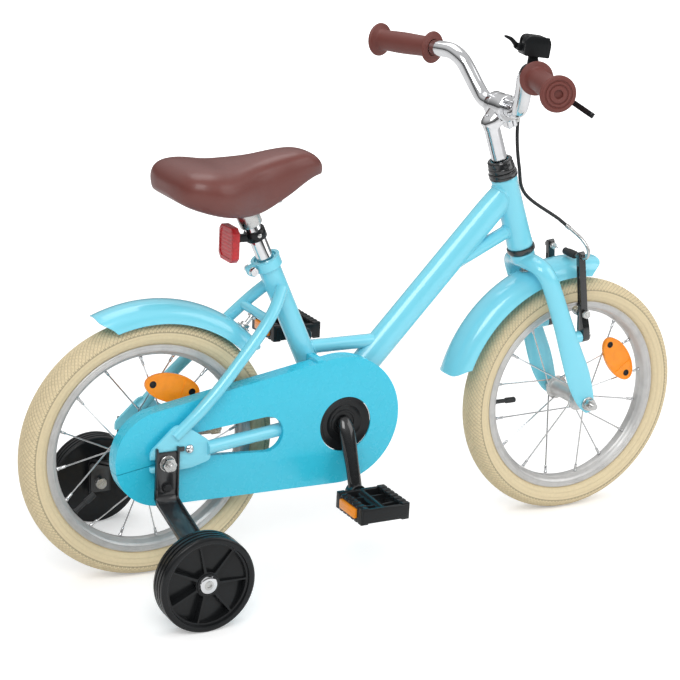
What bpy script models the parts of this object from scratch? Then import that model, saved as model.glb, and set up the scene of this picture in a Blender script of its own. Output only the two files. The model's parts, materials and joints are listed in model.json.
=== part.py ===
"""Kids bike with stabilisers: 14 inch wheels, step-through frame and full chain case.

Units are metres. +X is forward, +Y is the rider's left, +Z is up and the ground is z = 0.
The origin is on the ground, halfway between the two axles, in the plane of the frame.
"""

import math

import bmesh
import bpy
from mathutils import Matrix, Vector

NAME = "kids_bike"

# Wheels
WHEELBASE = 0.660
TYRE_RADIUS = 0.174
TYRE_HALF_WIDTH = 0.022
TREAD_HALF_WIDTH = 0.006
TYRE_WALL = 0.0035
RIM_EDGE_RADIUS = 0.142
RIM_HALF_WIDTH = 0.013
RIM_DEPTH = 0.0155
RIM_WALL = 0.0016
WHEEL_SEGMENTS = 28
SPOKES = 16
SPOKE_RADIUS = 0.0010
NIPPLE_RADIUS = 0.0019
NIPPLE_LENGTH = 0.012
LACING_ANGLE = math.radians(45.0)
FRONT_SPOKE_PHASE = math.radians(11.25)
REAR_SPOKE_PHASE = math.radians(51.5)
AXLE_RADIUS = 0.0047
FRONT_FLANGE_Y = 0.028
FRONT_FLANGE_RADIUS = 0.0175
FRONT_SHELL_RADIUS = 0.0115
REAR_FLANGE_Y = 0.024
REAR_FLANGE_RADIUS = 0.033
REAR_SHELL_RADIUS = 0.027
FLANGE_WALL = 0.0028
VALVE_RADIUS = 0.0030
VALVE_LENGTH = 0.034
WHEEL_REFLECTOR_RADIUS = 0.087
WHEEL_REFLECTOR_LENGTH = 0.078
WHEEL_REFLECTOR_WIDTH = 0.038

# Drive
CHAIN_PITCH = 0.0127
CHAIN_LINKS = 66
CHAINRING_TEETH = 32
SPROCKET_TEETH = 16
CHAIN_LINE_Y = -0.0415
CHAIN_HALF_GAP = 0.0024
CHAIN_PLATE = 0.0018
CHAIN_PLATE_HEIGHT = 0.0084
ROLLER_RADIUS = 0.0039
SPROCKET_THICKNESS = 0.0030
TOOTH_HEIGHT = 0.0032
BRACKET_Z = 0.190
BRACKET_SHELL_RADIUS = 0.0265
BRACKET_SHELL_HALF = 0.034
CRANK_LENGTH = 0.089
CRANK_ANGLE = math.radians(-86.0)
SPINDLE_RADIUS = 0.0095
CRANK_BOSS_Y = 0.078
PEDAL_CENTRE_Y = 0.1255
PEDAL_HALF_WIDTH = 0.0365
PEDAL_HALF_LENGTH = 0.036
PEDAL_HALF_HEIGHT = 0.0115
PEDAL_SPINDLE_RADIUS = 0.0045

# Frame
SEAT_ANGLE = math.radians(65.0)
SEAT_TUBE_LENGTH = 0.2475
SEAT_TUBE_RADIUS = 0.0150
SEAT_POST_RADIUS = 0.0111
SEAT_BORE_DEPTH = 0.165
HEAD_ANGLE = math.radians(70.0)
HEAD_TUBE_LENGTH = 0.107
HEAD_TUBE_RADIUS = 0.0180
HEAD_TUBE_WALL = 0.0025
FORK_LENGTH = 0.2509
FORK_RAKE = 0.0184
DOWN_TUBE_HALF_HEIGHT = 0.0205
DOWN_TUBE_HALF_WIDTH = 0.0160
BRACE_RADIUS = 0.0095
STAY_RADIUS = 0.0080
CHAIN_STAY_RADIUS = 0.0090
STAY_MOUTH_Y = 0.018
DROPOUT_Y = 0.0605
DROPOUT_THICKNESS = 0.0045

# Steering
STEERER_RADIUS = 0.0127
QUILL_RADIUS = 0.0111
STEM_REACH = 0.0227
STEM_RISE = 0.2034
STEM_CLAMP_RADIUS = 0.0185
STEM_CLAMP_HALF = 0.0200
BAR_RADIUS = 0.0111
BAR_HALF_WIDTH = 0.226
BAR_RISE = 0.0620
BAR_SHOULDER_Y = 0.097
BAR_SWEEP = 0.042
GRIP_INNER_Y = 0.130
GRIP_LENGTH = 0.108
GRIP_RADIUS = 0.0150
GRIP_FLANGE_RADIUS = 0.0225
BLADE_Y = 0.047
CROWN_S = -0.0205
CROWN_HALF = 0.0100
BLADE_HALF_DEPTH = 0.0145
BLADE_HALF_WIDTH = 0.0085
BRAKE_PIVOT_F = 0.0416
BRAKE_PIVOT_S = -0.152
BRAKE_PIVOT_Y = 0.043
BRAKE_LEAN = math.radians(13.5)
BRAKE_ARM_LENGTH = 0.120
BRAKE_PAD_RISE = 0.034
PAD_GAP = 0.0015
CRADLE_OFFSET = 0.0050
CABLE_RADIUS = 0.0025

# Covers and stabilisers
GUARD_Y = -0.0505
GUARD_WALL = 0.0020
GUARD_DEPTH = 0.0215
GUARD_FRONT_RADIUS = 0.089
GUARD_REAR_RADIUS = 0.0645
GUARD_HOLE_RADIUS = 0.040
FENDER_WALL = 0.0014
FENDER_HALF_WIDTH = 0.028
FENDER_DROP = 0.024
REAR_FENDER_RADIUS = 0.198
FRONT_FENDER_RADIUS = 0.2085
FRONT_FENDER_SETBACK = 0.012
STABILISER_RADIUS = 0.063
STABILISER_HALF_WIDTH = 0.0150
STABILISER_Y = 0.190
STABILISER_SEGMENTS = 16
BRACKET_WIDTH = 0.032
BRACKET_STEEL = 0.0032
BRACKET_FLANGE = 0.009

# Running and seating clearances
CLEAR = 0.0003
RUNNING = 0.0006

# Places worked out from the sizes above
REAR_X = -WHEELBASE / 2
FRONT_X = WHEELBASE / 2
AXLE_Z = TYRE_RADIUS
RIM_INNER_RADIUS = RIM_EDGE_RADIUS - RIM_DEPTH
CHAINRING_RADIUS = CHAIN_PITCH / (2 * math.sin(math.pi / CHAINRING_TEETH))
SPROCKET_RADIUS = CHAIN_PITCH / (2 * math.sin(math.pi / SPROCKET_TEETH))

PAINT = ("turquoise_paint", (0.205, 0.694, 0.855), 0.28, 0.0)
GUARD_BLUE = ("guard_plastic", (0.058, 0.565, 0.760), 0.34, 0.0)
CREAM = ("cream_rubber", (0.730, 0.597, 0.352), 0.75, 0.0)
BROWN = ("brown_leatherette", (0.205, 0.071, 0.056), 0.42, 0.0)
ALLOY = ("rim_alloy", (0.514, 0.533, 0.558), 0.30, 1.0)
CHROME = ("chrome", (0.760, 0.770, 0.785), 0.10, 1.0)
STEEL = ("zinc_steel", (0.560, 0.565, 0.570), 0.32, 1.0)
BLACK = ("black_plastic", (0.017, 0.019, 0.021), 0.45, 0.0)
BLACK_STEEL = ("black_enamel", (0.020, 0.021, 0.023), 0.30, 0.2)
RUBBER = ("black_rubber", (0.022, 0.022, 0.023), 0.80, 0.0)
AMBER = ("amber_reflector", (0.913, 0.262, 0.004), 0.22, 0.0)
RED = ("red_reflector", (0.514, 0.021, 0.026), 0.18, 0.0)


def material(spec):
    """The Principled material of one finish, made once."""
    name, colour, roughness, metallic = spec
    found = bpy.data.materials.get(name)
    if found:
        return found
    made = bpy.data.materials.new(name)
    made.use_nodes = True
    shader = made.node_tree.nodes["Principled BSDF"]
    shader.inputs["Base Color"].default_value = (*colour, 1.0)
    shader.inputs["Roughness"].default_value = roughness
    shader.inputs["Metallic"].default_value = metallic
    made.diffuse_color = (*colour, 1.0)
    return made


def collection(name):
    found = bpy.data.collections.get(name)
    if not found:
        found = bpy.data.collections.new(name)
        bpy.context.scene.collection.children.link(found)
    return found


def place(name, data, spec=None, matrix=None):
    """Put data into the scene: a part if it has a finish, otherwise a cutter."""
    made = bpy.data.objects.new(name, data)
    made.matrix_world = matrix or Matrix.Identity(4)
    if spec:
        collection(NAME).objects.link(made)
        data.materials.clear()
        data.materials.append(material(spec))
    else:
        collection("cutters").objects.link(made)
        made.hide_render = True
        made.display_type = "WIRE"
    return made


def pivot(name, location, parent=None):
    """An empty on a joint axis that carries the pieces which move about it."""
    empty = bpy.data.objects.new(name, None)
    empty.empty_display_size = 0.02
    collection(NAME).objects.link(empty)
    empty.location = location
    bpy.context.view_layer.update()
    if parent:
        attach(empty, parent)
    return empty


def attach(piece, parent):
    """Parent a piece to its pivot and keep it where it is."""
    bpy.context.view_layer.update()
    world = piece.matrix_world.copy()
    piece.parent = parent
    piece.matrix_parent_inverse = parent.matrix_world.inverted()
    piece.matrix_world = world


def axis_matrix(origin, axis, side=(1.0, 0.0, 0.0)):
    """A frame at origin whose Z runs along axis and whose X is nearest to side."""
    z = Vector(axis).normalized()
    x = Vector(side)
    x = (x - z * x.dot(z)).normalized()
    y = z.cross(x)
    turn = Matrix((x, y, z)).transposed().to_4x4()
    return Matrix.Translation(Vector(origin)) @ turn


def wheel_matrix(x, z, y=0.0):
    """Local Z along +Y, local X forward."""
    return axis_matrix((x, y, z), (0.0, 1.0, 0.0))


def lathe(name, profile, matrix, spec=None, steps=24, start=0.0, closed=True):
    """Turn a (radius, height) profile about the frame's Z axis."""
    points = list(profile)
    loop = points if closed else points + [(0.0, points[-1][1]), (0.0, points[0][1])]
    area = sum(a[0] * b[1] - b[0] * a[1] for a, b in zip(loop, loop[1:] + loop[:1]))
    if area > 0:
        points.reverse()
    mesh = bpy.data.meshes.new(name)
    co = [(r * math.cos(start), r * math.sin(start), h) for r, h in points]
    edges = [(i, i + 1) for i in range(len(co) - 1)]
    if closed:
        edges.append((len(co) - 1, 0))
    edges = [(i, j) for i, j in edges if points[i][0] > 0 or points[j][0] > 0]
    mesh.from_pydata(co, edges, [])
    made = place(name, mesh, spec, matrix)
    turn = made.modifiers.new("turn", "SCREW")
    turn.axis = "Z"
    turn.angle = math.tau
    turn.steps = steps
    turn.render_steps = steps
    turn.use_merge_vertices = True
    turn.merge_threshold = 0.00001
    turn.use_smooth_shade = True
    return made


def disc(name, radius, low, high, matrix, spec=None, steps=12):
    """A solid cylinder from low to high along the frame's Z axis."""
    profile = [(0.0, high), (radius, high), (radius, low), (0.0, low)]
    return lathe(name, profile, matrix, spec, steps, closed=False)


def ring(name, outer, inner, low, high, matrix, spec=None, steps=14):
    """A plain tube from low to high along the frame's Z axis."""
    profile = [(inner, high), (outer, high), (outer, low), (inner, low)]
    return lathe(name, profile, matrix, spec, steps)


def solidify_curve(curve_object):
    """Turn a curve into a closed mesh whose caps are welded."""
    bpy.context.view_layer.update()
    graph = bpy.context.evaluated_depsgraph_get()
    mesh = bpy.data.meshes.new_from_object(curve_object.evaluated_get(graph))
    build = bmesh.new()
    build.from_mesh(mesh)
    bmesh.ops.remove_doubles(build, verts=build.verts, dist=0.00001)
    bmesh.ops.recalc_face_normals(build, faces=build.faces)
    build.to_mesh(mesh)
    build.free()
    name = curve_object.name
    owner = curve_object.users_collection[0]
    made = bpy.data.objects.new(name + "_mesh", mesh)
    made.matrix_world = curve_object.matrix_world
    made.hide_render = curve_object.hide_render
    made.display_type = curve_object.display_type
    owner.objects.link(made)
    bpy.data.objects.remove(curve_object)
    made.name = name
    return made


def tube(name, points, radius, spec=None, resolution=2, radii=None):
    """A round bar or tube along points, as a welded mesh."""
    curve = bpy.data.curves.new(name, "CURVE")
    curve.dimensions = "3D"
    curve.bevel_depth = radius
    curve.bevel_resolution = resolution
    curve.use_fill_caps = True
    spline = curve.splines.new("POLY")
    spline.points.add(len(points) - 1)
    for i, point in enumerate(points):
        spline.points[i].co = (*point, 1.0)
        spline.points[i].radius = radii[i] if radii else 1.0
    return solidify_curve(place(name, curve, spec))


def plate(name, loops, thickness, matrix, spec=None):
    """A flat piece cut to closed outlines in the frame's XY plane, centred on it."""
    curve = bpy.data.curves.new(name, "CURVE")
    curve.dimensions = "2D"
    curve.fill_mode = "BOTH"
    curve.extrude = thickness / 2
    for loop in loops:
        spline = curve.splines.new("POLY")
        spline.points.add(len(loop) - 1)
        for point, (x, y) in zip(spline.points, loop):
            point.co = (x, y, 0.0, 1.0)
        spline.use_cyclic_u = True
    return solidify_curve(place(name, curve, spec, matrix))


def block(name, size, matrix, spec=None, bevel=0.0):
    """A box of the given full size, centred on the frame."""
    mesh = bpy.data.meshes.new(name)
    build = bmesh.new()
    bmesh.ops.create_cube(build, size=1.0)
    bmesh.ops.scale(build, vec=size, verts=build.verts)
    build.to_mesh(mesh)
    build.free()
    made = place(name, mesh, spec, matrix)
    if bevel:
        edge = made.modifiers.new("edges", "BEVEL")
        edge.width = bevel
        edge.segments = 1
    return made


def loft(name, sections, spec=None, sides=8):
    """An oval bar through sections of (centre, side vector, side half, up vector, up half)."""
    mesh = bpy.data.meshes.new(name)
    build = bmesh.new()
    rings = []
    for centre, side, side_half, up, up_half in sections:
        points = []
        for i in range(sides):
            turn = math.tau * (i + 0.5) / sides
            offset = Vector(side).normalized() * (side_half * math.cos(turn))
            offset += Vector(up).normalized() * (up_half * math.sin(turn))
            points.append(build.verts.new(Vector(centre) + offset))
        rings.append(points)
    for low, high in zip(rings, rings[1:]):
        for i in range(sides):
            j = (i + 1) % sides
            build.faces.new((low[i], low[j], high[j], high[i]))
    build.faces.new(list(reversed(rings[0])))
    build.faces.new(rings[-1])
    bmesh.ops.recalc_face_normals(build, faces=build.faces)
    build.to_mesh(mesh)
    build.free()
    return place(name, mesh, spec)


def combine(target, tools, operation="UNION"):
    """Boolean each tool into the target, and keep the tools as hidden cutters."""
    for tool in tools:
        if tool.name in collection(NAME).objects:
            collection(NAME).objects.unlink(tool)
            collection("cutters").objects.link(tool)
        tool.hide_render = True
        tool.display_type = "WIRE"
        step = target.modifiers.new(tool.name, "BOOLEAN")
        step.operation = operation
        step.solver = "EXACT"
        step.object = tool
    return target


def cut(target, tools):
    return combine(target, tools, "DIFFERENCE")


def merged(name, pieces):
    """One cutter object that holds several pieces which don't touch each other."""
    bpy.context.view_layer.update()
    graph = bpy.context.evaluated_depsgraph_get()
    build = bmesh.new()
    for piece in pieces:
        mesh = bpy.data.meshes.new_from_object(piece.evaluated_get(graph))
        mesh.transform(piece.matrix_world)
        build.from_mesh(mesh)
        bpy.data.meshes.remove(mesh)
        bpy.data.objects.remove(piece)
    mesh = bpy.data.meshes.new(name)
    build.to_mesh(mesh)
    build.free()
    return place(name, mesh)


def clear_of(radius, steps):
    """Corner radius of a faceted hole that just clears a round bar of this radius."""
    return (radius + CLEAR) / math.cos(math.pi / steps)


def arc(cx, cz, radius, start, end, count):
    """Points along an arc, both ends included, angles in degrees."""
    turns = [math.radians(start + (end - start) * i / (count - 1)) for i in range(count)]
    return [(cx + radius * math.cos(t), cz + radius * math.sin(t)) for t in turns]


def rear(x, z, y=0.0):
    """A point measured forward from the rear axle and up from the ground."""
    return Vector((REAR_X + x, y, z))


SIDE_VIEW = Matrix(((1, 0, 0, 0), (0, 0, -1, 0), (0, 1, 0, 0), (0, 0, 0, 1)))
"""Lays a flat outline, drawn as (x, z), into the plane y = 0."""


def side_plane(y):
    return Matrix.Translation((0.0, y, 0.0)) @ SIDE_VIEW


# Steering axis: a point is given by f, square to the axis and forward, by y, and by s,
# up the axis from the lower end of the head tube.
HEAD_UP = Vector((-math.cos(HEAD_ANGLE), 0.0, math.sin(HEAD_ANGLE)))
HEAD_FORWARD = Vector((math.sin(HEAD_ANGLE), 0.0, math.cos(HEAD_ANGLE)))
FRONT_AXLE = Vector((FRONT_X, 0.0, AXLE_Z))
HEAD_BASE = FRONT_AXLE + HEAD_UP * FORK_LENGTH - HEAD_FORWARD * FORK_RAKE


def steer(f, y, s):
    return HEAD_BASE + HEAD_FORWARD * f + Vector((0.0, y, 0.0)) + HEAD_UP * s


def head_matrix(s=0.0):
    return axis_matrix(steer(0.0, 0.0, s), HEAD_UP)


# Brake: the arms swing in a plane that leans forward from the fork blades.
ARM_UP = HEAD_UP * math.cos(BRAKE_LEAN) + HEAD_FORWARD * math.sin(BRAKE_LEAN)
ARM_OUT = HEAD_FORWARD * math.cos(BRAKE_LEAN) - HEAD_UP * math.sin(BRAKE_LEAN)
BRAKE_BASE = steer(BRAKE_PIVOT_F, 0.0, BRAKE_PIVOT_S)


def brake(out, y, rise):
    return BRAKE_BASE + ARM_OUT * out + Vector((0.0, y, 0.0)) + ARM_UP * rise


def belt(first, second, distance):
    """The loop of a chain round two circles: returns its length and a point at any length."""
    lean = math.asin((first - second) / distance)
    wrap = math.pi / 2 + lean
    straight = math.sqrt(distance ** 2 - (first - second) ** 2)
    upper = first * wrap
    around = second * (math.tau - 2 * wrap)
    total = 2 * upper + 2 * straight + around

    def at(length):
        length %= total
        if length < upper:
            turn = length / first
            return first * math.cos(turn), first * math.sin(turn)
        length -= upper
        edge = (math.cos(wrap), math.sin(wrap))
        if length < straight:
            part = length / straight
            near = Vector((first * edge[0], first * edge[1]))
            far = Vector((second * edge[0] - distance, second * edge[1]))
            return tuple(near.lerp(far, part))
        length -= straight
        if length < around:
            turn = wrap + length / second
            return second * math.cos(turn) - distance, second * math.sin(turn)
        length -= around
        if length < straight:
            part = length / straight
            near = Vector((second * edge[0] - distance, -second * edge[1]))
            far = Vector((first * edge[0], -first * edge[1]))
            return tuple(near.lerp(far, part))
        turn = (length - straight) / first - wrap
        return first * math.cos(turn), first * math.sin(turn)

    return total, at


def walk_chain(distance):
    """Lay the links end to end and tell how far the last one overshoots the first."""
    total, at = belt(CHAINRING_RADIUS, SPROCKET_RADIUS, distance)
    length = 0.0
    points = []
    for _ in range(CHAIN_LINKS):
        here = Vector(at(length))
        points.append(here)
        low, high = length + CHAIN_PITCH, length + 1.3 * CHAIN_PITCH
        for _ in range(40):
            middle = (low + high) / 2
            if (Vector(at(middle)) - here).length < CHAIN_PITCH:
                low = middle
            else:
                high = middle
        length = high
    return points, length - total


def fit_chain():
    """The distance between crank and rear axle at which the links close exactly."""
    low, high = 0.16, 0.60
    for _ in range(60):
        middle = (low + high) / 2
        if walk_chain(middle)[1] > 0:
            low = middle
        else:
            high = middle
    return high


CHAIN_STAY_LENGTH = fit_chain()
BRACKET_X = REAR_X + math.sqrt(CHAIN_STAY_LENGTH ** 2 - (BRACKET_Z - AXLE_Z) ** 2)
CHAIN_TILT = math.atan2(BRACKET_Z - AXLE_Z, BRACKET_X - REAR_X)


def seat_point(rise, y=0.0):
    """A point on the seat tube's axis, rise above the bottom bracket along the tube."""
    return Vector((BRACKET_X - math.cos(SEAT_ANGLE) * rise, y, BRACKET_Z + math.sin(SEAT_ANGLE) * rise))


SEAT_UP = Vector((-math.cos(SEAT_ANGLE), 0.0, math.sin(SEAT_ANGLE)))
SEAT_TOP = SEAT_TUBE_LENGTH
STAY_TOP_RISE = SEAT_TUBE_LENGTH - 0.040
BRIDGE = rear(0.148, 0.343)
DOWN_TUBE_TOP_S = HEAD_TUBE_LENGTH - 0.0195
DOWN_TUBE_FOOT = Vector((BRACKET_X - 0.008, 0.0, BRACKET_Z))


def on_down_tube(part):
    return DOWN_TUBE_FOOT.lerp(steer(0.0, 0.0, DOWN_TUBE_TOP_S), part)


def dropout_outline():
    """Side view of a rear dropout, drawn about the axle."""
    points = [(-0.022, -0.013), (0.034, -0.012), (0.062, -0.004), (0.060, 0.022)]
    points += [(0.026, 0.046), (0.012, 0.048), (-0.022, 0.016)]
    half = AXLE_RADIUS + 2 * CLEAR
    slot = [(-0.022, half)] + arc(0.0, 0.0, half, 90, -90, 5) + [(-0.022, -half)]
    loop = points + slot
    return [(REAR_X + x, AXLE_Z + z) for x, z in loop]


def make_frame():
    y = Vector((0.0, 1.0, 0.0))
    head = disc("frame", HEAD_TUBE_RADIUS, 0.0, HEAD_TUBE_LENGTH, head_matrix(), PAINT, 16)
    low, high = on_down_tube(0.0), on_down_tube(1.0)
    along = (high - low).normalized()
    across = along.cross(y)
    sections = []
    for part, size in ((0.0, 0.92), (0.12, 1.0), (0.9, 1.0), (1.0, 0.86)):
        centre = on_down_tube(part)
        half = DOWN_TUBE_HALF_HEIGHT * size
        sections.append((centre, y, DOWN_TUBE_HALF_WIDTH, across, half))
    down = loft("down_tube", sections, sides=12)
    shell = disc("bracket_shell", BRACKET_SHELL_RADIUS, -BRACKET_SHELL_HALF, BRACKET_SHELL_HALF,
                 wheel_matrix(BRACKET_X, BRACKET_Z), steps=12)
    seat = tube("seat_tube", [seat_point(0.004), seat_point(SEAT_TOP)], SEAT_TUBE_RADIUS, resolution=4)
    cross_rise = 0.107
    cross_end = on_down_tube((seat_point(cross_rise).z - BRACKET_Z) / (high.z - BRACKET_Z))
    cross = tube("cross_tube", [seat_point(cross_rise), cross_end], BRACE_RADIUS)
    brace = tube("head_brace", [on_down_tube(0.62), steer(0.0, 0.0, 0.031)], BRACE_RADIUS)
    bridge = tube("stay_bridge", [BRIDGE + y * 0.040, BRIDGE - y * 0.040], 0.0062, resolution=2)
    pieces = [down, shell, seat, cross, brace, bridge]
    for side in (1, -1):
        top = seat_point(STAY_TOP_RISE, side * 0.0175)
        path = [top, rear(0.156, 0.3520, side * 0.0360), rear(0.100, 0.292, side * 0.0540)]
        path += [rear(0.050, 0.242, side * 0.0620), rear(0.012, 0.206, side * DROPOUT_Y)]
        pieces.append(tube(f"seat_stay_{side}", path, STAY_RADIUS))
        foot = rear(0.056, 0.186, side * DROPOUT_Y)
        mouth = Vector((BRACKET_X - 0.010, side * STAY_MOUTH_Y, BRACKET_Z))
        pieces.append(tube(f"chain_stay_{side}", [foot, mouth], CHAIN_STAY_RADIUS))
        ears = plate(f"dropout_{side}", [dropout_outline()], DROPOUT_THICKNESS, side_plane(side * DROPOUT_Y))
        pieces.append(ears)
    combine(head, pieces)
    bores = [disc("head_bore", HEAD_TUBE_RADIUS - HEAD_TUBE_WALL, -0.01, HEAD_TUBE_LENGTH + 0.01,
                  head_matrix(), steps=16)]
    bores.append(disc("bracket_bore", BRACKET_SHELL_RADIUS - 0.003, -0.05, 0.05,
                      wheel_matrix(BRACKET_X, BRACKET_Z), steps=12))
    bore_start = seat_point(SEAT_TOP - SEAT_BORE_DEPTH)
    bores.append(disc("seat_bore", SEAT_POST_RADIUS + CLEAR, 0.0, SEAT_BORE_DEPTH + 0.01,
                      axis_matrix(bore_start, SEAT_UP), steps=12))
    return cut(head, [merged("frame_bores", bores)])


def make_seat_collar():
    """Clamp ring round the top of the seat tube, with its ears and bolt behind it."""
    frame = axis_matrix(seat_point(SEAT_TOP - 0.004), SEAT_UP)
    inner = clear_of(SEAT_TUBE_RADIUS, 14)
    collar = ring("seat_collar", inner + 0.0034, inner, -0.008, 0.007, frame, PAINT, 14)
    ears = block("collar_ears", (0.015, 0.013, 0.013), frame @ Matrix.Translation((-inner - 0.008, 0, 0)))
    turned = frame @ Matrix.Translation((-inner - 0.009, 0, 0)) @ Matrix.Rotation(math.pi / 2, 4, "X")
    bolt = disc("collar_bolt", 0.0052, -0.0125, 0.0125, turned, steps=6)
    combine(collar, [ears, bolt])
    return cut(collar, [disc("collar_hollow", inner, -0.02, 0.02, frame, steps=14)])


def make_headset():
    head = head_matrix()
    outer = HEAD_TUBE_RADIUS + 0.0022
    pressed = HEAD_TUBE_RADIUS - HEAD_TUBE_WALL - CLEAR
    bore = STEERER_RADIUS + RUNNING
    top = HEAD_TUBE_LENGTH
    upper = [(bore, top - 0.010), (pressed, top - 0.010), (pressed, top + CLEAR)]
    upper += [(outer, top + CLEAR), (outer, top + 0.008), (outer - 0.003, top + 0.010), (bore, top + 0.010)]
    lathe("headset_upper_cup", upper, head, BLACK_STEEL, 12)
    lower = [(bore, 0.010), (pressed, 0.010), (pressed, -CLEAR), (outer, -CLEAR)]
    lower += [(outer, -0.006), (outer - 0.003, -0.009), (bore, -0.009)]
    lathe("headset_lower_cup", lower, head, BLACK_STEEL, 12)
    start = top + 0.010 + CLEAR
    nut = [(bore - RUNNING + CLEAR, start), (outer - 0.0015, start), (outer - 0.0025, start + 0.007)]
    nut += [(outer - 0.0025, start + 0.0145), (outer - 0.0045, start + 0.0165)]
    nut += [(bore - RUNNING + CLEAR, start + 0.0165)]
    return lathe("headset_top_nut", nut, head, BLACK_STEEL, 12)


def make_fork(turning):
    """Steerer, crown, oval blades with flattened tips, and the brake's pivots."""
    y = Vector((0.0, 1.0, 0.0))
    top = HEAD_TUBE_LENGTH + 0.010 + CLEAR + 0.0165
    fork = disc("fork", STEERER_RADIUS, CROWN_S - 0.002, top - 0.002, head_matrix(), PAINT, 12)
    race = disc("crown_race", HEAD_TUBE_RADIUS - 0.0005, CROWN_S, -0.009 - CLEAR, head_matrix(), steps=14)
    crown = loft("fork_crown", [(steer(0.0, side * 0.015, CROWN_S), HEAD_FORWARD, 0.0152, HEAD_UP, CROWN_HALF)
                                for side in (-1, 1)])
    pieces = [race, crown]
    for side in (1, -1):
        path = [(0.0, 0.010, CROWN_S, 0.0148, CROWN_HALF - 0.0004)]
        path += [(0.004, 0.0375, CROWN_S - 0.008, 0.0135, 0.0096), (0.007, 0.0455, -0.046, 0.0135, 0.0085)]
        path += [(0.011, BLADE_Y, -0.110, BLADE_HALF_DEPTH, BLADE_HALF_WIDTH)]
        path += [(0.018, BLADE_Y + 0.002, -0.205, BLADE_HALF_DEPTH + 0.002, 0.0046)]
        path += [(FORK_RAKE + 0.001, BLADE_Y + 0.002, -FORK_LENGTH - 0.004, 0.0125, 0.0026)]
        path += [(FORK_RAKE, BLADE_Y + 0.002, -FORK_LENGTH - 0.014, 0.0080, 0.0026)]
        sections = []
        for i, (f, lateral, s, deep, wide) in enumerate(path):
            centre = steer(f, side * lateral, s)
            before = path[max(i - 1, 0)]
            after = path[min(i + 1, len(path) - 1)]
            run = steer(after[0], side * after[1], after[2]) - steer(before[0], side * before[1], before[2])
            across = run.normalized().cross(HEAD_FORWARD)
            sections.append((centre, HEAD_FORWARD, deep, across, wide))
        pieces.append(loft(f"blade_{side}", sections))
        stud = axis_matrix(brake(0.0, side * BRAKE_PIVOT_Y, 0.0), ARM_OUT, y)
        profile = [(0.0, -0.026), (0.0085, -0.026), (0.0085, -0.0058), (0.0050, -0.0058), (0.0050, 0.0058)]
        profile += [(0.0074, 0.0058), (0.0074, 0.0086), (0.0, 0.0086)]
        pieces.append(lathe(f"brake_pivot_{side}", profile, stud, steps=8, closed=False))
    combine(fork, pieces)
    bores = [disc("steerer_bore", clear_of(QUILL_RADIUS, 12), -0.008, 0.2, head_matrix(), steps=12)]
    for side in (1, -1):
        axle = axis_matrix(FRONT_AXLE, (0.0, side, 0.0))
        bores.append(disc(f"fork_slot_{side}", AXLE_RADIUS + CLEAR, 0.03, 0.07, axle, steps=8))
    cut(fork, bores)
    attach(fork, turning)
    return fork


def make_stem(turning):
    """Quill stem: shaft in the steerer, short forward neck and the bar's clamp."""
    y = Vector((0.0, 1.0, 0.0))
    neck_low = steer(0.0, 0.0, STEM_RISE - 0.028)
    clamp_at = steer(STEM_REACH, 0.0, STEM_RISE)
    stem = tube("stem", [steer(0.0, 0.0, 0.060), neck_low, steer(0.0, 0.0, STEM_RISE - 0.008)],
                QUILL_RADIUS, CHROME, resolution=3)
    run = clamp_at - steer(0.0, 0.0, STEM_RISE - 0.016)
    across = run.normalized().cross(y)
    neck = loft("stem_neck", [
        (steer(-0.007, 0.0, STEM_RISE - 0.019), y, 0.0125, across, 0.0130),
        (steer(0.006, 0.0, STEM_RISE - 0.012), y, 0.0150, across, 0.0140),
        (clamp_at, y, 0.0150, across, 0.0140),
    ])
    clamp_frame = axis_matrix(clamp_at, (0.0, 1.0, 0.0))
    clamp = disc("stem_clamp", STEM_CLAMP_RADIUS, -STEM_CLAMP_HALF, STEM_CLAMP_HALF, clamp_frame, steps=12)
    lug_at = steer(STEM_REACH + 0.006, 0, STEM_RISE - 0.022)
    lug = block("stem_lug", (0.016, 0.018, 0.022), axis_matrix(lug_at,
                HEAD_UP))
    dome = disc("stem_expander_head", 0.0065, 0.0, 0.0110,
                axis_matrix(steer(0.0, 0.0, STEM_RISE - 0.012), HEAD_UP), steps=6)
    combine(stem, [neck, clamp, lug, dome])
    bore = disc("bar_bore", clear_of(BAR_RADIUS, 12), -0.05, 0.05, clamp_frame, steps=12)
    slit_at = steer(STEM_REACH + 0.006, 0, STEM_RISE - 0.026)
    slit = block("stem_slit", (0.0024, 0.06, 0.034), axis_matrix(slit_at,
                 HEAD_UP))
    cut(stem, [bore, slit])
    attach(stem, turning)
    bolt_frame = axis_matrix(steer(STEM_REACH + 0.006, 0.0, STEM_RISE - 0.0255), HEAD_FORWARD, y)
    bolt = disc("stem_bolt", 0.0052, 0.0084, 0.0140, bolt_frame, STEEL, 8)
    attach(bolt, turning)
    return stem


def bar_path(side):
    """Centre line of half the riser bar, from the clamp to the grip's end."""
    centre = steer(STEM_REACH, 0.0, STEM_RISE)
    low = centre.z
    high = low + BAR_RISE
    x = centre.x
    shape = [(0.0, 0.0, low), (0.034, 0.0, low), (0.046, -0.002, low + 0.004), (0.056, -0.006, low + 0.016)]
    shape += [(0.071, -0.014, low + 0.040), (0.080, -0.020, low + 0.054), (BAR_SHOULDER_Y, -0.0255, high)]
    end = -0.0255 - BAR_SWEEP
    shape += [(0.112, -0.0255 - BAR_SWEEP * 0.116, high), (BAR_HALF_WIDTH, end, high - 0.003)]
    return [Vector((x + dx, side * y, z)) for y, dx, z in shape]


def make_handlebar(turning):
    left = bar_path(1)
    right = bar_path(-1)
    bar = tube("handlebar", list(reversed(right)) + left[1:], BAR_RADIUS, CHROME, resolution=2)
    attach(bar, turning)
    return bar


def grip_axis(side):
    path = bar_path(side)
    return (path[-1] - path[-2]).normalized()


def on_bar(side, y):
    """A point on the straight outer stretch of the bar."""
    end = bar_path(side)[-1]
    axis = grip_axis(side)
    return end + axis * ((side * y - end.y) / axis.y)


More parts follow.
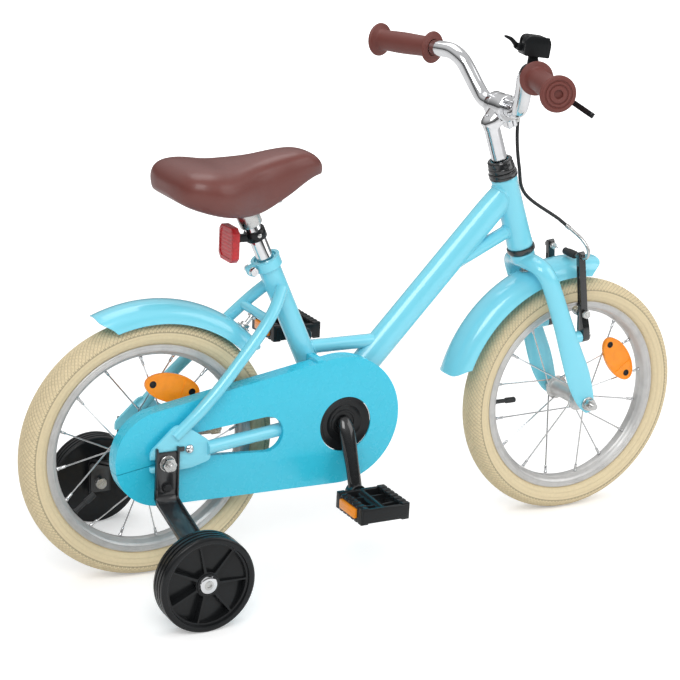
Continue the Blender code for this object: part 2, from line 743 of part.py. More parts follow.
def make_grip(side, turning):
    """Mushroom grip: a flange at each end and a ringed cap."""
    label = "left" if side > 0 else "right"
    frame = axis_matrix(on_bar(side, GRIP_INNER_Y), grip_axis(side))
    length = GRIP_LENGTH
    bore = clear_of(BAR_RADIUS, 10)
    reach = (bar_path(side)[-1] - on_bar(side, GRIP_INNER_Y)).length + CLEAR
    flange = GRIP_FLANGE_RADIUS
    profile = [(bore, 0.0), (flange - 0.001, 0.0), (flange, 0.0040), (GRIP_RADIUS + 0.001, 0.0105)]
    profile += [(GRIP_RADIUS, 0.022), (GRIP_RADIUS + 0.0015, length * 0.55), (GRIP_RADIUS, length - 0.021)]
    profile += [(flange, length - 0.0105), (flange + 0.001, length - 0.0050)]
    profile += [(flange - 0.006, length - 0.001)]
    profile += [(0.0, length), (0.0, reach), (bore, reach)]
    grip = lathe("grip_" + label, profile, frame, BROWN, 10)
    attach(grip, turning)
    return grip


def make_front_axle(turning):
    """Axle with its cones inside the fork tips and nuts with washers outside."""
    blade = BLADE_Y + 0.002
    inner = blade - 0.0026 - CLEAR
    outer = blade + 0.0026 + CLEAR
    r = AXLE_RADIUS
    half = [(0.0, outer + 0.018), (r, outer + 0.018), (0.0082, outer + 0.0090), (0.0100, outer)]
    half += [(r, outer), (r, inner), (0.0072, inner), (r, FRONT_FLANGE_Y + 0.0055)]
    profile = half + [(radius, -height) for radius, height in reversed(half)]
    axle = lathe("front_axle", profile, wheel_matrix(FRONT_X, AXLE_Z), STEEL, 8, closed=False)
    attach(axle, turning)
    return axle


def make_rear_axle():
    inner = DROPOUT_Y - DROPOUT_THICKNESS / 2 - CLEAR
    plate_out = DROPOUT_Y + DROPOUT_THICKNESS / 2 + CLEAR
    outer = plate_out + BRACKET_STEEL + 2 * CLEAR
    r = AXLE_RADIUS
    half = [(0.0, outer + 0.018), (r, outer + 0.018), (0.0085, outer + 0.0095), (0.0108, outer), (r, outer)]
    half += [(r, inner), (0.0080, inner), (r, inner - 0.006)]
    profile = half + [(radius, -height) for radius, height in reversed(half)]
    return lathe("rear_axle", profile, wheel_matrix(REAR_X, AXLE_Z), STEEL, 8, closed=False)


def make_tyre(name, x, hub):
    """Open carcass: tread, bulged sidewalls and beads that sit in the rim."""
    facet = 1 / math.cos(math.pi / WHEEL_SEGMENTS)
    outer = TYRE_RADIUS * facet
    bead = RIM_HALF_WIDTH - RIM_WALL - CLEAR
    edge = RIM_EDGE_RADIUS
    wide = TYRE_HALF_WIDTH
    half = [(outer, TREAD_HALF_WIDTH), (outer - 0.0045, 0.0158), (outer - 0.0150, wide)]
    half += [(edge + 0.0008, bead), (edge - 0.0065, bead), (edge - 0.0065, bead - TYRE_WALL)]
    half += [(outer - 0.0105, wide - 2.4 * TYRE_WALL)]
    profile = half + [(radius, -height) for radius, height in reversed(half)]
    turned = wheel_matrix(x, AXLE_Z)
    tyre = lathe(name, profile, turned, CREAM, WHEEL_SEGMENTS, start=math.pi / WHEEL_SEGMENTS)
    attach(tyre, hub)
    return tyre


def make_rim(name, x, hub):
    """Box-shaped alloy rim: brake tracks, spoke bed and the channel for the tyre."""
    edge = RIM_EDGE_RADIUS
    wide = RIM_HALF_WIDTH
    inner = RIM_INNER_RADIUS
    wall = RIM_WALL
    half = [(inner, 0.0060), (edge - 0.0075, wide), (edge, wide), (edge, wide - wall)]
    half += [(edge - 0.0085, wide - wall)]
    profile = half + [(radius, -height) for radius, height in reversed(half)]
    turned = wheel_matrix(x, AXLE_Z)
    rim = lathe(name, profile, turned, ALLOY, WHEEL_SEGMENTS, start=math.pi / WHEEL_SEGMENTS)
    attach(rim, hub)
    return rim


def spoke_ends(flange_y, flange_radius, k, side, phase):
    """Where one spoke leaves its flange and where it meets the rim."""
    step = math.tau / (SPOKES / 2)
    turn = phase + step * k + (step / 2 if side > 0 else 0.0)
    pull = LACING_ANGLE if k % 2 == 0 else -LACING_ANGLE
    lay = 0.0015 if k % 2 == 0 else -0.0015
    hole = flange_radius - 0.0030
    start = Vector((hole * math.cos(turn), side * (flange_y + lay), hole * math.sin(turn)))
    facet = math.cos(math.pi / WHEEL_SEGMENTS)
    reach = (RIM_INNER_RADIUS - CLEAR) * facet - NIPPLE_RADIUS * 0.1
    end = Vector((reach * math.cos(turn + pull), side * 0.0030, reach * math.sin(turn + pull)))
    return start, end


def make_hub(name, x, flange_y, flange_radius, shell_radius, phase, hub_pivot):
    """Hub shell with both flanges and the laced spokes, each with its nipple."""
    wall = FLANGE_WALL / 2
    bore = AXLE_RADIUS + RUNNING
    end_y = flange_y + 0.0038
    half = [(bore, end_y), (shell_radius * 0.75, end_y), (flange_radius, flange_y + wall)]
    half += [(flange_radius, flange_y - wall), (shell_radius, flange_y - wall - 0.002)]
    profile = half + [(radius, -height) for radius, height in reversed(half)]
    hub = lathe(name, profile, wheel_matrix(x, AXLE_Z), ALLOY, 10)
    centre = Vector((x, 0.0, AXLE_Z))
    for parity in (0, 1):
        rods = []
        for side in (1, -1):
            for k in range(parity, SPOKES // 2, 2):
                start, end = spoke_ends(flange_y, flange_radius, k, side, phase)
                along = (end - start).normalized()
                neck = end - along * NIPPLE_LENGTH
                points = [centre + start, centre + neck, centre + end]
                wide = NIPPLE_RADIUS / SPOKE_RADIUS
                rods.append(tube(f"{name}_spoke_{side}_{k}", points, SPOKE_RADIUS,
                                 resolution=0, radii=[1.0, 1.0, wide]))
        combine(hub, [merged(f"{name}_spokes_{parity}", rods)])
    attach(hub, hub_pivot)
    return hub


def make_valve(name, x, turn, hub):
    out = Vector((math.cos(turn), 0.0, math.sin(turn)))
    facet = math.cos(math.pi / WHEEL_SEGMENTS)
    seat = RIM_INNER_RADIUS * facet - CLEAR
    frame = axis_matrix(Vector((x, 0.0, AXLE_Z)) + out * seat, -out, (0.0, 1.0, 0.0))
    r = VALVE_RADIUS
    profile = [(0.0, 0.0), (r, 0.0), (r, VALVE_LENGTH * 0.55), (r + 0.0012, VALVE_LENGTH * 0.58)]
    profile += [(r + 0.0008, VALVE_LENGTH), (0.0, VALVE_LENGTH)]
    valve = lathe(name, profile, frame, RUBBER, 8, closed=False)
    attach(valve, hub)
    return valve


def make_wheel_reflector(name, x, turn, flange_y, flange_radius, phase, hub):
    """Oval reflector clipped on the outside of the right side's spokes."""
    out = Vector((math.cos(turn), 0.0, math.sin(turn)))
    along = Vector((-math.sin(turn), 0.0, math.cos(turn)))
    centre = out * WHEEL_REFLECTOR_RADIUS
    steps = 14
    half_long = WHEEL_REFLECTOR_LENGTH / 2
    half_wide = WHEEL_REFLECTOR_WIDTH / 2
    loop = []
    for i in range(steps):
        a = math.tau * i / steps
        loop.append((half_long * math.cos(a), half_wide * math.sin(a)))
    behind = []
    for k in range(SPOKES // 2):
        start, end = spoke_ends(flange_y, flange_radius, k, -1, phase)
        for i in range(61):
            point = start.lerp(end, i / 60)
            u = (point - centre).dot(along) / (half_long + SPOKE_RADIUS)
            v = (point - centre).dot(out) / (half_wide + SPOKE_RADIUS)
            if u * u + v * v < 1:
                behind.append(point.y)
    thickness = 0.0055
    y = min(behind) - SPOKE_RADIUS - CLEAR - thickness / 2
    frame = Matrix((along, out, along.cross(out))).transposed().to_4x4()
    frame = Matrix.Translation(centre + Vector((x, y, AXLE_Z))) @ frame
    oval = plate(name, [loop], thickness, frame, AMBER)
    attach(oval, hub)
    return oval


def tooth_outline(teeth, phase):
    """Outline of a chain wheel whose tooth gaps hold the rollers."""
    pitch_radius = CHAIN_PITCH / (2 * math.sin(math.pi / teeth))
    gap = ROLLER_RADIUS + 0.0004
    points = []
    for i in range(teeth):
        turn = phase + math.tau * i / teeth
        out = Vector((math.cos(turn), math.sin(turn)))
        along = Vector((-math.sin(turn), math.cos(turn)))
        roller = out * pitch_radius
        for lean in (-75, 0, 75):
            a = math.radians(lean)
            points.append(tuple(roller - out * (gap * math.cos(a)) + along * (gap * math.sin(a))))
        a = turn + math.pi / teeth
        radius = pitch_radius + TOOTH_HEIGHT
        points.append((radius * math.cos(a), radius * math.sin(a)))
    return points


def make_chain():
    """Roller chain: two side plates joined by a roller at every pin, as one ladder."""
    flat, _ = walk_chain(CHAIN_STAY_LENGTH)
    tilt = Matrix.Rotation(CHAIN_TILT, 2)
    pins = [tilt @ point for point in flat]
    half = CHAIN_PLATE_HEIGHT / 2
    count = len(pins)
    build = bmesh.new()

    def spot(pin, offset, y):
        return build.verts.new((pin.x + offset.x, y, pin.y + offset.y))

    links = []
    for i, pin in enumerate(pins):
        run = (pins[(i + 1) % count] - pins[i - 1]).normalized()
        out = Vector((run.y, -run.x))
        link = {}
        for side in (1, -1):
            near = side * CHAIN_HALF_GAP
            far = side * (CHAIN_HALF_GAP + CHAIN_PLATE)
            corners = [spot(pin, out * half, near), spot(pin, out * half, far)]
            corners += [spot(pin, out * -half, far), spot(pin, out * -half, near)]
            around = [out, run, out * -1, run * -1]
            link[side] = (corners, [spot(pin, way * ROLLER_RADIUS, near) for way in around])
        links.append(link)
    for i in range(count):
        here, there = links[i], links[(i + 1) % count]
        for side in (1, -1):
            (a, roller), (b, following) = here[side], there[side]
            for j in range(3):
                build.faces.new((a[j], a[j + 1], b[j + 1], b[j]))
            inner = [a[0], roller[0], roller[1], roller[2], a[3]]
            inner += [b[3], following[2], following[3], following[0], b[0]]
            build.faces.new(inner)
        for j in range(4):
            k = (j + 1) % 4
            left, right = here[1][1], here[-1][1]
            build.faces.new((left[j], left[k], right[k], right[j]))
    bmesh.ops.recalc_face_normals(build, faces=build.faces)
    mesh = bpy.data.meshes.new("chain")
    build.to_mesh(mesh)
    build.free()
    return place("chain", mesh, STEEL, Matrix.Translation((BRACKET_X, CHAIN_LINE_Y, BRACKET_Z)))


def make_rear_sprocket(driver):
    """Toothed wheel on the driver that turns the coaster hub."""
    flat, _ = walk_chain(CHAIN_STAY_LENGTH)
    rearmost = min(flat, key=lambda point: point.x)
    phase = math.atan2(rearmost.y, rearmost.x + CHAIN_STAY_LENGTH) + CHAIN_TILT
    bore = [(0.0110 * math.cos(-math.tau * i / 8), 0.0110 * math.sin(-math.tau * i / 8)) for i in range(8)]
    loops = [tooth_outline(SPROCKET_TEETH, phase), bore]
    shift = Matrix.Translation((REAR_X, CHAIN_LINE_Y, AXLE_Z))
    wheel = plate("rear_sprocket", loops, SPROCKET_THICKNESS, shift @ SIDE_VIEW, STEEL)
    profile = [(0.0085, CHAIN_LINE_Y - 0.0040), (0.0150, CHAIN_LINE_Y - 0.0040)]
    profile += [(0.0150, CHAIN_LINE_Y + 0.0110), (0.0085, CHAIN_LINE_Y + 0.0110)]
    body = lathe("driver_body", profile, wheel_matrix(REAR_X, AXLE_Z), steps=8)
    combine(wheel, [body])
    attach(wheel, driver)
    return wheel


def make_chainring(crank):
    """Front chain wheel with five windows."""
    loops = [tooth_outline(CHAINRING_TEETH, CHAIN_TILT)]
    loops.append([(0.0135 * math.cos(-math.tau * i / 8), 0.0135 * math.sin(-math.tau * i / 8))
                  for i in range(8)])
    for k in range(5):
        middle = 90.0 + 72.0 * k
        window = arc(0.0, 0.0, 0.050, middle - 24, middle + 24, 3)
        window += arc(0.0, 0.0, 0.034, middle + 18, middle - 18, 2)
        loops.append(window)
    shift = Matrix.Translation((BRACKET_X, CHAIN_LINE_Y, BRACKET_Z))
    wheel = plate("chainring", loops, SPROCKET_THICKNESS, shift @ SIDE_VIEW, STEEL)
    attach(wheel, crank)
    return wheel


def make_crank(turning):
    """One-piece crank: spindle, two bent arms and the pedals' spindles."""
    y = Vector((0.0, 1.0, 0.0))
    centre = Vector((BRACKET_X, 0.0, BRACKET_Z))
    crank = disc("crank", SPINDLE_RADIUS, -0.050, 0.050, wheel_matrix(BRACKET_X, BRACKET_Z), BLACK_STEEL, 12)
    pieces = []
    for side in (-1, 1):
        lead = 1 if side < 0 else -1
        out = Vector((math.cos(CRANK_ANGLE), 0.0, math.sin(CRANK_ANGLE))) * lead
        across = out.cross(y)
        path = [(-0.004, 0.0460, 0.0100, 0.0070), (0.006, 0.0530, 0.0115, 0.0075)]
        path += [(0.020, 0.0585, 0.0115, 0.0070), (0.050, 0.0680, 0.0100, 0.0062)]
        path += [(CRANK_LENGTH, CRANK_BOSS_Y, 0.0100, 0.0065)]
        sections = []
        for i, (reach, lateral, half, thick) in enumerate(path):
            before = path[max(i - 1, 0)]
            after = path[min(i + 1, len(path) - 1)]
            run = out * (after[0] - before[0]) + y * (side * (after[1] - before[1]))
            normal = run.normalized().cross(across)
            sections.append((centre + out * reach + y * (side * lateral), across, half, normal, thick))
        pieces.append(loft(f"arm_{side}", sections))
        end = axis_matrix(centre + out * CRANK_LENGTH, (0.0, side, 0.0))
        pieces.append(disc(f"boss_{side}", 0.0125, CRANK_BOSS_Y - 0.0085, CRANK_BOSS_Y + 0.0075,
                           end, steps=10))
        pieces.append(disc(f"pedal_spindle_{side}", PEDAL_SPINDLE_RADIUS, CRANK_BOSS_Y,
                           PEDAL_CENTRE_Y + PEDAL_HALF_WIDTH - 0.006, end, steps=8))
    combine(crank, pieces)
    attach(crank, turning)
    return crank


def make_crank_disc(turning):
    """Dished cover that fills the hole of the chain case and turns with the crank."""
    hole = clear_of(SPINDLE_RADIUS, 12)
    rim = GUARD_HOLE_RADIUS - 0.0025
    face = GUARD_Y + 0.0010
    back = CHAIN_LINE_Y - SPROCKET_THICKNESS / 2 - CLEAR
    profile = [(hole, back - 0.0012), (0.020, back - 0.0012), (rim, face), (rim, face + 0.0020)]
    profile += [(0.022, back), (hole, back)]
    cover = lathe("crank_disc", profile, wheel_matrix(BRACKET_X, BRACKET_Z), BLACK, 18)
    attach(cover, turning)
    return cover


def make_bracket_cups():
    """Bearing cups pressed into both ends of the bottom bracket shell."""
    inner = SPINDLE_RADIUS + RUNNING
    fit = BRACKET_SHELL_RADIUS - 0.003 - CLEAR
    end = BRACKET_SHELL_HALF
    for side, label in ((1, "left"), (-1, "right")):
        profile = [(inner, end - 0.012), (fit, end - 0.012), (fit, end + CLEAR), (fit + 0.002, end + CLEAR)]
        profile += [(fit + 0.001, end + 0.0018), (inner, end + 0.0018)]
        frame = axis_matrix((BRACKET_X, 0.0, BRACKET_Z), (0.0, side, 0.0))
        lathe("bracket_cup_" + label, profile, frame, STEEL, 12)


def make_pedal(side, turning):
    """Cage pedal: barrel on the spindle, two treads, end plates and reflector blocks."""
    label = "left" if side > 0 else "right"
    lead = 1 if side < 0 else -1
    out = Vector((math.cos(CRANK_ANGLE), 0.0, math.sin(CRANK_ANGLE))) * (CRANK_LENGTH * lead)
    centre = Vector((BRACKET_X, side * PEDAL_CENTRE_Y, BRACKET_Z)) + out
    frame = Matrix.Translation(centre)
    wide = PEDAL_HALF_WIDTH
    long = PEDAL_HALF_LENGTH
    tall = PEDAL_HALF_HEIGHT
    across = frame @ Matrix.Rotation(-math.pi / 2, 4, "X")
    pedal = disc("pedal_" + label, 0.0095, -wide, wide, across, BLACK, 8)
    pieces = []
    for end in (1, -1):
        shift = Matrix.Translation((end * (long - 0.0055), 0, 0))
        pieces.append(block(f"tread_{label}_{end}", (0.011, 2 * wide - 0.002, 2 * tall), frame @ shift))
        strip = block(f"strip_{label}_{end}", (0.004, wide * 1.15, tall * 1.1),
                      frame @ Matrix.Translation((end * (long + 0.0012), 0, 0)))
        pieces.append(strip)
        shift = Matrix.Translation((0, end * (wide - 0.003), 0))
        rail = (2 * long - 0.004, 0.006, 2 * tall - 0.003)
        pieces.append(block(f"side_{label}_{end}", rail, frame @ shift))
    combine(pedal, pieces)
    reach = PEDAL_CENTRE_Y + wide - 0.006 - (PEDAL_CENTRE_Y - wide)
    turn = axis_matrix(centre, (0.0, side, 0.0))
    bore = disc(f"pedal_bore_{label}", PEDAL_SPINDLE_RADIUS + RUNNING, -wide - 0.01, reach - wide + RUNNING,
                turn, steps=8)
    cut(pedal, [bore])
    attach(pedal, turning)
    return pedal


def guard_outline(grow, count=13):
    """Side view of the chain case: a belt round the chain wheel and the sprocket."""
    big = GUARD_FRONT_RADIUS + grow
    small = GUARD_REAR_RADIUS + grow
    front = Vector((BRACKET_X - 0.008, BRACKET_Z + 0.006))
    back = Vector((REAR_X, AXLE_Z + 0.001))
    run = front - back
    tilt = math.atan2(run.y, run.x)
    lean = math.asin((big - small) / run.length)
    wrap = math.degrees(math.pi / 2 + lean)
    turn = math.degrees(tilt)
    loop = arc(front.x, front.y, big, turn - wrap, turn + wrap, count)
    loop += arc(back.x, back.y, small, turn + wrap, turn + 360 - wrap, count - 5)
    return loop


def make_chain_guard():
    """Full chain case with a slot for the chain stay, a crank hole and a rear cap."""
    face = GUARD_Y
    back = GUARD_Y + GUARD_DEPTH
    guard = plate("chain_guard", [guard_outline(0.0)], GUARD_DEPTH, side_plane((face + back) / 2), GUARD_BLUE)
    room = plate("guard_room", [guard_outline(-GUARD_WALL)], GUARD_DEPTH,
                 side_plane((face + back) / 2 + GUARD_WALL))
    hole = disc("guard_hole", GUARD_HOLE_RADIUS, face - 0.01, face + 0.01,
                wheel_matrix(BRACKET_X, BRACKET_Z), steps=20)
    slot_loop = arc(REAR_X + 0.1470, AXLE_Z + 0.0155, 0.0245, -88, 96, 6)
    slot_loop += [(REAR_X + 0.044, AXLE_Z + 0.0300), (REAR_X + 0.044, AXLE_Z - 0.0020)]
    slot = plate("guard_slot", [slot_loop], 0.02, side_plane(face))
    half = AXLE_RADIUS + 0.0063
    notch_loop = [(REAR_X - half, AXLE_Z + 0.010), (REAR_X - half, AXLE_Z - half)]
    notch_loop += [(REAR_X + half, AXLE_Z - half), (REAR_X + half, AXLE_Z + 0.010)]
    notch = plate("guard_axle_hole", [notch_loop], 0.02, side_plane(face))
    cut(guard, [room, hole, slot, notch])
    strap_z = 0.276
    strap_rise = (strap_z - BRACKET_Z) / math.sin(SEAT_ANGLE)
    strap_x = seat_point(strap_rise).x
    reach = -(SEAT_TUBE_RADIUS + CLEAR)
    strap = block("guard_strap", (0.012, reach - face - GUARD_WALL / 2, 0.015),
                  Matrix.Translation((strap_x, (reach + face + GUARD_WALL / 2) / 2, strap_z)))
    inner = DROPOUT_Y - DROPOUT_THICKNESS / 2 - CLEAR
    boss = disc("guard_boss", 0.0055, -inner, face + GUARD_WALL / 2,
                wheel_matrix(REAR_X + 0.030, AXLE_Z + 0.004), steps=8)
    combine(guard, [strap, boss])
    split = Vector((REAR_X + 0.004, AXLE_Z - 0.004))
    cap = bpy.data.objects.new("chain_guard_cap", guard.data.copy())
    cap.matrix_world = guard.matrix_world
    collection(NAME).objects.link(cap)
    cut(cap, [room, hole, slot, notch])
    corner = [(split.x, split.y), (split.x - 0.12, split.y - 0.020), (split.x - 0.12, split.y - 0.12)]
    corner += [(split.x, split.y - 0.12)]
    inner = plate("cap_region", [corner], 0.08, side_plane(face))
    gap = CLEAR
    wider = [(split.x + gap, split.y + gap), (split.x - 0.12, split.y - 0.020 + gap)]
    wider += [(split.x - 0.12, split.y - 0.12), (split.x + gap, split.y - 0.12)]
    outer = plate("cap_gap", [wider], 0.08, side_plane(face))
    combine(cap, [inner], "INTERSECT")
    cut(guard, [outer])
    return guard


def fender(name, radius, x, z, start, end, steps, spec):
    """An arched strip turned about a centre, from the start angle to the end angle."""
    half = FENDER_HALF_WIDTH
    drop = FENDER_DROP
    arch = [(radius - drop, half), (radius - drop * 0.40, half * 0.90), (radius, half * 0.32)]
    arch += [(radius, -half * 0.32), (radius - drop * 0.40, -half * 0.90), (radius - drop, -half)]
    frame = wheel_matrix(x, z)
    mesh = bpy.data.meshes.new(name)
    turn = -math.radians(start)
    co = [(r * math.cos(turn), r * math.sin(turn), h) for r, h in arch]
    mesh.from_pydata(co, [(i, i + 1) for i in range(len(co) - 1)], [])
    made = place(name, mesh, spec, frame)
    sweep = made.modifiers.new("sweep", "SCREW")
    sweep.axis = "Z"
    sweep.angle = -math.radians(end - start)
    sweep.steps = steps
    sweep.render_steps = steps
    sweep.use_smooth_shade = True
    wall = made.modifiers.new("wall", "SOLIDIFY")
    wall.thickness = FENDER_WALL
    wall.offset = 0.0
    return made


def make_rear_fender():
    made = fender("rear_fender", REAR_FENDER_RADIUS, REAR_X, AXLE_Z, 40, 113, 10, PAINT)
    wheel = rear(0.0, AXLE_Z)
    out = (BRIDGE - wheel).normalized()
    low = wheel + out * (REAR_FENDER_RADIUS + FENDER_WALL / 2 + CLEAR)
    gap = (BRIDGE - wheel).length - 0.0062 - CLEAR - (low - wheel).length
    frame = axis_matrix(low, out, (0, 1, 0))
    profile = [(0.0, 0.0), (0.0095, 0.0), (0.0095, 0.0022), (0.0048, 0.0032), (0.0065, gap), (0.0, gap)]
    lathe("rear_fender_bolt", profile, frame, STEEL, 8, closed=False)
    return made


def make_front_fender(turning):
    x = FRONT_X - FRONT_FENDER_SETBACK
    made = fender("front_fender", FRONT_FENDER_RADIUS, x, AXLE_Z, 80, 165, 12, PAINT)
    attach(made, turning)
    centre = Vector((x, 0.0, AXLE_Z))
    crown = steer(0.0, 0.0, CROWN_S - CROWN_HALF)
    out = (crown - centre).normalized()
    low = centre + out * (FRONT_FENDER_RADIUS + FENDER_WALL / 2 + CLEAR)
    gap = (crown - centre).length - CLEAR - (low - centre).length
    frame = axis_matrix(low, out, (0, 1, 0))
    profile = [(0.0, 0.0), (0.0095, 0.0), (0.0095, gap * 0.5), (0.0070, gap), (0.0, gap)]
    bolt = lathe("front_fender_bolt", profile, frame, STEEL, 8, closed=False)
    attach(bolt, turning)
    return made


def bent_band(thickness, lift):
    """Side outline, as (y, z), of the stabiliser's bent steel strip."""
    inner = DROPOUT_Y + DROPOUT_THICKNESS / 2 + CLEAR * 1.5
    outer = STABILISER_Y - STABILISER_HALF_WIDTH - 0.006 - BRACKET_STEEL
    line = [Vector((inner, AXLE_Z + 0.021)), Vector((inner, AXLE_Z - 0.052))]
    line += [Vector((outer, 0.094)), Vector((outer, STABILISER_RADIUS - 0.014))]
    near, far = [], []
    for i, point in enumerate(line):
        before = (line[i] - line[i - 1]).normalized() if i else (line[1] - line[0]).normalized()
        after = (line[i + 1] - line[i]).normalized() if i + 1 < len(line) else before
        across = (before + after).normalized()
        normal = Vector((-across.y, across.x))
        stretch = 1 / max(normal.dot(Vector((-before.y, before.x))), 0.5)
        near.append(tuple(point + normal * lift * stretch))
        far.append(tuple(point + normal * (lift + thickness) * stretch))
    return near + list(reversed(far))


def make_stabiliser_bracket(side):
    """Channel bracket from the axle down to the stabiliser's wheel bolt."""
    label = "left" if side > 0 else "right"
    front_view = Matrix(((0, 0, 1, REAR_X), (side, 0, 0, 0), (0, side * side, 0, 0), (0, 0, 0, 1)))
    if side < 0:
        front_view = Matrix(((0, 0, -1, REAR_X), (-1, 0, 0, 0), (0, 1, 0, 0), (0, 0, 0, 1)))
    web = plate("stabiliser_bracket_" + label, [bent_band(BRACKET_STEEL, 0.0)], BRACKET_WIDTH,
                front_view, BLACK_STEEL)
    pieces = []
    for edge in (1, -1):
        shift = Matrix.Translation((edge * (BRACKET_WIDTH / 2 - 0.0014), 0, 0))
        pieces.append(plate(f"flange_{label}_{edge}", [bent_band(BRACKET_FLANGE, 0.0)], 0.0028,
                            shift @ front_view))
    axis_at = (REAR_X, 0.0, STABILISER_RADIUS)
    bolt_frame = axis_matrix(axis_at, (0.0, side, 0.0))
    seat = STABILISER_Y - STABILISER_HALF_WIDTH
    tip = STABILISER_Y + STABILISER_HALF_WIDTH
    profile = [(0.0, seat - 0.016), (0.0080, seat - 0.016), (0.0080, seat - 0.0012), (0.0048, seat - 0.0012)]
    profile += [(0.0048, tip - 0.0035), (0.0088, tip - 0.0035), (0.0080, tip + 0.0004), (0.0, tip + 0.0004)]
    pieces.append(lathe(f"stabiliser_bolt_{label}", profile, bolt_frame, steps=8, closed=False))
    combine(web, pieces)
    axle_hole = disc(f"axle_hole_{label}", AXLE_RADIUS + CLEAR, 0.055, 0.075,
                     axis_matrix((REAR_X, 0.0, AXLE_Z), (0.0, side, 0.0)), steps=8)
    return cut(web, [axle_hole])


def make_stabiliser_wheel(side, turning):
    """Solid wheel with ridged tread and a swirl of eight pockets in its outer face."""
    label = "left" if side > 0 else "right"
    facet = 1 / math.cos(math.pi / STABILISER_SEGMENTS)
    r = STABILISER_RADIUS * facet
    half = STABILISER_HALF_WIDTH
    groove = r - 0.0018
    bore = 0.0048 + RUNNING
    profile = [(bore, -half + 0.003), (r - 0.003, -half), (r, -half + 0.003), (r, -0.0045), (groove, -0.0030)]
    profile += [(r, -0.0015), (r, half - 0.0100), (groove, half - 0.0085), (r, half - 0.0070)]
    profile += [(r, half - 0.0030), (r - 0.003, half), (r - 0.0090, half)]
    profile += [(r - 0.0110, half - 0.0040), (0.0140, half - 0.0040), (bore, half - 0.0052)]
    frame = axis_matrix((REAR_X, side * STABILISER_Y, STABILISER_RADIUS), (0.0, side, 0.0))
    wheel = lathe("stabiliser_wheel_" + label, profile, frame, BLACK, STABILISER_SEGMENTS,
                  start=math.pi / STABILISER_SEGMENTS)
    pockets = []
    for k in range(8):
        turn = 45.0 * k
        outline = arc(0.0, 0.0, 0.0405, turn - 6 * side, turn + 26 * side, 2)
        outline += arc(0.0, 0.0, 0.0190, turn + 6 * side, turn - 16 * side, 2)
        shift = Matrix.Translation((0, 0, half - 0.0040))
        pockets.append(plate(f"pocket_{label}_{k}", [outline], 0.008, frame @ shift))
    cut(wheel, [merged(f"pockets_{label}", pockets)])
    attach(wheel, turning)
    return wheel


def make_coaster_arm():
    """Reaction arm of the coaster hub and its clip round the left chain stay."""
    y = 0.0490
    loop = arc(REAR_X, AXLE_Z, 0.0135, 100, 300, 7)
    loop += [(REAR_X + 0.128, AXLE_Z - 0.0125), (REAR_X + 0.128, AXLE_Z - 0.0015)]
    hole = list(reversed(arc(REAR_X, AXLE_Z, AXLE_RADIUS + 2 * CLEAR, 0, 315, 8)))
    arm = plate("coaster_arm", [loop, hole], 0.0026, side_plane(y), STEEL)
    foot = rear(0.056, 0.186, DROPOUT_Y)
    mouth = Vector((BRACKET_X - 0.010, STAY_MOUTH_Y, BRACKET_Z))
    part = (REAR_X + 0.122 - foot.x) / (mouth.x - foot.x)
    at = foot.lerp(mouth, part)
    frame = axis_matrix(at, mouth - foot, (0, 0, 1))
    inner = clear_of(CHAIN_STAY_RADIUS, 10)
    clip = ring("coaster_clip", inner + 0.0018, inner, -0.007, 0.007, frame, STEEL, 10)
    low = Vector((at.x, y + 0.0043, AXLE_Z - 0.0055))
    tab = block("clip_tab", (0.014, 0.0022, 0.024), Matrix.Translation(low + Vector((0, 0, 0.0015))))
    screw = disc("clip_screw", 0.0042, -0.0036, 0.0026, axis_matrix(low, (0, 1, 0)), steps=8)
    combine(clip, [tab, screw])
    hollow = disc("clip_hollow", inner, -0.02, 0.02, frame, steps=10)
    arm_room = block("clip_arm_room", (0.03, 0.0026 + 2 * CLEAR, 0.03),
                     Matrix.Translation((low.x, y, low.z)))
    return cut(clip, [hollow, arm_room])


def make_brake_arm(side, turning):
    """Forged brake arm: pivot boss, pad seat and the cable's cradle at the top."""
    label = "left" if side > 0 else "right"
    y0 = BRAKE_PIVOT_Y
    top = BRAKE_ARM_LENGTH
    loop = arc(y0, 0.0, 0.0085, 200, 340, 5)
    loop += [(y0 + 0.0085, 0.012), (y0 + 0.0040, 0.030), (y0 + 0.0030, 0.050), (y0 - 0.0005, top - 0.012)]
    loop += [(y0 - 0.0015, top + 0.004), (y0 - 0.0085, top + 0.004), (y0 - 0.0080, top - 0.012)]
    loop += [(y0 - 0.0060, 0.050), (y0 - 0.0065, 0.030), (y0 - 0.0085, 0.012)]
    bore = list(reversed(arc(y0, 0.0, 0.0050 + 2 * RUNNING, 0, 315, 8)))
    flip = 1 if side > 0 else -1
    base = Matrix((Vector((0, flip, 0)), ARM_UP, Vector((0, flip, 0)).cross(ARM_UP))).transposed().to_4x4()
    frame = Matrix.Translation(BRAKE_BASE) @ base
    arm = plate("brake_arm_" + label, [loop, bore], 0.0105, frame, BLACK_STEEL)
    stud = axis_matrix(brake(0.0, side * (y0 - 0.002), BRAKE_PAD_RISE), (0, side, 0), ARM_UP)
    hole = disc(f"pad_hole_{label}", 0.0030 + CLEAR, -0.03, 0.03, stud, steps=6)
    tools = [hole]
    if side < 0:
        run = axis_matrix(brake(0.0, side * (y0 - CRADLE_OFFSET), top - 0.004), (0, side, 0), ARM_UP)
        tools.append(disc("noodle_hole", 0.0026 + CLEAR, -0.03, 0.03, run, steps=6))
    else:
        run = axis_matrix(brake(0.0, side * (y0 - CRADLE_OFFSET), top - 0.004), (0, side, 0), ARM_UP)
        profile = [(0.0, -0.0190), (0.0009, -0.0190), (0.0009, -0.0100), (0.0046, -0.0100), (0.0046, 0.0085)]
        profile += [(0.0, 0.0085)]
        combine(arm, [lathe("cable_anchor", profile, run, steps=6, closed=False)])
    cut(arm, tools)
    attach(arm, turning)
    return arm


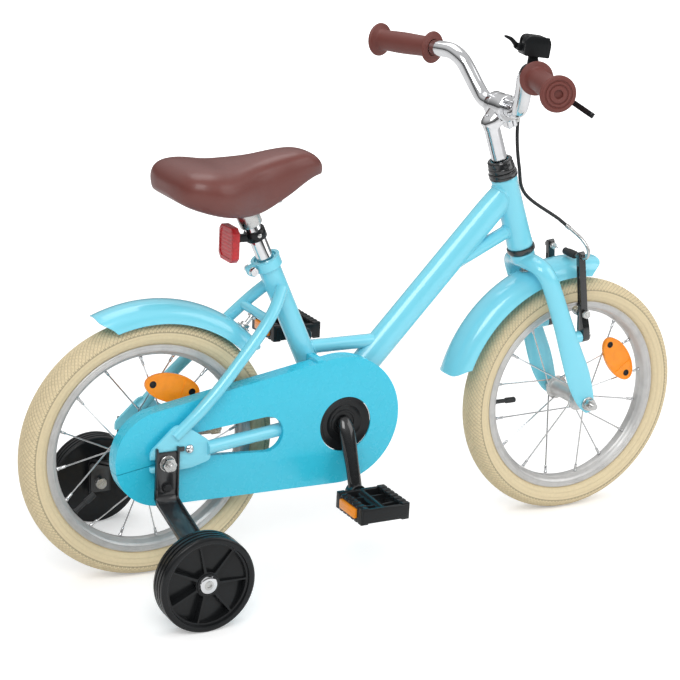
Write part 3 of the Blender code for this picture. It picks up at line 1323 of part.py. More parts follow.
def make_brake_pad(side, turning):
    """Rubber pad on its threaded stud, with a nut outside the arm."""
    label = "left" if side > 0 else "right"
    y0 = BRAKE_PIVOT_Y
    face = RIM_HALF_WIDTH + PAD_GAP
    at = brake(0.0, 0.0, BRAKE_PAD_RISE)
    wheel = FRONT_AXLE
    radius = RIM_EDGE_RADIUS - 0.0058
    middle = math.degrees(math.atan2(at.z - wheel.z, at.x - wheel.x))
    spread = 9.5
    loop = arc(FRONT_X, AXLE_Z, radius - 0.0042, middle - spread, middle + spread, 3)
    loop += arc(FRONT_X, AXLE_Z, radius + 0.0042, middle + spread, middle - spread, 3)
    thick = 0.0090
    pad = plate("brake_pad_" + label, [loop], thick, side_plane(side * (face + thick / 2)), RUBBER)
    stud = axis_matrix(brake(0.0, 0.0, BRAKE_PAD_RISE), (0, side, 0), ARM_UP)
    inner = y0 - 0.0075
    outer = y0 + 0.0060
    profile = [(0.0, face + thick - 0.002), (0.0065, face + thick - 0.002), (0.0065, inner - 0.0006)]
    profile += [(0.0030, inner - 0.0006), (0.0030, outer), (0.0062, outer), (0.0062, outer + 0.005)]
    profile += [(0.0030, outer + 0.0055), (0.0, outer + 0.0055)]
    rod = lathe(f"pad_stud_{label}", profile, stud, steps=6, closed=False)
    combine(pad, [rod])
    attach(pad, turning)
    return pad


def noodle_path():
    """Bent guide tube from the right arm's cradle up towards the head tube."""
    level = BRAKE_ARM_LENGTH - 0.004
    side = -(BRAKE_PIVOT_Y - CRADLE_OFFSET)
    points = [(0.0, side + 0.022, level), (0.0, side - 0.008, level), (0.0, side - 0.015, level + 0.003)]
    points += [(0.0, side - 0.019, level + 0.010), (-0.001, side - 0.018, level + 0.019)]
    points += [(-0.004, side - 0.010, level + 0.029), (-0.008, side + 0.001, level + 0.037)]
    points += [(-0.014, side + 0.014, level + 0.046)]
    return [brake(*point) for point in points]


def make_noodle(turning):
    """Bent guide tube with the rubber boot that closes over the bare wire."""
    path = noodle_path()
    noodle = tube("brake_noodle", path, 0.0024, STEEL, resolution=0)
    start = path[0]
    frame = axis_matrix(start - Vector((0, 0.010, 0)), (0, 1, 0), ARM_UP)
    profile = [(0.0, 0.0), (0.0052, 0.0), (0.0058, 0.008), (0.0050, 0.014), (0.0052, 0.027)]
    profile += [(0.0030, 0.027), (0.0030, 0.014), (0.0, 0.014)]
    boot = lathe("noodle_boot", profile, frame, steps=8, closed=False)
    combine(noodle, [boot])
    attach(noodle, turning)
    return noodle


def cable_route():
    """Outer cable from the lever, round the left of the stem and down to the noodle."""
    start = on_bar(-1, LEVER_BAR_Y)
    end = noodle_path()[-1]
    along = (noodle_path()[-1] - noodle_path()[-2]).normalized()
    clamp = steer(STEM_REACH, 0.0, STEM_RISE)
    points = [start + Vector((0.0235, 0.0235, -0.0040)), start + Vector((0.031, 0.040, 0.001))]
    points += [clamp + Vector((0.026, -0.048, 0.052)), clamp + Vector((0.037, -0.016, 0.050))]
    points += [clamp + Vector((0.042, 0.012, 0.028)), clamp + Vector((0.043, 0.021, -0.006))]
    points += [clamp + Vector((0.042, 0.020, -0.046)), clamp + Vector((0.044, 0.012, -0.088))]
    points += [clamp + Vector((0.052, 0.003, -0.126)), end + along * 0.014]
    return smooth_points(points, 2) + [end + along * CLEAR]


def smooth_points(points, per_span):
    """Points on a smooth curve through the given ones (Catmull-Rom)."""
    ends = [points[0] * 2 - points[1]] + points + [points[-1] * 2 - points[-2]]
    result = []
    for i in range(1, len(ends) - 2):
        p0, p1, p2, p3 = ends[i - 1:i + 3]
        for step in range(per_span):
            t = step / per_span
            value = p1 * 2 + (p2 - p0) * t
            value += (p0 * 2 - p1 * 5 + p2 * 4 - p3) * t ** 2
            value += (p1 * 3 - p0 - p2 * 3 + p3) * t ** 3
            result.append(value / 2)
    return result + [points[-1]]


def make_cable(turning):
    cable = tube("brake_cable", cable_route(), CABLE_RADIUS, RUBBER, resolution=1)
    attach(cable, turning)
    return cable


LEVER_BAR_Y = 0.118
LEVER_PIVOT_OUT = 0.026
BELL_BAR_Y = 0.1035


def lever_frame():
    """Frame of the brake lever: X along the bar outward, Y ahead of the bar, Z its pivot."""
    along = grip_axis(-1)
    ahead = Vector((0.86, 0.0, -0.46))
    ahead = (ahead - along * ahead.dot(along)).normalized()
    axis = along.cross(ahead)
    turn = Matrix((along, ahead, axis)).transposed().to_4x4()
    return Matrix.Translation(on_bar(-1, LEVER_BAR_Y)) @ turn


def make_lever_perch(turning):
    """Clamp on the bar with the lever's clevis and the cable's adjuster."""
    frame = lever_frame()
    bar = frame @ Matrix.Rotation(math.pi / 2, 4, "Y")
    perch = disc("brake_lever_perch", BAR_RADIUS + 0.0042, -0.0065, 0.0075, bar, BLACK, 10)
    body = [(-0.0065, 0.008), (0.0075, 0.008), (0.012, 0.020), (0.013, 0.033)]
    body += [(-0.004, 0.033), (-0.0095, 0.024)]
    block_piece = plate("perch_body", [body], 0.016, frame)
    nozzle = axis_matrix(frame @ Vector((-0.006, 0.0260, 0.0)), frame.to_3x3() @ Vector((-1.0, 0.12, 0.0)))
    barrel = disc("perch_barrel", 0.0048, 0.0, 0.0125, nozzle, steps=8)
    combine(perch, [block_piece, barrel])
    bore = disc("perch_bore", clear_of(BAR_RADIUS, 10), -0.03, 0.03, bar, steps=10)
    room = [(0.0005, 0.0165), (0.030, 0.0165), (0.030, 0.045), (-0.0030, 0.045), (-0.0050, 0.024)]
    clevis = plate("perch_clevis", [room], 0.0082, frame)
    cut(perch, [bore, clevis])
    pin = disc("lever_pin", 0.0026, -0.0078, 0.0078, frame @ Matrix.Translation((0.0062, LEVER_PIVOT_OUT, 0)),
               steps=8)
    combine(perch, [pin])
    attach(perch, turning)
    return perch


def make_brake_lever(turning):
    """Lever blade from its pin out past the fingers to a rounded tip."""
    frame = lever_frame()
    px, py = 0.0062, LEVER_PIVOT_OUT
    loop = [(px - 0.006, py - 0.005), (px + 0.001, py - 0.0065), (px + 0.008, py + 0.001)]
    loop += [(px + 0.022, py + 0.012), (px + 0.045, py + 0.023), (px + 0.070, py + 0.028)]
    loop += [(px + 0.086, py + 0.030), (px + 0.090, py + 0.036), (px + 0.085, py + 0.040)]
    loop += [(px + 0.066, py + 0.038), (px + 0.040, py + 0.033), (px + 0.016, py + 0.022)]
    loop += [(px + 0.002, py + 0.0075), (px - 0.006, py + 0.005)]
    hole = list(reversed(arc(px, py, 0.0026 + 2 * RUNNING, 0, 315, 8)))
    lever = plate("brake_lever", [loop, hole], 0.0070, frame, BLACK)
    attach(lever, turning)
    return lever


def bell_frame():
    """Frame of the bell: Z up from the bar, X forward."""
    along = grip_axis(-1)
    return axis_matrix(on_bar(-1, BELL_BAR_Y), Vector((0.10, 0.0, 1.0)), Vector((1, 0, 0)) - along * along.x)


def make_bell(turning):
    """Bell on a clamp band, its drum standing above the bar."""
    frame = bell_frame()
    along = grip_axis(-1)
    bar = axis_matrix(on_bar(-1, BELL_BAR_Y), along)
    bell = disc("bell_body", BAR_RADIUS + 0.0030, -0.0045, 0.0045, bar, BLACK, 10)
    post = block("bell_post", (0.012, 0.0088, 0.016), frame @ Matrix.Translation((0, 0, 0.018)))
    drum = lathe("bell_drum", [(0.0, 0.024), (0.0170, 0.024), (0.0175, 0.045), (0.0130, 0.0505),
                               (0.0, 0.0515)], frame, steps=10, closed=False)
    ear = block("bell_ear", (0.010, 0.006, 0.010), frame @ Matrix.Translation((-0.0195, 0.004, 0.033)))
    combine(bell, [post, drum, ear])
    bore = disc("bell_bore", clear_of(BAR_RADIUS, 10), -0.03, 0.03, bar, steps=10)
    cut(bell, [bore])
    attach(bell, turning)
    return bell


def bell_pivot():
    return bell_frame() @ Vector((-0.0215, 0.0095, 0.033))


def make_bell_lever(turning):
    """Thumb lever that strikes the bell."""
    frame = bell_frame()
    pin = frame @ Matrix.Translation((-0.0215, 0.0, 0.033)) @ Matrix.Rotation(math.pi / 2, 4, "X")
    lever = disc("bell_lever", 0.0040, -0.0125, -0.0073, pin, BLACK, 8)
    loop = [(-0.0225, 0.0300), (-0.0185, 0.0305), (-0.0180, 0.0350), (-0.030, 0.0440), (-0.039, 0.0455)]
    loop += [(-0.040, 0.0425), (-0.031, 0.0390)]
    side = frame @ Matrix.Translation((0, 0.0099, 0)) @ SIDE_VIEW
    thumb = plate("bell_thumb", [loop], 0.0052, side)
    combine(lever, [thumb])
    attach(lever, turning)
    return lever


SADDLE_STATIONS = (
    (0.000, 0.020, 0.5245, 0.5145),
    (0.006, 0.055, 0.5390, 0.5060),
    (0.020, 0.069, 0.5475, 0.4990),
    (0.045, 0.076, 0.5490, 0.4910),
    (0.072, 0.070, 0.5460, 0.4850),
    (0.098, 0.056, 0.5450, 0.4820),
    (0.125, 0.042, 0.5485, 0.4825),
    (0.148, 0.036, 0.5540, 0.4890),
    (0.170, 0.033, 0.5595, 0.5000),
    (0.190, 0.029, 0.5595, 0.5120),
    (0.208, 0.022, 0.5525, 0.5210),
    (0.219, 0.013, 0.5420, 0.5255),
    (0.223, 0.006, 0.5345, 0.5275),
)
"""Distance from the saddle's back, half width, top and lower edge."""
SADDLE_BACK = 0.011
SADDLE_WALL = 0.0045
SADDLE_BASE_Z = 0.4990
SADDLE_BASE_HEIGHT = 0.010
SADDLE_SECTION = ((0.0, 0.0), (0.42, 0.015), (0.74, 0.085), (0.94, 0.26), (1.0, 0.52),
                  (0.93, 0.80), (0.84, 1.0))
"""Half section of the cover: part of the half width, and part of the way down."""


def saddle_rings(name, rings, spec):
    """A closed body skinned over rings of points that run from the back to the nose."""
    mesh = bpy.data.meshes.new(name)
    build = bmesh.new()
    loops = [[build.verts.new(point) for point in ring_points] for ring_points in rings]
    count = len(loops[0])
    for here, there in zip(loops, loops[1:]):
        for i in range(count):
            j = (i + 1) % count
            build.faces.new((here[i], here[j], there[j], there[i]))
    build.faces.new(list(reversed(loops[0])))
    build.faces.new(loops[-1])
    bmesh.ops.recalc_face_normals(build, faces=build.faces)
    build.to_mesh(mesh)
    build.free()
    return place(name, mesh, spec)


def saddle_cover():
    rings = []
    for x, half, top, low in SADDLE_STATIONS:
        shape = [(half * across, top - (top - low) * down) for across, down in SADDLE_SECTION]
        shape += [(-y, z) for y, z in reversed(shape[1:])]
        rings.append([(REAR_X + SADDLE_BACK + x, y, z) for y, z in shape])
    return saddle_rings("saddle", rings, BROWN)


def saddle_tray(name, grow, low, high, spec=None):
    """Flat tray that follows the cover's lower edge, one wall in from it."""
    rings = []
    last = len(SADDLE_STATIONS) - 4
    for i in range(2, last + 1, 2):
        x, half = SADDLE_STATIONS[i][:2]
        half = half * SADDLE_SECTION[-1][0] - SADDLE_WALL + grow
        x += -grow if i == 2 else grow if i >= last - 1 else 0.0
        shape = ((half, low), (half, high), (-half, high), (-half, low))
        rings.append([(REAR_X + SADDLE_BACK + x, y, z) for y, z in shape])
    return saddle_rings(name, rings, spec)


POST_TOP_RISE = 0.3243
REFLECTOR_RISE = 0.286


def make_saddle(sliding):
    """Padded cover over a moulded base, with the rails' clamp on the seat post."""
    saddle = saddle_cover()
    ceiling = SADDLE_BASE_Z + SADDLE_BASE_HEIGHT
    cut(saddle, [saddle_tray("saddle_room", CLEAR, SADDLE_BASE_Z - 0.04, ceiling + CLEAR)])
    base = saddle_tray("saddle_base", 0.0, SADDLE_BASE_Z, ceiling, BLACK)
    top = seat_point(POST_TOP_RISE)
    head = axis_matrix(top, SEAT_UP)
    bore = clear_of(SEAT_POST_RADIUS, 10)
    outer = bore + 0.0032
    clamp_profile = [(0.0, 0.0095), (outer - 0.003, 0.0095), (outer, 0.004), (outer, -0.024), (bore, -0.024)]
    clamp_profile += [(bore, CLEAR), (0.0, CLEAR)]
    clamp = lathe("saddle_clamp", clamp_profile, head, STEEL, 10, closed=False)
    level = top.z + 0.0062
    axle = disc("clamp_bolt", 0.0042, -0.027, 0.027, axis_matrix((top.x, 0, level), (0, 1, 0)), steps=8)
    pieces = [axle]
    wire = 0.0033
    under = SADDLE_BASE_Z - CLEAR - wire
    for side in (1, -1):
        path = [(-0.056, 0.0215, under), (-0.048, 0.0215, under), (-0.032, 0.0205, level)]
        path += [(0.024, 0.0180, level), (0.036, 0.0160, under), (0.044, 0.0155, under)]
        rail = [Vector((top.x + x, side * y, z)) for x, y, z in path]
        pieces.append(tube(f"rail_{side}", rail, wire, resolution=0))
    combine(clamp, pieces)
    post = disc("seat_post", SEAT_POST_RADIUS, 0.0, POST_TOP_RISE - 0.125,
                axis_matrix(seat_point(0.125), SEAT_UP), CHROME, 12)
    for piece in (saddle, base, clamp, post):
        attach(piece, sliding)
    return saddle


def make_rear_reflector(sliding):
    """Red reflector on an arm clamped to the seat post."""
    at = seat_point(REFLECTOR_RISE)
    frame = axis_matrix(at, SEAT_UP)
    inner = clear_of(SEAT_POST_RADIUS, 12)
    band = ring("reflector_bracket", inner + 0.0026, inner, -0.007, 0.007, frame, BLACK, 12)
    face = at + Vector((-0.0330, 0.0, -0.0100))
    arm_at = Matrix.Translation(at + Vector((-0.0190, 0, -0.0045)))
    arm = block("reflector_arm", (0.0225, 0.009, 0.010), arm_at)
    back = block("reflector_back", (0.0030, 0.030, 0.034), Matrix.Translation(face + Vector((0.0032, 0, 0))))
    combine(band, [arm, back])
    cut(band, [disc("band_hollow", inner, -0.03, 0.03, frame, steps=12)])
    lens = block("rear_reflector", (0.0100, 0.044, 0.046),
                 Matrix.Translation(face + Vector((-0.0035 - CLEAR, 0, 0))), RED, bevel=0.002)
    attach(band, sliding)
    attach(lens, sliding)
    return lens


def make_bike():
    """All pieces, each on the pivot of the body that it moves with."""
    steering = pivot("steering_axis", steer(0.0, 0.0, 0.0))
    front_wheel = pivot("front_wheel_axis", FRONT_AXLE, steering)
    rear_wheel = pivot("rear_wheel_axis", (REAR_X, 0.0, AXLE_Z))
    driver = pivot("driver_axis", (REAR_X, 0.0, AXLE_Z))
    crank = pivot("crank_axis", (BRACKET_X, 0.0, BRACKET_Z))
    post = pivot("seat_post_axis", seat_point(SEAT_TOP))
    make_frame()
    make_seat_collar()
    nut = make_headset()
    attach(nut, steering)
    make_fork(steering)
    make_stem(steering)
    make_handlebar(steering)
    make_grip(1, steering)
    make_grip(-1, steering)
    make_front_axle(steering)
    make_rear_axle()
    for name, x, hub in (("front", FRONT_X, front_wheel), ("rear", REAR_X, rear_wheel)):
        make_tyre(name + "_tyre", x, hub)
        make_rim(name + "_rim", x, hub)
    make_hub("front_hub", FRONT_X, FRONT_FLANGE_Y, FRONT_FLANGE_RADIUS, FRONT_SHELL_RADIUS,
             FRONT_SPOKE_PHASE, front_wheel)
    make_hub("rear_hub", REAR_X, REAR_FLANGE_Y, REAR_FLANGE_RADIUS, REAR_SHELL_RADIUS,
             REAR_SPOKE_PHASE, rear_wheel)
    make_valve("front_valve", FRONT_X, math.radians(180.0), front_wheel)
    make_valve("rear_valve", REAR_X, math.radians(218.0), rear_wheel)
    make_wheel_reflector("front_reflector", FRONT_X, math.radians(36.0), FRONT_FLANGE_Y,
                         FRONT_FLANGE_RADIUS, FRONT_SPOKE_PHASE, front_wheel)
    make_wheel_reflector("rear_wheel_reflector", REAR_X, math.radians(74.0), REAR_FLANGE_Y,
                         REAR_FLANGE_RADIUS, REAR_SPOKE_PHASE, rear_wheel)
    make_chain()
    make_rear_sprocket(driver)
    make_chainring(crank)
    make_crank(crank)
    make_crank_disc(crank)
    make_bracket_cups()
    reach = Vector((math.cos(CRANK_ANGLE), 0.0, math.sin(CRANK_ANGLE))) * CRANK_LENGTH
    centre = Vector((BRACKET_X, 0.0, BRACKET_Z))
    for side in (1, -1):
        label = "left" if side > 0 else "right"
        at = centre + reach * -side + Vector((0.0, side * PEDAL_CENTRE_Y, 0.0))
        make_pedal(side, pivot(f"pedal_axis_{label}", at, crank))
        make_stabiliser_bracket(side)
        turning = pivot(f"stabiliser_axis_{label}", (REAR_X, side * STABILISER_Y, STABILISER_RADIUS))
        make_stabiliser_wheel(side, turning)
        swing = pivot(f"brake_axis_{label}", brake(0.0, side * BRAKE_PIVOT_Y, 0.0), steering)
        make_brake_arm(side, swing)
        make_brake_pad(side, swing)
        if side < 0:
            make_noodle(swing)
    make_chain_guard()
    make_rear_fender()
    make_front_fender(steering)
    make_coaster_arm()
    make_cable(steering)
    make_lever_perch(steering)
    lever_pin = lever_frame() @ Vector((0.0062, LEVER_PIVOT_OUT, 0.0))
    make_brake_lever(pivot("brake_lever_axis", lever_pin, steering))
    make_bell(steering)
    make_bell_lever(pivot("bell_lever_axis", bell_pivot(), steering))
    make_saddle(post)
    make_rear_reflector(post)


def main():
    for old in list(bpy.data.objects):
        bpy.data.objects.remove(old)
    make_bike()


main()
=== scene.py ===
"""Kids bike with stabilisers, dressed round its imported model. Lengths are in metres, except inside mm()."""

import json
from math import asin, atan2, copysign, cos, degrees, dist, hypot, pi, radians, sin, sqrt, tau

import bmesh
import bpy
from bpy.props import FloatProperty, FloatVectorProperty, IntProperty, PointerProperty
from mathutils import Matrix, Vector

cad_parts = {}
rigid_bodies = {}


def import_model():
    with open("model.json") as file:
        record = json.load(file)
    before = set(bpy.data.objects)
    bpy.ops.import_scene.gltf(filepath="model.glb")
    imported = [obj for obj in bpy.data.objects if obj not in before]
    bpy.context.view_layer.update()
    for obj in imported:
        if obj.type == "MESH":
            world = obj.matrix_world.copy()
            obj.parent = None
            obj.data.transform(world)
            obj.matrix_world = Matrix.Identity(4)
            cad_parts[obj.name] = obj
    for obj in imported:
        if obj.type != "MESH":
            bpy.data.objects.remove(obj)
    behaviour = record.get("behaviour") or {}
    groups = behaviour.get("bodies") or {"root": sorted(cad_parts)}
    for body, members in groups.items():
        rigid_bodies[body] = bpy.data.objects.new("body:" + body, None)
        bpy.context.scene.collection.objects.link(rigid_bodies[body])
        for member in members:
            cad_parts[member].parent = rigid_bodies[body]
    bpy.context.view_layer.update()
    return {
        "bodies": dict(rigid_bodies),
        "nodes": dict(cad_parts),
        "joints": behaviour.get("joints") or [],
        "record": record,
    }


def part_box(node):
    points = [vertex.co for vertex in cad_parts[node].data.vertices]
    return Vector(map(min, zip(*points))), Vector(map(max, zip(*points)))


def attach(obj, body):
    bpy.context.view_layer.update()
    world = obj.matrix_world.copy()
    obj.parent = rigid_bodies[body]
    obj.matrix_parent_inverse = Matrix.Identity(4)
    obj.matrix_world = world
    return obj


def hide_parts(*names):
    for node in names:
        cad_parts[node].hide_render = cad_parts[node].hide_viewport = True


bl_info = {
    "name": "Kids Bike",
    "version": (1, 0, 0),
    "blender": (4, 5, 0),
    "location": "View3D > Sidebar > Kids Bike",
    "description": "Models a retro kids bike with stabilisers, piece by piece",
    "category": "Add Mesh",
}

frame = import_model()

WHEELBASE = 0.66
TYRE_RADIUS = 0.174
AXLE_Z = TYRE_RADIUS
REAR_X = -WHEELBASE / 2
FRONT_X = WHEELBASE / 2
RIM_EDGE = 0.142
RIM_INNER = RIM_EDGE - 0.0155
SPOKES = 16
SPOKE_RADIUS = 0.001
LACING = radians(45.0)
FRONT_PHASE = radians(11.25)
REAR_PHASE = radians(51.5)
AXLE_RADIUS = 0.0047
CHAIN_PITCH = 0.0127
CHAIN_LINKS = 66
RING_TEETH = 32
COG_TEETH = 16
CHAIN_Y = -0.0415
CHAIN_STAY = hypot(-0.065769 - REAR_X, 0.19 - AXLE_Z)
BRACKET = Vector((-0.065769, 0.0, 0.19))
CHAIN_TILT = atan2(BRACKET.z - AXLE_Z, BRACKET.x - REAR_X)
CRANK_LENGTH = 0.089
CRANK_ANGLE = radians(-86.0)
PEDAL_Y = 0.1255
SEAT_ANGLE = radians(65.0)
SEAT_TOP = 0.2475
HEAD_ANGLE = radians(70.0)
HEAD_LENGTH = 0.107
HEAD_RADIUS = 0.018
FORK_LENGTH = 0.2509
FORK_RAKE = 0.0184
STEM_REACH = 0.0227
STEM_RISE = 0.2034
BAR_RADIUS = 0.0111
CROWN_S = -0.0205
PIVOT_Y = 0.043
PAD_RISE = 0.034
DROPOUT_Y = 0.0605
GUARD_Y = -0.0505
GUARD_DEPTH = 0.0215
STABILISER_R = 0.063
STABILISER_Y = 0.19
GAP = 0.0003
SIDES = ((1, "left"), (-1, "right"))
FINE = 0.000002

X, Y, Z = Vector((1, 0, 0)), Vector((0, 1, 0)), Vector((0, 0, 1))
HEAD_UP = Vector((-cos(HEAD_ANGLE), 0.0, sin(HEAD_ANGLE)))
HEAD_AHEAD = Vector((sin(HEAD_ANGLE), 0.0, cos(HEAD_ANGLE)))
FRONT_AXLE = Vector((FRONT_X, 0.0, AXLE_Z))
REAR_AXLE = Vector((REAR_X, 0.0, AXLE_Z))
HEAD_BASE = FRONT_AXLE + HEAD_UP * FORK_LENGTH - HEAD_AHEAD * FORK_RAKE
SEAT_UP = Vector((-cos(SEAT_ANGLE), 0.0, sin(SEAT_ANGLE)))
LEAN = radians(13.5)
ARM_UP = HEAD_UP * cos(LEAN) + HEAD_AHEAD * sin(LEAN)
ARM_OUT = HEAD_AHEAD * cos(LEAN) - HEAD_UP * sin(LEAN)


def steer(ahead, y, up):
    """A point by the steering axis: ahead of it, to its left, and up from the head tube's foot."""
    return HEAD_BASE + HEAD_AHEAD * ahead + Y * y + HEAD_UP * up


BRAKE_BASE = steer(0.0416, 0.0, -0.152)
CLAMP = steer(STEM_REACH, 0.0, STEM_RISE)


def brake(out, y, rise):
    return BRAKE_BASE + ARM_OUT * out + Y * y + ARM_UP * rise


def rear(x, z, y=0.0):
    return Vector((REAR_X + x, y, z))


def seat_point(rise, y=0.0):
    return BRACKET + SEAT_UP * rise + Y * y


def basis(origin, x, y, z):
    """A frame at origin with these three axes."""
    return Matrix.Translation(origin) @ Matrix((x, y, z)).transposed().to_4x4()


def towards(origin, axis, side=X):
    """A frame at origin: Z runs along axis and X stays nearest to side."""
    z = Vector(axis).normalized()
    x = Vector(side)
    x = (x - z * x.dot(z)).normalized()
    return basis(origin, x, z.cross(x), z)


HEAD_FRAME = towards(HEAD_BASE, HEAD_UP)


def outward(turn):
    """The direction at this turn about a wheel's axle."""
    return Vector((cos(turn), 0.0, sin(turn)))


def shift(x=0.0, y=0.0, z=0.0):
    return Matrix.Translation((x, y, z))


def rotated(angle, axis):
    return Matrix.Rotation(angle, 4, axis)


def side_on(y):
    """Lays an outline drawn as (x, z) into the plane at this y."""
    return shift(y=y) @ Matrix(((1, 0, 0, 0), (0, 0, -1, 0), (0, 1, 0, 0), (0, 0, 0, 1)))


def mm(*points):
    """Points in metres from points given in millimetres."""
    return [tuple(round(value / 1000, 7) for value in point) for point in points]


def arc(cx, cy, radius, start, end, count):
    turns = [radians(start + (end - start) * i / (count - 1)) for i in range(count)]
    return [(cx + radius * cos(t), cy + radius * sin(t)) for t in turns]


def circle(radius, count, cx=0.0, cy=0.0):
    steps = [tau * i / count for i in range(count)]
    return [(cx + radius * cos(t), cy + radius * sin(t)) for t in steps]


def eased(points, radius, cyclic=False, count=3):
    """The same outline with its corners rounded off."""
    made = []
    last = len(points) - 1
    for i, here in enumerate(points):
        if not cyclic and i in (0, last):
            made.append(tuple(here))
            continue
        corner, before = Vector(here), Vector(points[i - 1])
        after = Vector(points[(i + 1) % len(points)])
        start = corner + (before - corner).normalized() * min(radius, (before - corner).length * 0.45)
        end = corner + (after - corner).normalized() * min(radius, (after - corner).length * 0.45)
        for k in range(count + 1):
            t = k / count
            made.append(tuple(start * (1 - t) ** 2 + corner * (2 * t * (1 - t)) + end * t ** 2))
    return made


def rounded(outline, radius, count=3):
    """A closed outline with its corners rounded off."""
    return eased(outline, radius, True, count)


def flowing(rows, per_span):
    """Rows of numbers with smooth rows added between them."""
    rows = [Vector(row) for row in rows]
    ends = [rows[0] * 2 - rows[1]] + rows + [rows[-1] * 2 - rows[-2]]
    made = []
    for i in range(1, len(ends) - 2):
        a, b, c, d = ends[i - 1:i + 3]
        for step in range(per_span):
            t = step / per_span
            value = b * 2 + (c - a) * t + (a * 2 - b * 5 + c * 4 - d) * t ** 2
            made.append((value + (b * 3 - a - c * 3 + d) * t ** 3) / 2)
    return made + [rows[-1]]


# Modelling steps shared by the pieces


def mode(name):
    bpy.ops.object.mode_set(mode=name)


def only(piece):
    """Make this piece the one that is selected and active, in object mode."""
    if bpy.context.object and bpy.context.object.mode != "OBJECT":
        mode("OBJECT")
    bpy.ops.object.select_all(action="DESELECT")
    if piece:
        piece.select_set(True)
        bpy.context.view_layer.objects.active = piece


def edit(piece):
    only(piece)
    mode("EDIT")
    bpy.ops.mesh.select_all(action="SELECT")


def closed_up(piece, merge=0.00001):
    """Merge doubles and turn the faces outwards."""
    edit(piece)
    bpy.ops.mesh.remove_doubles(threshold=merge)
    bpy.ops.mesh.normals_make_consistent(inside=False)
    mode("OBJECT")
    return piece


def placed(piece, name, place):
    """Name the piece and put its place into its mesh."""
    piece.name = name
    piece.data.name = name
    only(piece)
    piece.matrix_world = place @ piece.matrix_world
    bpy.ops.object.transform_apply(location=True, rotation=True, scale=True)
    return piece


def spun(profile, steps, angle):
    """The surface that a profile of (radius, height) sweeps round the Z axis."""
    only(None)
    bpy.ops.mesh.primitive_plane_add(size=0.001)
    mode("EDIT")
    bpy.ops.mesh.merge(type="CENTER")
    bpy.ops.transform.translate(value=(profile[0][0], 0.0, profile[0][1]))
    for here, there in zip(profile, profile[1:]):
        move = (there[0] - here[0], 0.0, there[1] - here[1])
        bpy.ops.mesh.extrude_vertices_move(TRANSFORM_OT_translate={"value": move})
    bpy.ops.mesh.select_all(action="SELECT")
    bpy.ops.mesh.spin(steps=steps, angle=angle, center=(0, 0, 0), axis=(0, 0, 1))
    mode("OBJECT")
    return bpy.context.object


def turned(name, profile, place, steps=48):
    """Spin a profile of (radius, height) round the frame's Z axis."""
    return placed(closed_up(spun(profile, steps, tau)), name, place)


def hoop(name, profile, place, steps=48):
    """Spin a closed profile of (radius, height) round the frame's Z axis."""
    return turned(name, profile + [profile[0]], place, steps)


def fresh_curve(**settings):
    """An empty curve with these settings."""
    only(None)
    bpy.ops.curve.primitive_bezier_curve_add()
    curve = bpy.context.object.data
    curve.splines.clear()
    for key, value in settings.items():
        setattr(curve, key, value)
    return curve


def made_of_curve(name, place):
    bpy.ops.object.convert(target="MESH")
    return placed(closed_up(bpy.context.object), name, place)


def drum(name, place, radius, low, high, chamfer, steps=48):
    """A round bar along the frame's Z axis with chamfered ends."""
    return turned(name, [(0.0, low), (radius - chamfer, low), (radius, low + chamfer),
        (radius, high - chamfer), (radius - chamfer, high), (0.0, high)], place, steps=steps)


def rod(name, place, radius, low, high, steps=48):
    """A plain round bar along the frame's Z axis."""
    return turned(name, [(0.0, low), (radius, low), (radius, high), (0.0, high)], place, steps=steps)


def swept(name, points, radius, widths=None, sides=5, smooth=6):
    """A round bar that follows a smooth curve through the points."""
    curve = fresh_curve(dimensions="3D", bevel_depth=radius, bevel_resolution=sides, resolution_u=smooth,
        use_fill_caps=True)
    spline = curve.splines.new("BEZIER")
    spline.bezier_points.add(len(points) - 1)
    for i, (knot, point) in enumerate(zip(spline.bezier_points, points)):
        knot.co = point
        knot.handle_left_type = knot.handle_right_type = "AUTO"
        knot.radius = widths[i] if widths else 1.0
    return made_of_curve(name, Matrix())


def straight(name, points, radius, widths=None, sides=5):
    """A round bar through the points with straight stretches and sharp bends."""
    curve = fresh_curve(dimensions="3D", bevel_depth=radius, bevel_resolution=sides, use_fill_caps=True)
    spline = curve.splines.new("POLY")
    spline.points.add(len(points) - 1)
    for i, (knot, point) in enumerate(zip(spline.points, points)):
        knot.co = (*point, 1.0)
        knot.radius = widths[i] if widths else 1.0
    return made_of_curve(name, Matrix())


def plate(name, loops, thickness, place, soft=0.0):
    """A flat piece cut to closed outlines, with its edges softened."""
    curve = fresh_curve(dimensions="2D", fill_mode="BOTH", extrude=thickness / 2)
    for loop in loops:
        spline = curve.splines.new("POLY")
        spline.points.add(len(loop) - 1)
        for point, (x, y) in zip(spline.points, loop):
            point.co = (x, y, 0.0, 1.0)
        spline.use_cyclic_u = True
    piece = made_of_curve(name, place)
    return softened(piece, soft) if soft else piece


def boxed(name, size, place, soft=0.0006, segments=2):
    """A block with rounded edges, centred on the frame."""
    only(None)
    bpy.ops.mesh.primitive_cube_add(size=1.0)
    piece = bpy.context.object
    piece.scale = size
    bpy.ops.object.transform_apply(location=False, rotation=False, scale=True)
    mode("EDIT")
    bpy.ops.mesh.bevel(offset=soft, segments=segments, affect="EDGES")
    mode("OBJECT")
    return placed(piece, name, place)


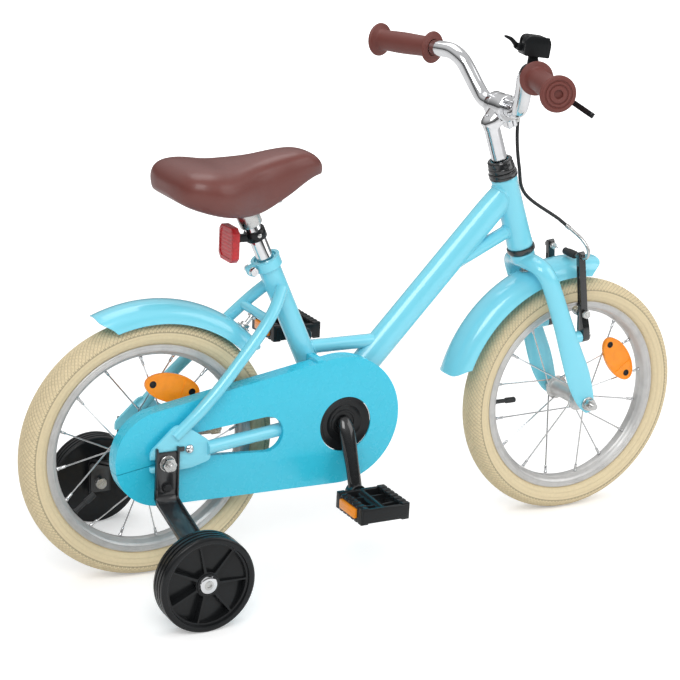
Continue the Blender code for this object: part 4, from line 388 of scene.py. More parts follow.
def lofted(name, rings, sides=24):
    """A closed bar through rings, each a unit circle under its matrix."""
    only(None)
    bpy.ops.mesh.primitive_circle_add(vertices=sides, radius=1.0, fill_type="NGON")
    piece = bpy.context.object
    mode("EDIT")
    last = Matrix()
    for i, ring in enumerate(rings):
        if i:
            bpy.ops.mesh.extrude_region()
        build = bmesh.from_edit_mesh(piece.data)
        picked = [v for v in build.verts if v.select]
        bmesh.ops.transform(build, matrix=ring @ last.inverted(), verts=picked)
        bmesh.update_edit_mesh(piece.data)
        last = ring
    mode("OBJECT")
    return placed(closed_up(piece), name, Matrix())


def oval(centre, side, side_half, up, up_half):
    """The matrix of an oval ring."""
    a, b = Vector(side).normalized(), Vector(up).normalized()
    c = a.cross(b).normalized()
    return basis(centre, a * side_half, b * up_half, c * max(side_half, up_half))


def with_modifier(piece, kind, **settings):
    """Add a modifier, set it and apply it."""
    only(piece)
    bpy.ops.object.modifier_add(type=kind)
    step = piece.modifiers[-1]
    for key, value in settings.items():
        setattr(step, key, value)
    bpy.ops.object.modifier_apply(modifier=step.name)
    return piece


def softened(piece, width):
    return with_modifier(piece, "BEVEL", width=width, segments=2, limit_method="ANGLE",
        angle_limit=radians(38.0), use_clamp_overlap=True)


def divided(piece, levels=1):
    return with_modifier(piece, "SUBSURF", levels=levels, render_levels=levels)


def cut(piece, *tools, how="DIFFERENCE"):
    """Take the tools out of the piece, or join them to it, and delete them."""
    for tool in tools:
        with_modifier(piece, "BOOLEAN", operation=how, solver="EXACT", object=tool)
        bpy.data.objects.remove(tool)
    return piece


def joined(name, pieces):
    only(pieces[0])
    for piece in pieces:
        piece.select_set(True)
    bpy.ops.object.join()
    made = bpy.context.object
    made.name = name
    made.data.name = name
    return made


def copied(piece, name, move):
    """A copy with its own mesh, moved by a matrix."""
    only(piece)
    bpy.ops.object.duplicate(linked=False)
    return placed(bpy.context.object, name, move)


def done(piece, body, slot, look, *nodes, angle=38.0):
    """Shade the piece, give it its finish and let it ride on its body."""
    only(piece)
    bpy.ops.object.shade_smooth_by_angle(angle=radians(angle))
    if look:
        tinted(piece, look)
    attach(piece, body)
    if nodes:
        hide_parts(*nodes)
    return piece


def tinted(piece, look):
    """Give one part of a piece its own finish before it is joined to the rest."""
    piece.data.materials.clear()
    piece.data.materials.append(finish(look))
    return piece


def hex_nut(name, place, across, height, bore=0.0):
    """A hexagon nut or bolt head with chamfered corners."""
    r = across / sqrt(3)
    nut = plate(name, [circle(r, 6)], height, place @ shift(z=height / 2))
    cone = [(0.0, -0.0002), (r * 0.93, -0.0002), (r * 1.03, height * 0.22), (r * 1.03, height * 0.78),
        (r * 0.93, height + 0.0002), (0.0, height + 0.0002)]
    cut(nut, turned("chamfer", cone, place, steps=36), how="INTERSECT")
    if bore:
        cut(nut, rod("bore", place, bore, -0.001, height + 0.001, 24))
    return nut


def stud(name, place, radius, low, high, thread=0.0):
    """A round rod along the frame's Z axis, with thread rings where it shows them."""
    profile = [(0.0, low), (radius - 0.0004, low), (radius, low + 0.0004)]
    if thread:
        rise = low + 0.0006
        while rise < high - 0.0012:
            profile += [(radius, rise), (radius - 0.0004, rise + thread / 2)]
            rise += thread
    profile += [(radius, high - 0.0006), (radius - 0.0006, high), (0.0, high)]
    return turned(name, profile, place, steps=24)


# Finishes


class Wire:
    """A socket of a finish that works in ordinary sums."""

    def __init__(self, finish, socket):
        self.finish = finish
        self.socket = socket

    def maths(self, kind, *others, **settings):
        node = self.finish.node("ShaderNodeMath", {"operation": kind, **settings},
            dict(enumerate((self, *others))))
        return Wire(self.finish, node.outputs[0])

    def __add__(self, other):
        return self.maths("ADD", other)

    def __radd__(self, other):
        return self + other

    def __sub__(self, other):
        return self.maths("SUBTRACT", other)

    def __rsub__(self, other):
        return self * -1.0 + other

    def __mul__(self, other):
        return self.maths("MULTIPLY", other)

    def __rmul__(self, other):
        return self * other

    def __truediv__(self, other):
        return self.maths("DIVIDE", other)

    def __pow__(self, other):
        return self.maths("POWER", other)

    def __abs__(self):
        return self.maths("ABSOLUTE")

    def wave(self):
        return self.maths("SINE")

    def least(self, other):
        return self.maths("MINIMUM", other)

    def most(self, other):
        return self.maths("MAXIMUM", other)

    def fade(self, low, high):
        """0 below low, 1 above high and smooth between them."""
        settings = {"interpolation_type": "SMOOTHSTEP"}
        node = self.finish.node("ShaderNodeMapRange", settings, {0: self, 1: low, 2: high})
        return Wire(self.finish, node.outputs[0])

    def band(self, middle, half, soft):
        """1 within half of the middle, 0 outside it."""
        return 1.0 - abs(self - middle).fade(half, half + soft)


class Finish:
    """One surface finish, built from nodes round a principled shader."""

    def __init__(self, name, colour, roughness, metallic=0.0, **fixed):
        self.material = bpy.data.materials.new(name)
        self.material.use_nodes = True
        self.material.diffuse_color = (*colour, 1.0)
        self.nodes = self.material.node_tree.nodes
        self.links = self.material.node_tree.links
        self.nodes.clear()
        self.colour = (*colour, 1.0)
        inputs = {"Base Color": self.colour, "Roughness": roughness, "Metallic": metallic}
        self.shader = self.node("ShaderNodeBsdfPrincipled", {}, {**inputs, **fixed})
        self.node("ShaderNodeOutputMaterial", {}, {"Surface": self.shader.outputs[0]})
        self.place = self.node("ShaderNodeTexCoord", {}, {}).outputs["Object"]
        parts = self.node("ShaderNodeSeparateXYZ", {}, {0: self.place})
        self.x, self.y, self.z = (Wire(self, parts.outputs[i]) for i in range(3))

    def node(self, kind, settings, inputs):
        """Add a node of this kind, with its settings and what feeds its inputs."""
        made = self.nodes.new(kind)
        for key, value in settings.items():
            setattr(made, key, value)
        for key, value in inputs.items():
            self.feed(made.inputs[key], value)
        return made

    def feed(self, socket, value):
        if isinstance(value, Wire):
            self.links.new(value.socket, socket)
        elif isinstance(value, bpy.types.NodeSocket):
            self.links.new(value, socket)
        else:
            socket.default_value = value

    def noise(self, size, detail=3.0, stretch=(1.0, 1.0, 1.0)):
        """Soft noise whose grains are about this size in metres."""
        moved = self.node("ShaderNodeVectorMath", {"operation": "MULTIPLY"}, {0: self.place, 1: stretch})
        inputs = {"Vector": moved.outputs[0], "Scale": 1.0 / size, "Detail": detail, "Roughness": 0.55}
        return Wire(self, self.node("ShaderNodeTexNoise", {}, inputs).outputs[0])

    def cells(self, size):
        inputs = {"Vector": self.place, "Scale": 1.0 / size, "Randomness": 0.9}
        return Wire(self, self.node("ShaderNodeTexVoronoi", {"feature": "F1"}, inputs).outputs["Distance"])

    def blend(self, amount, first, second):
        """A colour between two colours."""
        inputs = {0: amount, 6: first, 7: second}
        return self.node("ShaderNodeMix", {"data_type": "RGBA"}, inputs).outputs[2]

    def tint(self, amount, shade):
        """Move the base colour towards a shade of it, by a varying amount."""
        colour = tuple(min(1.0, c * shade) for c in self.colour[:3]) + (1.0,)
        self.feed(self.shader.inputs["Base Color"], self.blend(amount, self.colour, colour))

    def vary(self, socket, value):
        self.feed(self.shader.inputs[socket], value)

    def relief(self, height, distance):
        """Bump whose full height is this distance in metres."""
        inputs = {"Height": height, "Distance": distance, "Strength": 1.0}
        self.vary("Normal", self.node("ShaderNodeBump", {}, inputs).outputs[0])


def enamel(name, colour, gloss=0.2):
    """Stove enamel: a slow ripple under a clear gloss, and faint wipe marks."""
    made = Finish(name, colour, gloss, 0.0, **{"Coat Weight": 0.7, "Coat Roughness": 0.05})
    made.tint(made.noise(0.045, 2.0), 0.94)
    smear = made.noise(0.03, 4.0, (1.0, 1.0, 2.5))
    made.vary("Roughness", gloss - 0.03 + smear.fade(0.35, 0.8) * 0.1)
    made.relief(made.noise(0.006, 2.0), 0.00003)
    return made.material


def moulding(name, colour, gloss, grain, depth, coat=0.0, mottle=0.92, shine=0.5):
    """Moulded plastic or rubber: a fine grain and a little unevenness in the gloss."""
    made = Finish(name, colour, gloss, 0.0, **{"Coat Weight": coat, "Coat Roughness": 0.12,
        "Specular IOR Level": shine})
    made.tint(made.noise(0.02, 3.0), mottle)
    made.vary("Roughness", gloss - 0.04 + made.noise(0.012, 4.0) * 0.1)
    made.relief(made.noise(grain, 3.0), depth)
    return made.material


def plated(name, colour, gloss, cloud=0.05, depth=0.00001):
    """Plated or polished metal with faint clouding."""
    made = Finish(name, colour, gloss, 1.0)
    spots = made.noise(0.008, 5.0)
    made.tint(made.noise(0.02, 3.0).fade(0.3, 0.8), 0.88)
    made.vary("Roughness", gloss - cloud / 2 + spots.fade(0.3, 0.8) * cloud)
    made.relief(made.noise(0.0015, 3.0), depth)
    return made.material


def tyre_rubber(name, colour):
    """Cream rubber with dust; painted shade in the tread's grooves and on two fine mould lines per wall."""
    made = Finish(name, colour, 0.62)
    out = ((abs(made.x) - FRONT_X) ** 2.0 + (made.z - AXLE_Z) ** 2.0) ** 0.5
    groove = out.band(0.1495, 0.0004, 0.0003).most(out.band(0.156, 0.0003, 0.0003))
    crown = out.fade(0.16, 0.172)
    dust = made.noise(0.004, 5.0).fade(0.3, 0.75)
    rise = ((out - 0.1555) / 0.0185).most(0.0) ** 2.22 + (abs(made.y) / 0.022) ** 2.22
    tread_groove_shade = (1.0 - rise.fade(0.89, 0.975)) * out.fade(0.1585, 0.16)
    # Painted shade: the tread's grooves are darkened strongly and the mould lines faintly; the dust is real
    # dirt.
    made.tint((groove * 0.09).most(dust * 0.12 + dust * crown * 0.16).most(tread_groove_shade * 0.95), 0.42)
    made.vary("Roughness", 0.55 + made.noise(0.006, 4.0) * 0.22)
    made.relief(made.noise(0.0009, 3.0) * 0.5 - groove * 2.0, 0.00018)
    return made.material


def turned_alloy(name, colour, gloss):
    """Polished alloy with fine lathe lines round each wheel's axle."""
    made = Finish(name, colour, gloss, 0.55)
    out = ((abs(made.x) - FRONT_X) ** 2.0 + (made.z - AXLE_Z) ** 2.0) ** 0.5
    wobble = made.noise(0.05, 2.0) * 1.2
    lines = (out * 9000.0 + wobble).wave() * 0.5 + (out * 3700.0 + wobble * 2.0).wave() * 0.5
    made.tint(made.noise(0.015, 4.0).fade(0.35, 0.8), 0.86)
    made.vary("Roughness", gloss + made.noise(0.006, 4.0) * 0.08 + lines * 0.02)
    made.relief(lines, 0.000008)
    return made.material


def leatherette(name, colour):
    """Brown saddle skin: pebbled grain, softly polished where it is sat on."""
    made = Finish(name, colour, 0.34, 0.0, **{"Coat Weight": 0.25, "Coat Roughness": 0.22})
    pebble = made.cells(0.0013)
    crease = made.noise(0.0042, 4.0)
    worn = made.z.fade(0.518, 0.55)
    made.tint(made.noise(0.018, 4.0) * 0.6 + pebble * 0.25, 0.8)
    made.vary("Roughness", 0.44 - worn * 0.1 + made.noise(0.01, 4.0) * 0.08)
    made.relief((1.0 - pebble) * 0.7 + crease * 0.6, 0.00009)
    return made.material


def prisms(name, colour, size, deep):
    """A moulded reflector: rows of small pyramids behind a clear face, with painted glints and a painted
    glow.
    """
    # The emission makes the reflector glow though it is no lamp: a painted glow.
    made = Finish(name, colour, 0.12, 0.0, **{"Coat Weight": 0.35, "Coat Roughness": 0.12, "IOR": 1.4,
        "Emission Color": (*colour, 1.0), "Emission Strength": 0.16})
    slant = made.x + made.z * 0.35
    a = (slant * (tau / size)).wave()
    b = ((made.z + made.y * 0.6) * (tau / size)).wave()
    lattice = abs(a) * abs(b)
    # Painted glints and shade: the colour runs from a darker copy (by deep) to a lighter one over the prisms.
    glow = lattice * 0.75 + made.noise(0.011, 2.0).fade(0.3, 0.7) * 0.35
    dark = tuple(c * deep for c in colour) + (1.0,)
    light = tuple(min(1.0, c * 1.2) for c in colour) + (1.0,)
    made.vary("Base Color", made.blend(glow.least(1.0), dark, light))
    made.vary("Roughness", 0.1 + lattice * 0.12)
    made.relief(lattice, 0.0003)
    return made.material


def floor_finish():
    """A pale studio sweep that shows white to the camera beyond the shadow."""
    made = Finish("studio_floor", (0.92, 0.92, 0.92), 0.7)
    made.vary("Roughness", 0.66 + made.noise(0.4, 2.0) * 0.06)
    far = ((made.x ** 2.0 + made.y ** 2.0) ** 0.5).fade(0.9, 3.0)
    glow = made.blend(far, (0.3, 0.3, 0.3, 1.0), (1.0, 1.0, 1.0, 1.0))
    lifted = made.node("ShaderNodeBsdfPrincipled", {},
        {"Base Color": made.colour, "Roughness": 0.7, "Emission Color": glow, "Emission Strength": 1.0})
    seen = made.node("ShaderNodeLightPath", {}, {}).outputs["Is Camera Ray"]
    both = made.node("ShaderNodeMixShader", {}, {0: seen, 1: made.shader.outputs[0], 2: lifted.outputs[0]})
    made.feed(made.nodes["Material Output"].inputs["Surface"], both.outputs[0])
    return made.material


def colour_of(name):
    return tuple(getattr(bpy.context.scene.bike_colours, name))


COLOUR = {"subtype": "COLOR", "size": 3, "min": 0.0, "max": 1.0}


class BikeColours(bpy.types.PropertyGroup):
    """The colours a buyer would choose."""

    paint: FloatVectorProperty(name="Frame paint", description="Enamel on the frame, fork and fenders",
        default=(0.205, 0.694, 0.855), **COLOUR)
    guard: FloatVectorProperty(name="Chain guard", description="Moulded chain guard",
        default=(0.035, 0.56, 0.76), **COLOUR)
    tyre: FloatVectorProperty(name="Tyres", description="Tyre rubber", default=(0.76, 0.635, 0.405),
        **COLOUR)
    brown: FloatVectorProperty(name="Saddle and grips", description="Saddle skin and grip rubber",
        default=(0.158, 0.038, 0.029), **COLOUR)
    amber: FloatVectorProperty(name="Side reflectors", description="Reflectors in the wheels and pedals",
        default=(0.913, 0.262, 0.004), **COLOUR)
    red: FloatVectorProperty(name="Rear reflector", description="Reflector on the seat post",
        default=(0.514, 0.021, 0.026), **COLOUR)


class BikeSizes(bpy.types.PropertyGroup):
    """The sizes of the fine detail."""

    knob: FloatProperty(name="Tread pitch", description="Distance from one tread lozenge to the next",
        default=0.0064, min=0.004, max=0.012, unit="LENGTH")
    groove: FloatProperty(name="Tread depth", description="Depth of the grooves between the lozenges",
        default=0.0009, min=0.0, max=0.002, unit="LENGTH")
    spoke: FloatProperty(name="Spoke thickness", description="Radius of a spoke's wire",
        default=SPOKE_RADIUS, min=0.0006, max=0.002, unit="LENGTH")
    turns: IntProperty(name="Steps round", description="Faces round the wheel rims", default=256, min=64,
        max=512)


FINISHES = {}


def finish(name):
    """The finish of this name, made the first time that it is asked for."""
    if name not in FINISHES:
        makers = {
            "paint": lambda: enamel("turquoise_enamel", colour_of("paint")),
            "guard": lambda: moulding("guard_plastic", colour_of("guard"), 0.26, 0.0012, 0.00002, 0.3, 0.95),
            "tyre": lambda: tyre_rubber("cream_rubber", colour_of("tyre")),
            "rim": lambda: turned_alloy("polished_rim_alloy", (0.6, 0.595, 0.585), 0.36),
            "chrome": lambda: plated("chrome_plate", (0.78, 0.785, 0.8), 0.09),
            "steel": lambda: plated("bright_zinc_plate", (0.62, 0.62, 0.61), 0.28, 0.12, 0.00002),
            "spoke": lambda: plated("spoke_wire", (0.66, 0.67, 0.68), 0.2, 0.06),
            "chain": lambda: plated("chain_steel", (0.36, 0.36, 0.37), 0.33, 0.14, 0.00002),
            "saddle": lambda: leatherette("brown_saddle_skin", colour_of("brown")),
            "grip": lambda: moulding("brown_grip_rubber", colour_of("brown"), 0.5, 0.0009, 0.00004),
            "plastic": lambda: moulding("black_plastic", (0.01, 0.011, 0.012), 0.22, 0.001, 0.00002,
                shine=0.28),
            "black": lambda: enamel("black_enamel", (0.012, 0.013, 0.014), 0.15),
            "satin": lambda: enamel("satin_black_enamel", (0.014, 0.015, 0.017), 0.36),
            "rubber": lambda: moulding("black_rubber", (0.022, 0.023, 0.024), 0.62, 0.0008, 0.00005),
            "amber": lambda: prisms("amber_prisms", colour_of("amber"), 0.0028, 0.84),
            "red": lambda: prisms("red_prisms", colour_of("red"), 0.0034, 0.45),
        }
        FINISHES[name] = makers[name]()
    return FINISHES[name]


# Wheels


def wheel_place(x):
    return towards((x, 0.0, AXLE_Z), Y)


def both_sides(half):
    """The profile of a turned ring from its half on the side of the wheel's left face."""
    return [(r, -h) for r, h in reversed(half)] + [(r, h) for r, h in half if h > 0.0]


def tyre_rows(step, count):
    """Points of a tyre's half section, evenly spaced from the crown to the shoulder."""
    fine = []
    for i in range(601):
        t = pi / 2 * i / 600
        fine.append((0.1555 + 0.0185 * cos(t) ** 0.9, 0.022 * sin(t) ** 0.9))
    rows, run = [fine[0]], 0.0
    for here, there in zip(fine, fine[1:]):
        run += dist(here, there)
        if run >= step and len(rows) <= count:
            rows.append(there)
            run = 0.0
    return rows


def knurled_tyre(x):
    """Round tyre whose tread is cut into lozenges by two sets of slanting grooves."""
    sizes = bpy.context.scene.bike_sizes
    steps = round(tau * TYRE_RADIUS / sizes.knob) * 6
    step = tau * TYRE_RADIUS / steps
    rows = tyre_rows(step, 23)
    half = list(rows)
    for i in range(1, 9):
        t = radians(90.0 * i / 8)
        start = rows[-1]
        half.append((start[0] - (start[0] - 0.143) * sin(t), 0.0112 + (start[1] - 0.0112) * cos(t)))
    half.append((0.1362, 0.0111))
    tyre = hoop("tyre_form", both_sides(half), Matrix(), steps=steps)
    widths = [row[1] for row in rows]
    for vertex in tyre.data.vertices:
        out = hypot(vertex.co.x, vertex.co.y)
        wide = abs(vertex.co.z)
        if out < rows[-1][0] - 0.0003 or wide > widths[-1] + 0.0001:
            continue
        row = min(range(len(widths)), key=lambda k: abs(widths[k] - wide))
        row = row if vertex.co.z > 0 else -row
        turn = round(atan2(vertex.co.y, vertex.co.x) / tau * steps)
        if (turn + row) % 6 and (turn - row) % 6:
            continue
        middle = Vector((vertex.co.x, vertex.co.y, 0.0)) * (0.152 / out)
        vertex.co -= (vertex.co - middle).normalized() * sizes.groove
    return placed(tyre, "tyre", wheel_place(x))


def stepped_rim(name, x):
    """Alloy rim with stepped brake tracks, a hooked edge and a shallow spoke bed."""
    half = mm((126.4, 0), (126.5, 3), (126.9, 5.2), (128, 6.6), (129, 8), (129.9, 10), (131.1, 11.2),
        (132.5, 12.2), (133.4, 12.9), (133.9, 12.9), (134.2, 12.5), (134.7, 12.5), (135, 12.9), (137.8, 13),
        (138.1, 12.7), (138.6, 12.7), (138.9, 13), (140.6, 13), (141.1, 12.6), (141.7, 12.6), (142, 12.3),
        (142, 11.7), (141.6, 11.45), (134.5, 11.45), (132, 9), (130, 5), (129, 0))
    steps = bpy.context.scene.bike_sizes.turns
    outline = [(r, h) for r, h in half] + [(r, -h) for r, h in reversed(half) if h > 0.0]
    return hoop(name, outline, wheel_place(x), steps=steps)


def spoke_ends(flange_y, flange_radius, k, side, phase):
    """Where a spoke leaves its flange and where it meets the rim, from the wheel's centre."""
    step = tau / (SPOKES / 2)
    turn = phase + step * k + (step / 2 if side > 0 else 0.0)
    pull = LACING if k % 2 == 0 else -LACING
    lay = 0.0015 if k % 2 == 0 else -0.0015
    hole, reach = flange_radius - 0.003, RIM_INNER - 0.001
    start = Vector((hole * cos(turn), side * (flange_y + lay), hole * sin(turn)))
    end = Vector((reach * cos(turn + pull), side * 0.003, reach * sin(turn + pull)))
    return start, end


def one_spoke(length, radius):
    """A spoke along Z: headed elbow at the flange, wire, and its nipple in the rim."""
    elbow = mm((-3.4, 0, -0.2), (-1.6, 0, -0.2), (-0.3, 0, 0.6), (0, 0, 2.6)) + [(0, 0, length * 0.5),
        (0, 0, length - 0.004)]
    wire = swept("wire", elbow, radius, sides=2, smooth=4)
    head = turned("head", mm((0, -1.2), (1.1, -1), (1.8, -0.3), (1.8, 0), (0, 0)),
        towards((-0.0032, 0, -0.0002), -X), steps=10)
    barrel = mm((0, -12), (1.2, -12), (1.7, -11.2), (1.9, -9.8), (1.9, -4.6), (1.7, -4), (1.9, -3.4),
        (2.5, -1.2), (2.5, 0), (0, 0))
    nipple = turned("nipple", barrel, shift(z=length), steps=12)
    return joined("spoke", [wire, head, nipple])


def laced_hub(name, x, flange_y, flange_radius, profile, phase):
    """A hub with a dished flange at each end and crossed spokes out to the rim."""
    hub = hoop(name, profile, wheel_place(x), steps=64)
    centre = Vector((x, 0.0, AXLE_Z))
    first, last = spoke_ends(flange_y, flange_radius, 0, 1, phase)
    model = one_spoke((last - first).length, bpy.context.scene.bike_sizes.spoke)
    wires = []
    for side in (1, -1):
        for k in range(SPOKES // 2):
            start, end = spoke_ends(flange_y, flange_radius, k, side, phase)
            out = side if k % 2 == 0 else -side
            place = towards(centre + start, end - start, Y * out)
            wires.append(copied(model, f"{name}_spoke", place))
    bpy.data.objects.remove(model)
    wires = tinted(joined(name + "_spokes", wires), "spoke")
    tinted(hub, "rim")
    return joined(name, [hub, wires])


FRONT_HUB = mm((5.3, 31.8), (7.8, 31.8), (8.5, 31.2), (9.1, 30.1), (15.8, 29.6), (17, 29.3), (17.5, 28.7),
    (17.5, 27.3), (17, 26.8), (13.2, 26.3), (11.9, 24.9), (11.5, 22.5), (11.1, 12), (11.1, 0))
REAR_HUB = mm((5.3, 27.8), (19, 27.8), (19.8, 27.2), (20.3, 25.8), (31.5, 25.6), (32.6, 25.2), (33, 24.6),
    (33, 23.4), (32.6, 22.8), (28.6, 22.2), (27.2, 20.8), (26.8, 18), (26.2, 17.2), (26.2, 0))


def capped_valve(name, x, turn):
    """Rubber valve stem with a ribbed dust cap."""
    out = outward(turn)
    frame = towards(Vector((x, 0.0, AXLE_Z)) + out * (RIM_INNER - 0.0012), -out, Y)
    stem = turned(name, mm((0, 0), (4.1, 0), (4.1, 1), (3.1, 2.4), (3, 17.2), (3.4, 18), (0, 18)), frame,
        steps=24)
    cap = turned("cap", mm((0, 18.2), (4, 18.2), (4.2, 18.8), (4.1, 32.5), (3.4, 33.7), (0, 34)), frame,
        steps=36)
    for vertex in cap.data.vertices:
        here = frame.inverted() @ vertex.co
        if 0.019 < here.z < 0.032 and hypot(here.x, here.y) > 0.003:
            lobes = round(atan2(here.y, here.x) / tau * 36)
            if lobes % 3 == 0:
                vertex.co -= (frame.to_3x3() @ Vector((here.x, here.y, 0.0))) * 0.1
    return joined(name, [stem, cap])


def wheel_reflector(name, node, x, turn):
    """Oval reflector with a raised rim, a rib and a dark clip eye near each end."""
    low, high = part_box(node)
    y = (low[1] + high[1]) / 2
    out, along = outward(turn), outward(turn + pi / 2)
    centre = Vector((x, y, AXLE_Z)) + out * 0.087
    frame = basis(centre, along, out, Y)

    def loop(grow):
        return [((0.039 + grow) * x, (0.019 + grow) * y) for x, y in circle(1.0, 64)]

    body = plate(name, [loop(0.0)], 0.0055, frame, soft=0.0009)
    cut(body, plate("recess", [loop(-0.0018)], 0.0016, frame @ shift(z=-0.00275)))
    holes = [rod("hole", frame @ shift(x=side * 0.0285), 0.003, -0.004, 0.004, 20) for side in (1, -1)]
    cut(body, *holes)
    tinted(body, "amber")
    collars = [tinted(turned("eye", mm((0, -1.2), (2.6, -1.4), (3.2, -2.4), (4.6, -2.5), (5, -1),
        (0, -0.6)), frame @ shift(x=side * 0.0285), steps=24), "plastic") for side in (1, -1)]
    rib = tinted(boxed("rib", (0.0009, 0.031, 0.0009), frame @ shift(x=-0.015, z=-0.0022), soft=0.0002),
        "amber")
    return joined(name, [body, rib] + collars)


def axle_set(name, x, plate_out, cone_at, cone_end, washer, nut):
    """Threaded axle with a nut and washer outside each plate and a cone inside it."""
    place = wheel_place(x)
    tip = plate_out + 0.018
    pieces = [stud("rod", place, AXLE_RADIUS, -tip, tip, thread=0.0011)]
    for side in (1, -1):
        frame = towards((x, 0.0, AXLE_Z), Y * side)
        outside = [(0.0048, plate_out), (washer, plate_out), (washer, plate_out + 0.0012),
            (washer - 0.0004, plate_out + 0.0016), (0.0048, plate_out + 0.0016)]
        pieces.append(hoop("washer", outside, frame, steps=40))
        pieces.append(hex_nut("nut", frame @ shift(z=plate_out + 0.0016), nut, 0.0078))
        inside = [(0.0048, cone_end), (0.006, cone_end), (0.0076, cone_end + 0.004), (0.0078, cone_at),
            (0.0048, cone_at)]
        pieces.append(hoop("cone", inside, frame, steps=32))
    return joined(name, pieces)


class OBJECT_OT_bike_tyres(bpy.types.Operator):
    """Model both tyres with their lozenge tread"""

    bl_idname = "object.bike_tyres"
    bl_label = "Tyres"

    def execute(self, context):
        first = knurled_tyre(FRONT_X)
        second = copied(first, "tyre_rear", shift(x=-WHEELBASE))
        placed(first, "tyre_front", Matrix())
        done(first, "front_wheel", "tyres", "tyre", "front_tyre", angle=30.0)
        done(second, "rear_wheel", "tyres", "tyre", "rear_tyre", angle=30.0)
        return {"FINISHED"}


class OBJECT_OT_bike_wheels(bpy.types.Operator):
    """Model the rims, hubs, spokes, valves and reflectors"""

    bl_idname = "object.bike_wheels"
    bl_label = "Rims and Hubs"

    def execute(self, context):
        front = stepped_rim("rim_front", FRONT_X)
        back = copied(front, "rim_rear", shift(x=-WHEELBASE))
        done(front, "front_wheel", "rims", "rim", "front_rim", angle=24.0)
        done(back, "rear_wheel", "rims", "rim", "rear_rim", angle=24.0)
        hubs = (("front", FRONT_X, 0.028, 0.0175, FRONT_HUB, FRONT_PHASE),
            ("rear", REAR_X, 0.024, 0.033, REAR_HUB, REAR_PHASE))
        for end, x, flange_y, flange_radius, half, phase in hubs:
            hub = laced_hub("hub_" + end, x, flange_y, flange_radius, both_sides(half), phase)
            done(hub, end + "_wheel", "rims", None, end + "_hub")
        for end, x, turn in (("front", FRONT_X, pi), ("rear", REAR_X, radians(218.0))):
            valve = capped_valve("valve_" + end, x, turn)
            done(valve, end + "_wheel", "black_rubber", "rubber", end + "_valve")
        lens = wheel_reflector("reflector_front", "front_reflector", FRONT_X, radians(36.0))
        done(lens, "front_wheel", "amber_reflectors", None, "front_reflector")
        lens = wheel_reflector("reflector_rear_wheel", "rear_wheel_reflector", REAR_X, radians(74.0))
        done(lens, "rear_wheel", "amber_reflectors", None, "rear_wheel_reflector")
        axle = axle_set("axle_front", FRONT_X, 0.0519, 0.046, 0.0335, 0.01, 0.0158)
        done(axle, "steering", "steel", "steel", "front_axle")
        axle = axle_set("axle_rear", REAR_X, 0.0668, 0.0578, 0.0515, 0.0108, 0.0165)
        done(axle, "frame_body", "steel", "steel", "rear_axle")
        return {"FINISHED"}


# Frame and steering


def thick_tube(name, points, radius, widths=None, smooth=5):
    return swept(name, points, radius, widths, sides=6, smooth=smooth)


def on_down_tube(part):
    low = Vector((BRACKET.x - 0.008, 0.0, BRACKET.z))
    return low.lerp(steer(0.0, 0.0, HEAD_LENGTH - 0.0195), part)


def dropout_shape():
    """Side view of a rear dropout with its open slot, drawn about the axle."""
    outside = mm((-22, -5.3), (-22, -13), (34, -12), (62, -4), (60, 22), (26, 46), (12, 48), (-22, 16),
        (-22, 5.3))
    return eased(outside, 0.006) + arc(0.0, 0.0, 0.0053, 90, -90, 13)


def frame_body():
    """Welded frame: head, oval down tube, braces, seat tube, stays and dropouts."""
    half = mm((0, 0), (17.6, 0), (18, 0.5), (18.5, 3), (18.5, 7.5), (18, 9))
    profile = half + [(r, HEAD_LENGTH - h) for r, h in reversed(half)]
    head = turned("bike_frame", profile, HEAD_FRAME, steps=64)
    low, high, cross = on_down_tube(0.0), on_down_tube(1.0), seat_point(0.107)
    across = (high - low).normalized().cross(Y)
    part = (cross.z - BRACKET.z) / (high.z - BRACKET.z)
    shape = ((0.0, 0.92), (0.06, 0.97), (0.12, 1.0), (0.5, 1.0), (0.9, 1.0), (0.95, 0.95), (1.0, 0.86))
    rings = [oval(on_down_tube(at), Y, 0.016, across, 0.0205 * size) for at, size in shape]
    seat_tube = [(0.0, 0.004), (0.015, 0.004), (0.015, SEAT_TOP - 0.0004), (0.0146, SEAT_TOP),
        (0.0, SEAT_TOP)]
    pieces = [lofted("down_tube", rings, sides=48),
        drum("shell", towards(BRACKET, Y), 0.0265, -0.034, 0.034, 0.0005, 64),
        turned("seat_tube", seat_tube, towards(BRACKET, SEAT_UP)),
        thick_tube("cross_tube", [cross, on_down_tube(part)], 0.0095),
        thick_tube("head_brace", [on_down_tube(0.62), steer(0.0, 0.0, 0.031)], 0.0095),
        thick_tube("bridge", [rear(0.148, 0.343, 0.04), rear(0.148, 0.343, -0.04)], 0.0062)]
    for side in (1, -1):
        path = [seat_point(SEAT_TOP - 0.04, side * 0.0175), rear(0.156, 0.352, side * 0.036),
            rear(0.1, 0.292, side * 0.054), rear(0.05, 0.242, side * 0.062),
            rear(0.012, 0.206, side * DROPOUT_Y)]
        pieces.append(thick_tube("seat_stay", path, 0.008, [1.0, 1.0, 1.0, 1.0, 0.92], smooth=8))
        path = [rear(0.056, 0.186, side * DROPOUT_Y), Vector((BRACKET.x - 0.01, side * 0.018, BRACKET.z))]
        pieces.append(thick_tube("chain_stay", path, 0.009))
        pieces.append(plate("dropout", [[(REAR_X + x, AXLE_Z + z) for x, z in dropout_shape()]], 0.0045,
            side_on(side * DROPOUT_Y), soft=0.0007))
    cut(head, *pieces, how="UNION")
    bores = [rod("head_bore", HEAD_FRAME, 0.0155, -0.01, 0.12, 64),
        rod("shell_bore", towards(BRACKET, Y), 0.0235, -0.05, 0.05, 64),
        rod("seat_bore", towards(BRACKET, SEAT_UP), 0.0115, 0.0825, 0.265)]
    return closed_up(cut(head, *bores), merge=FINE)


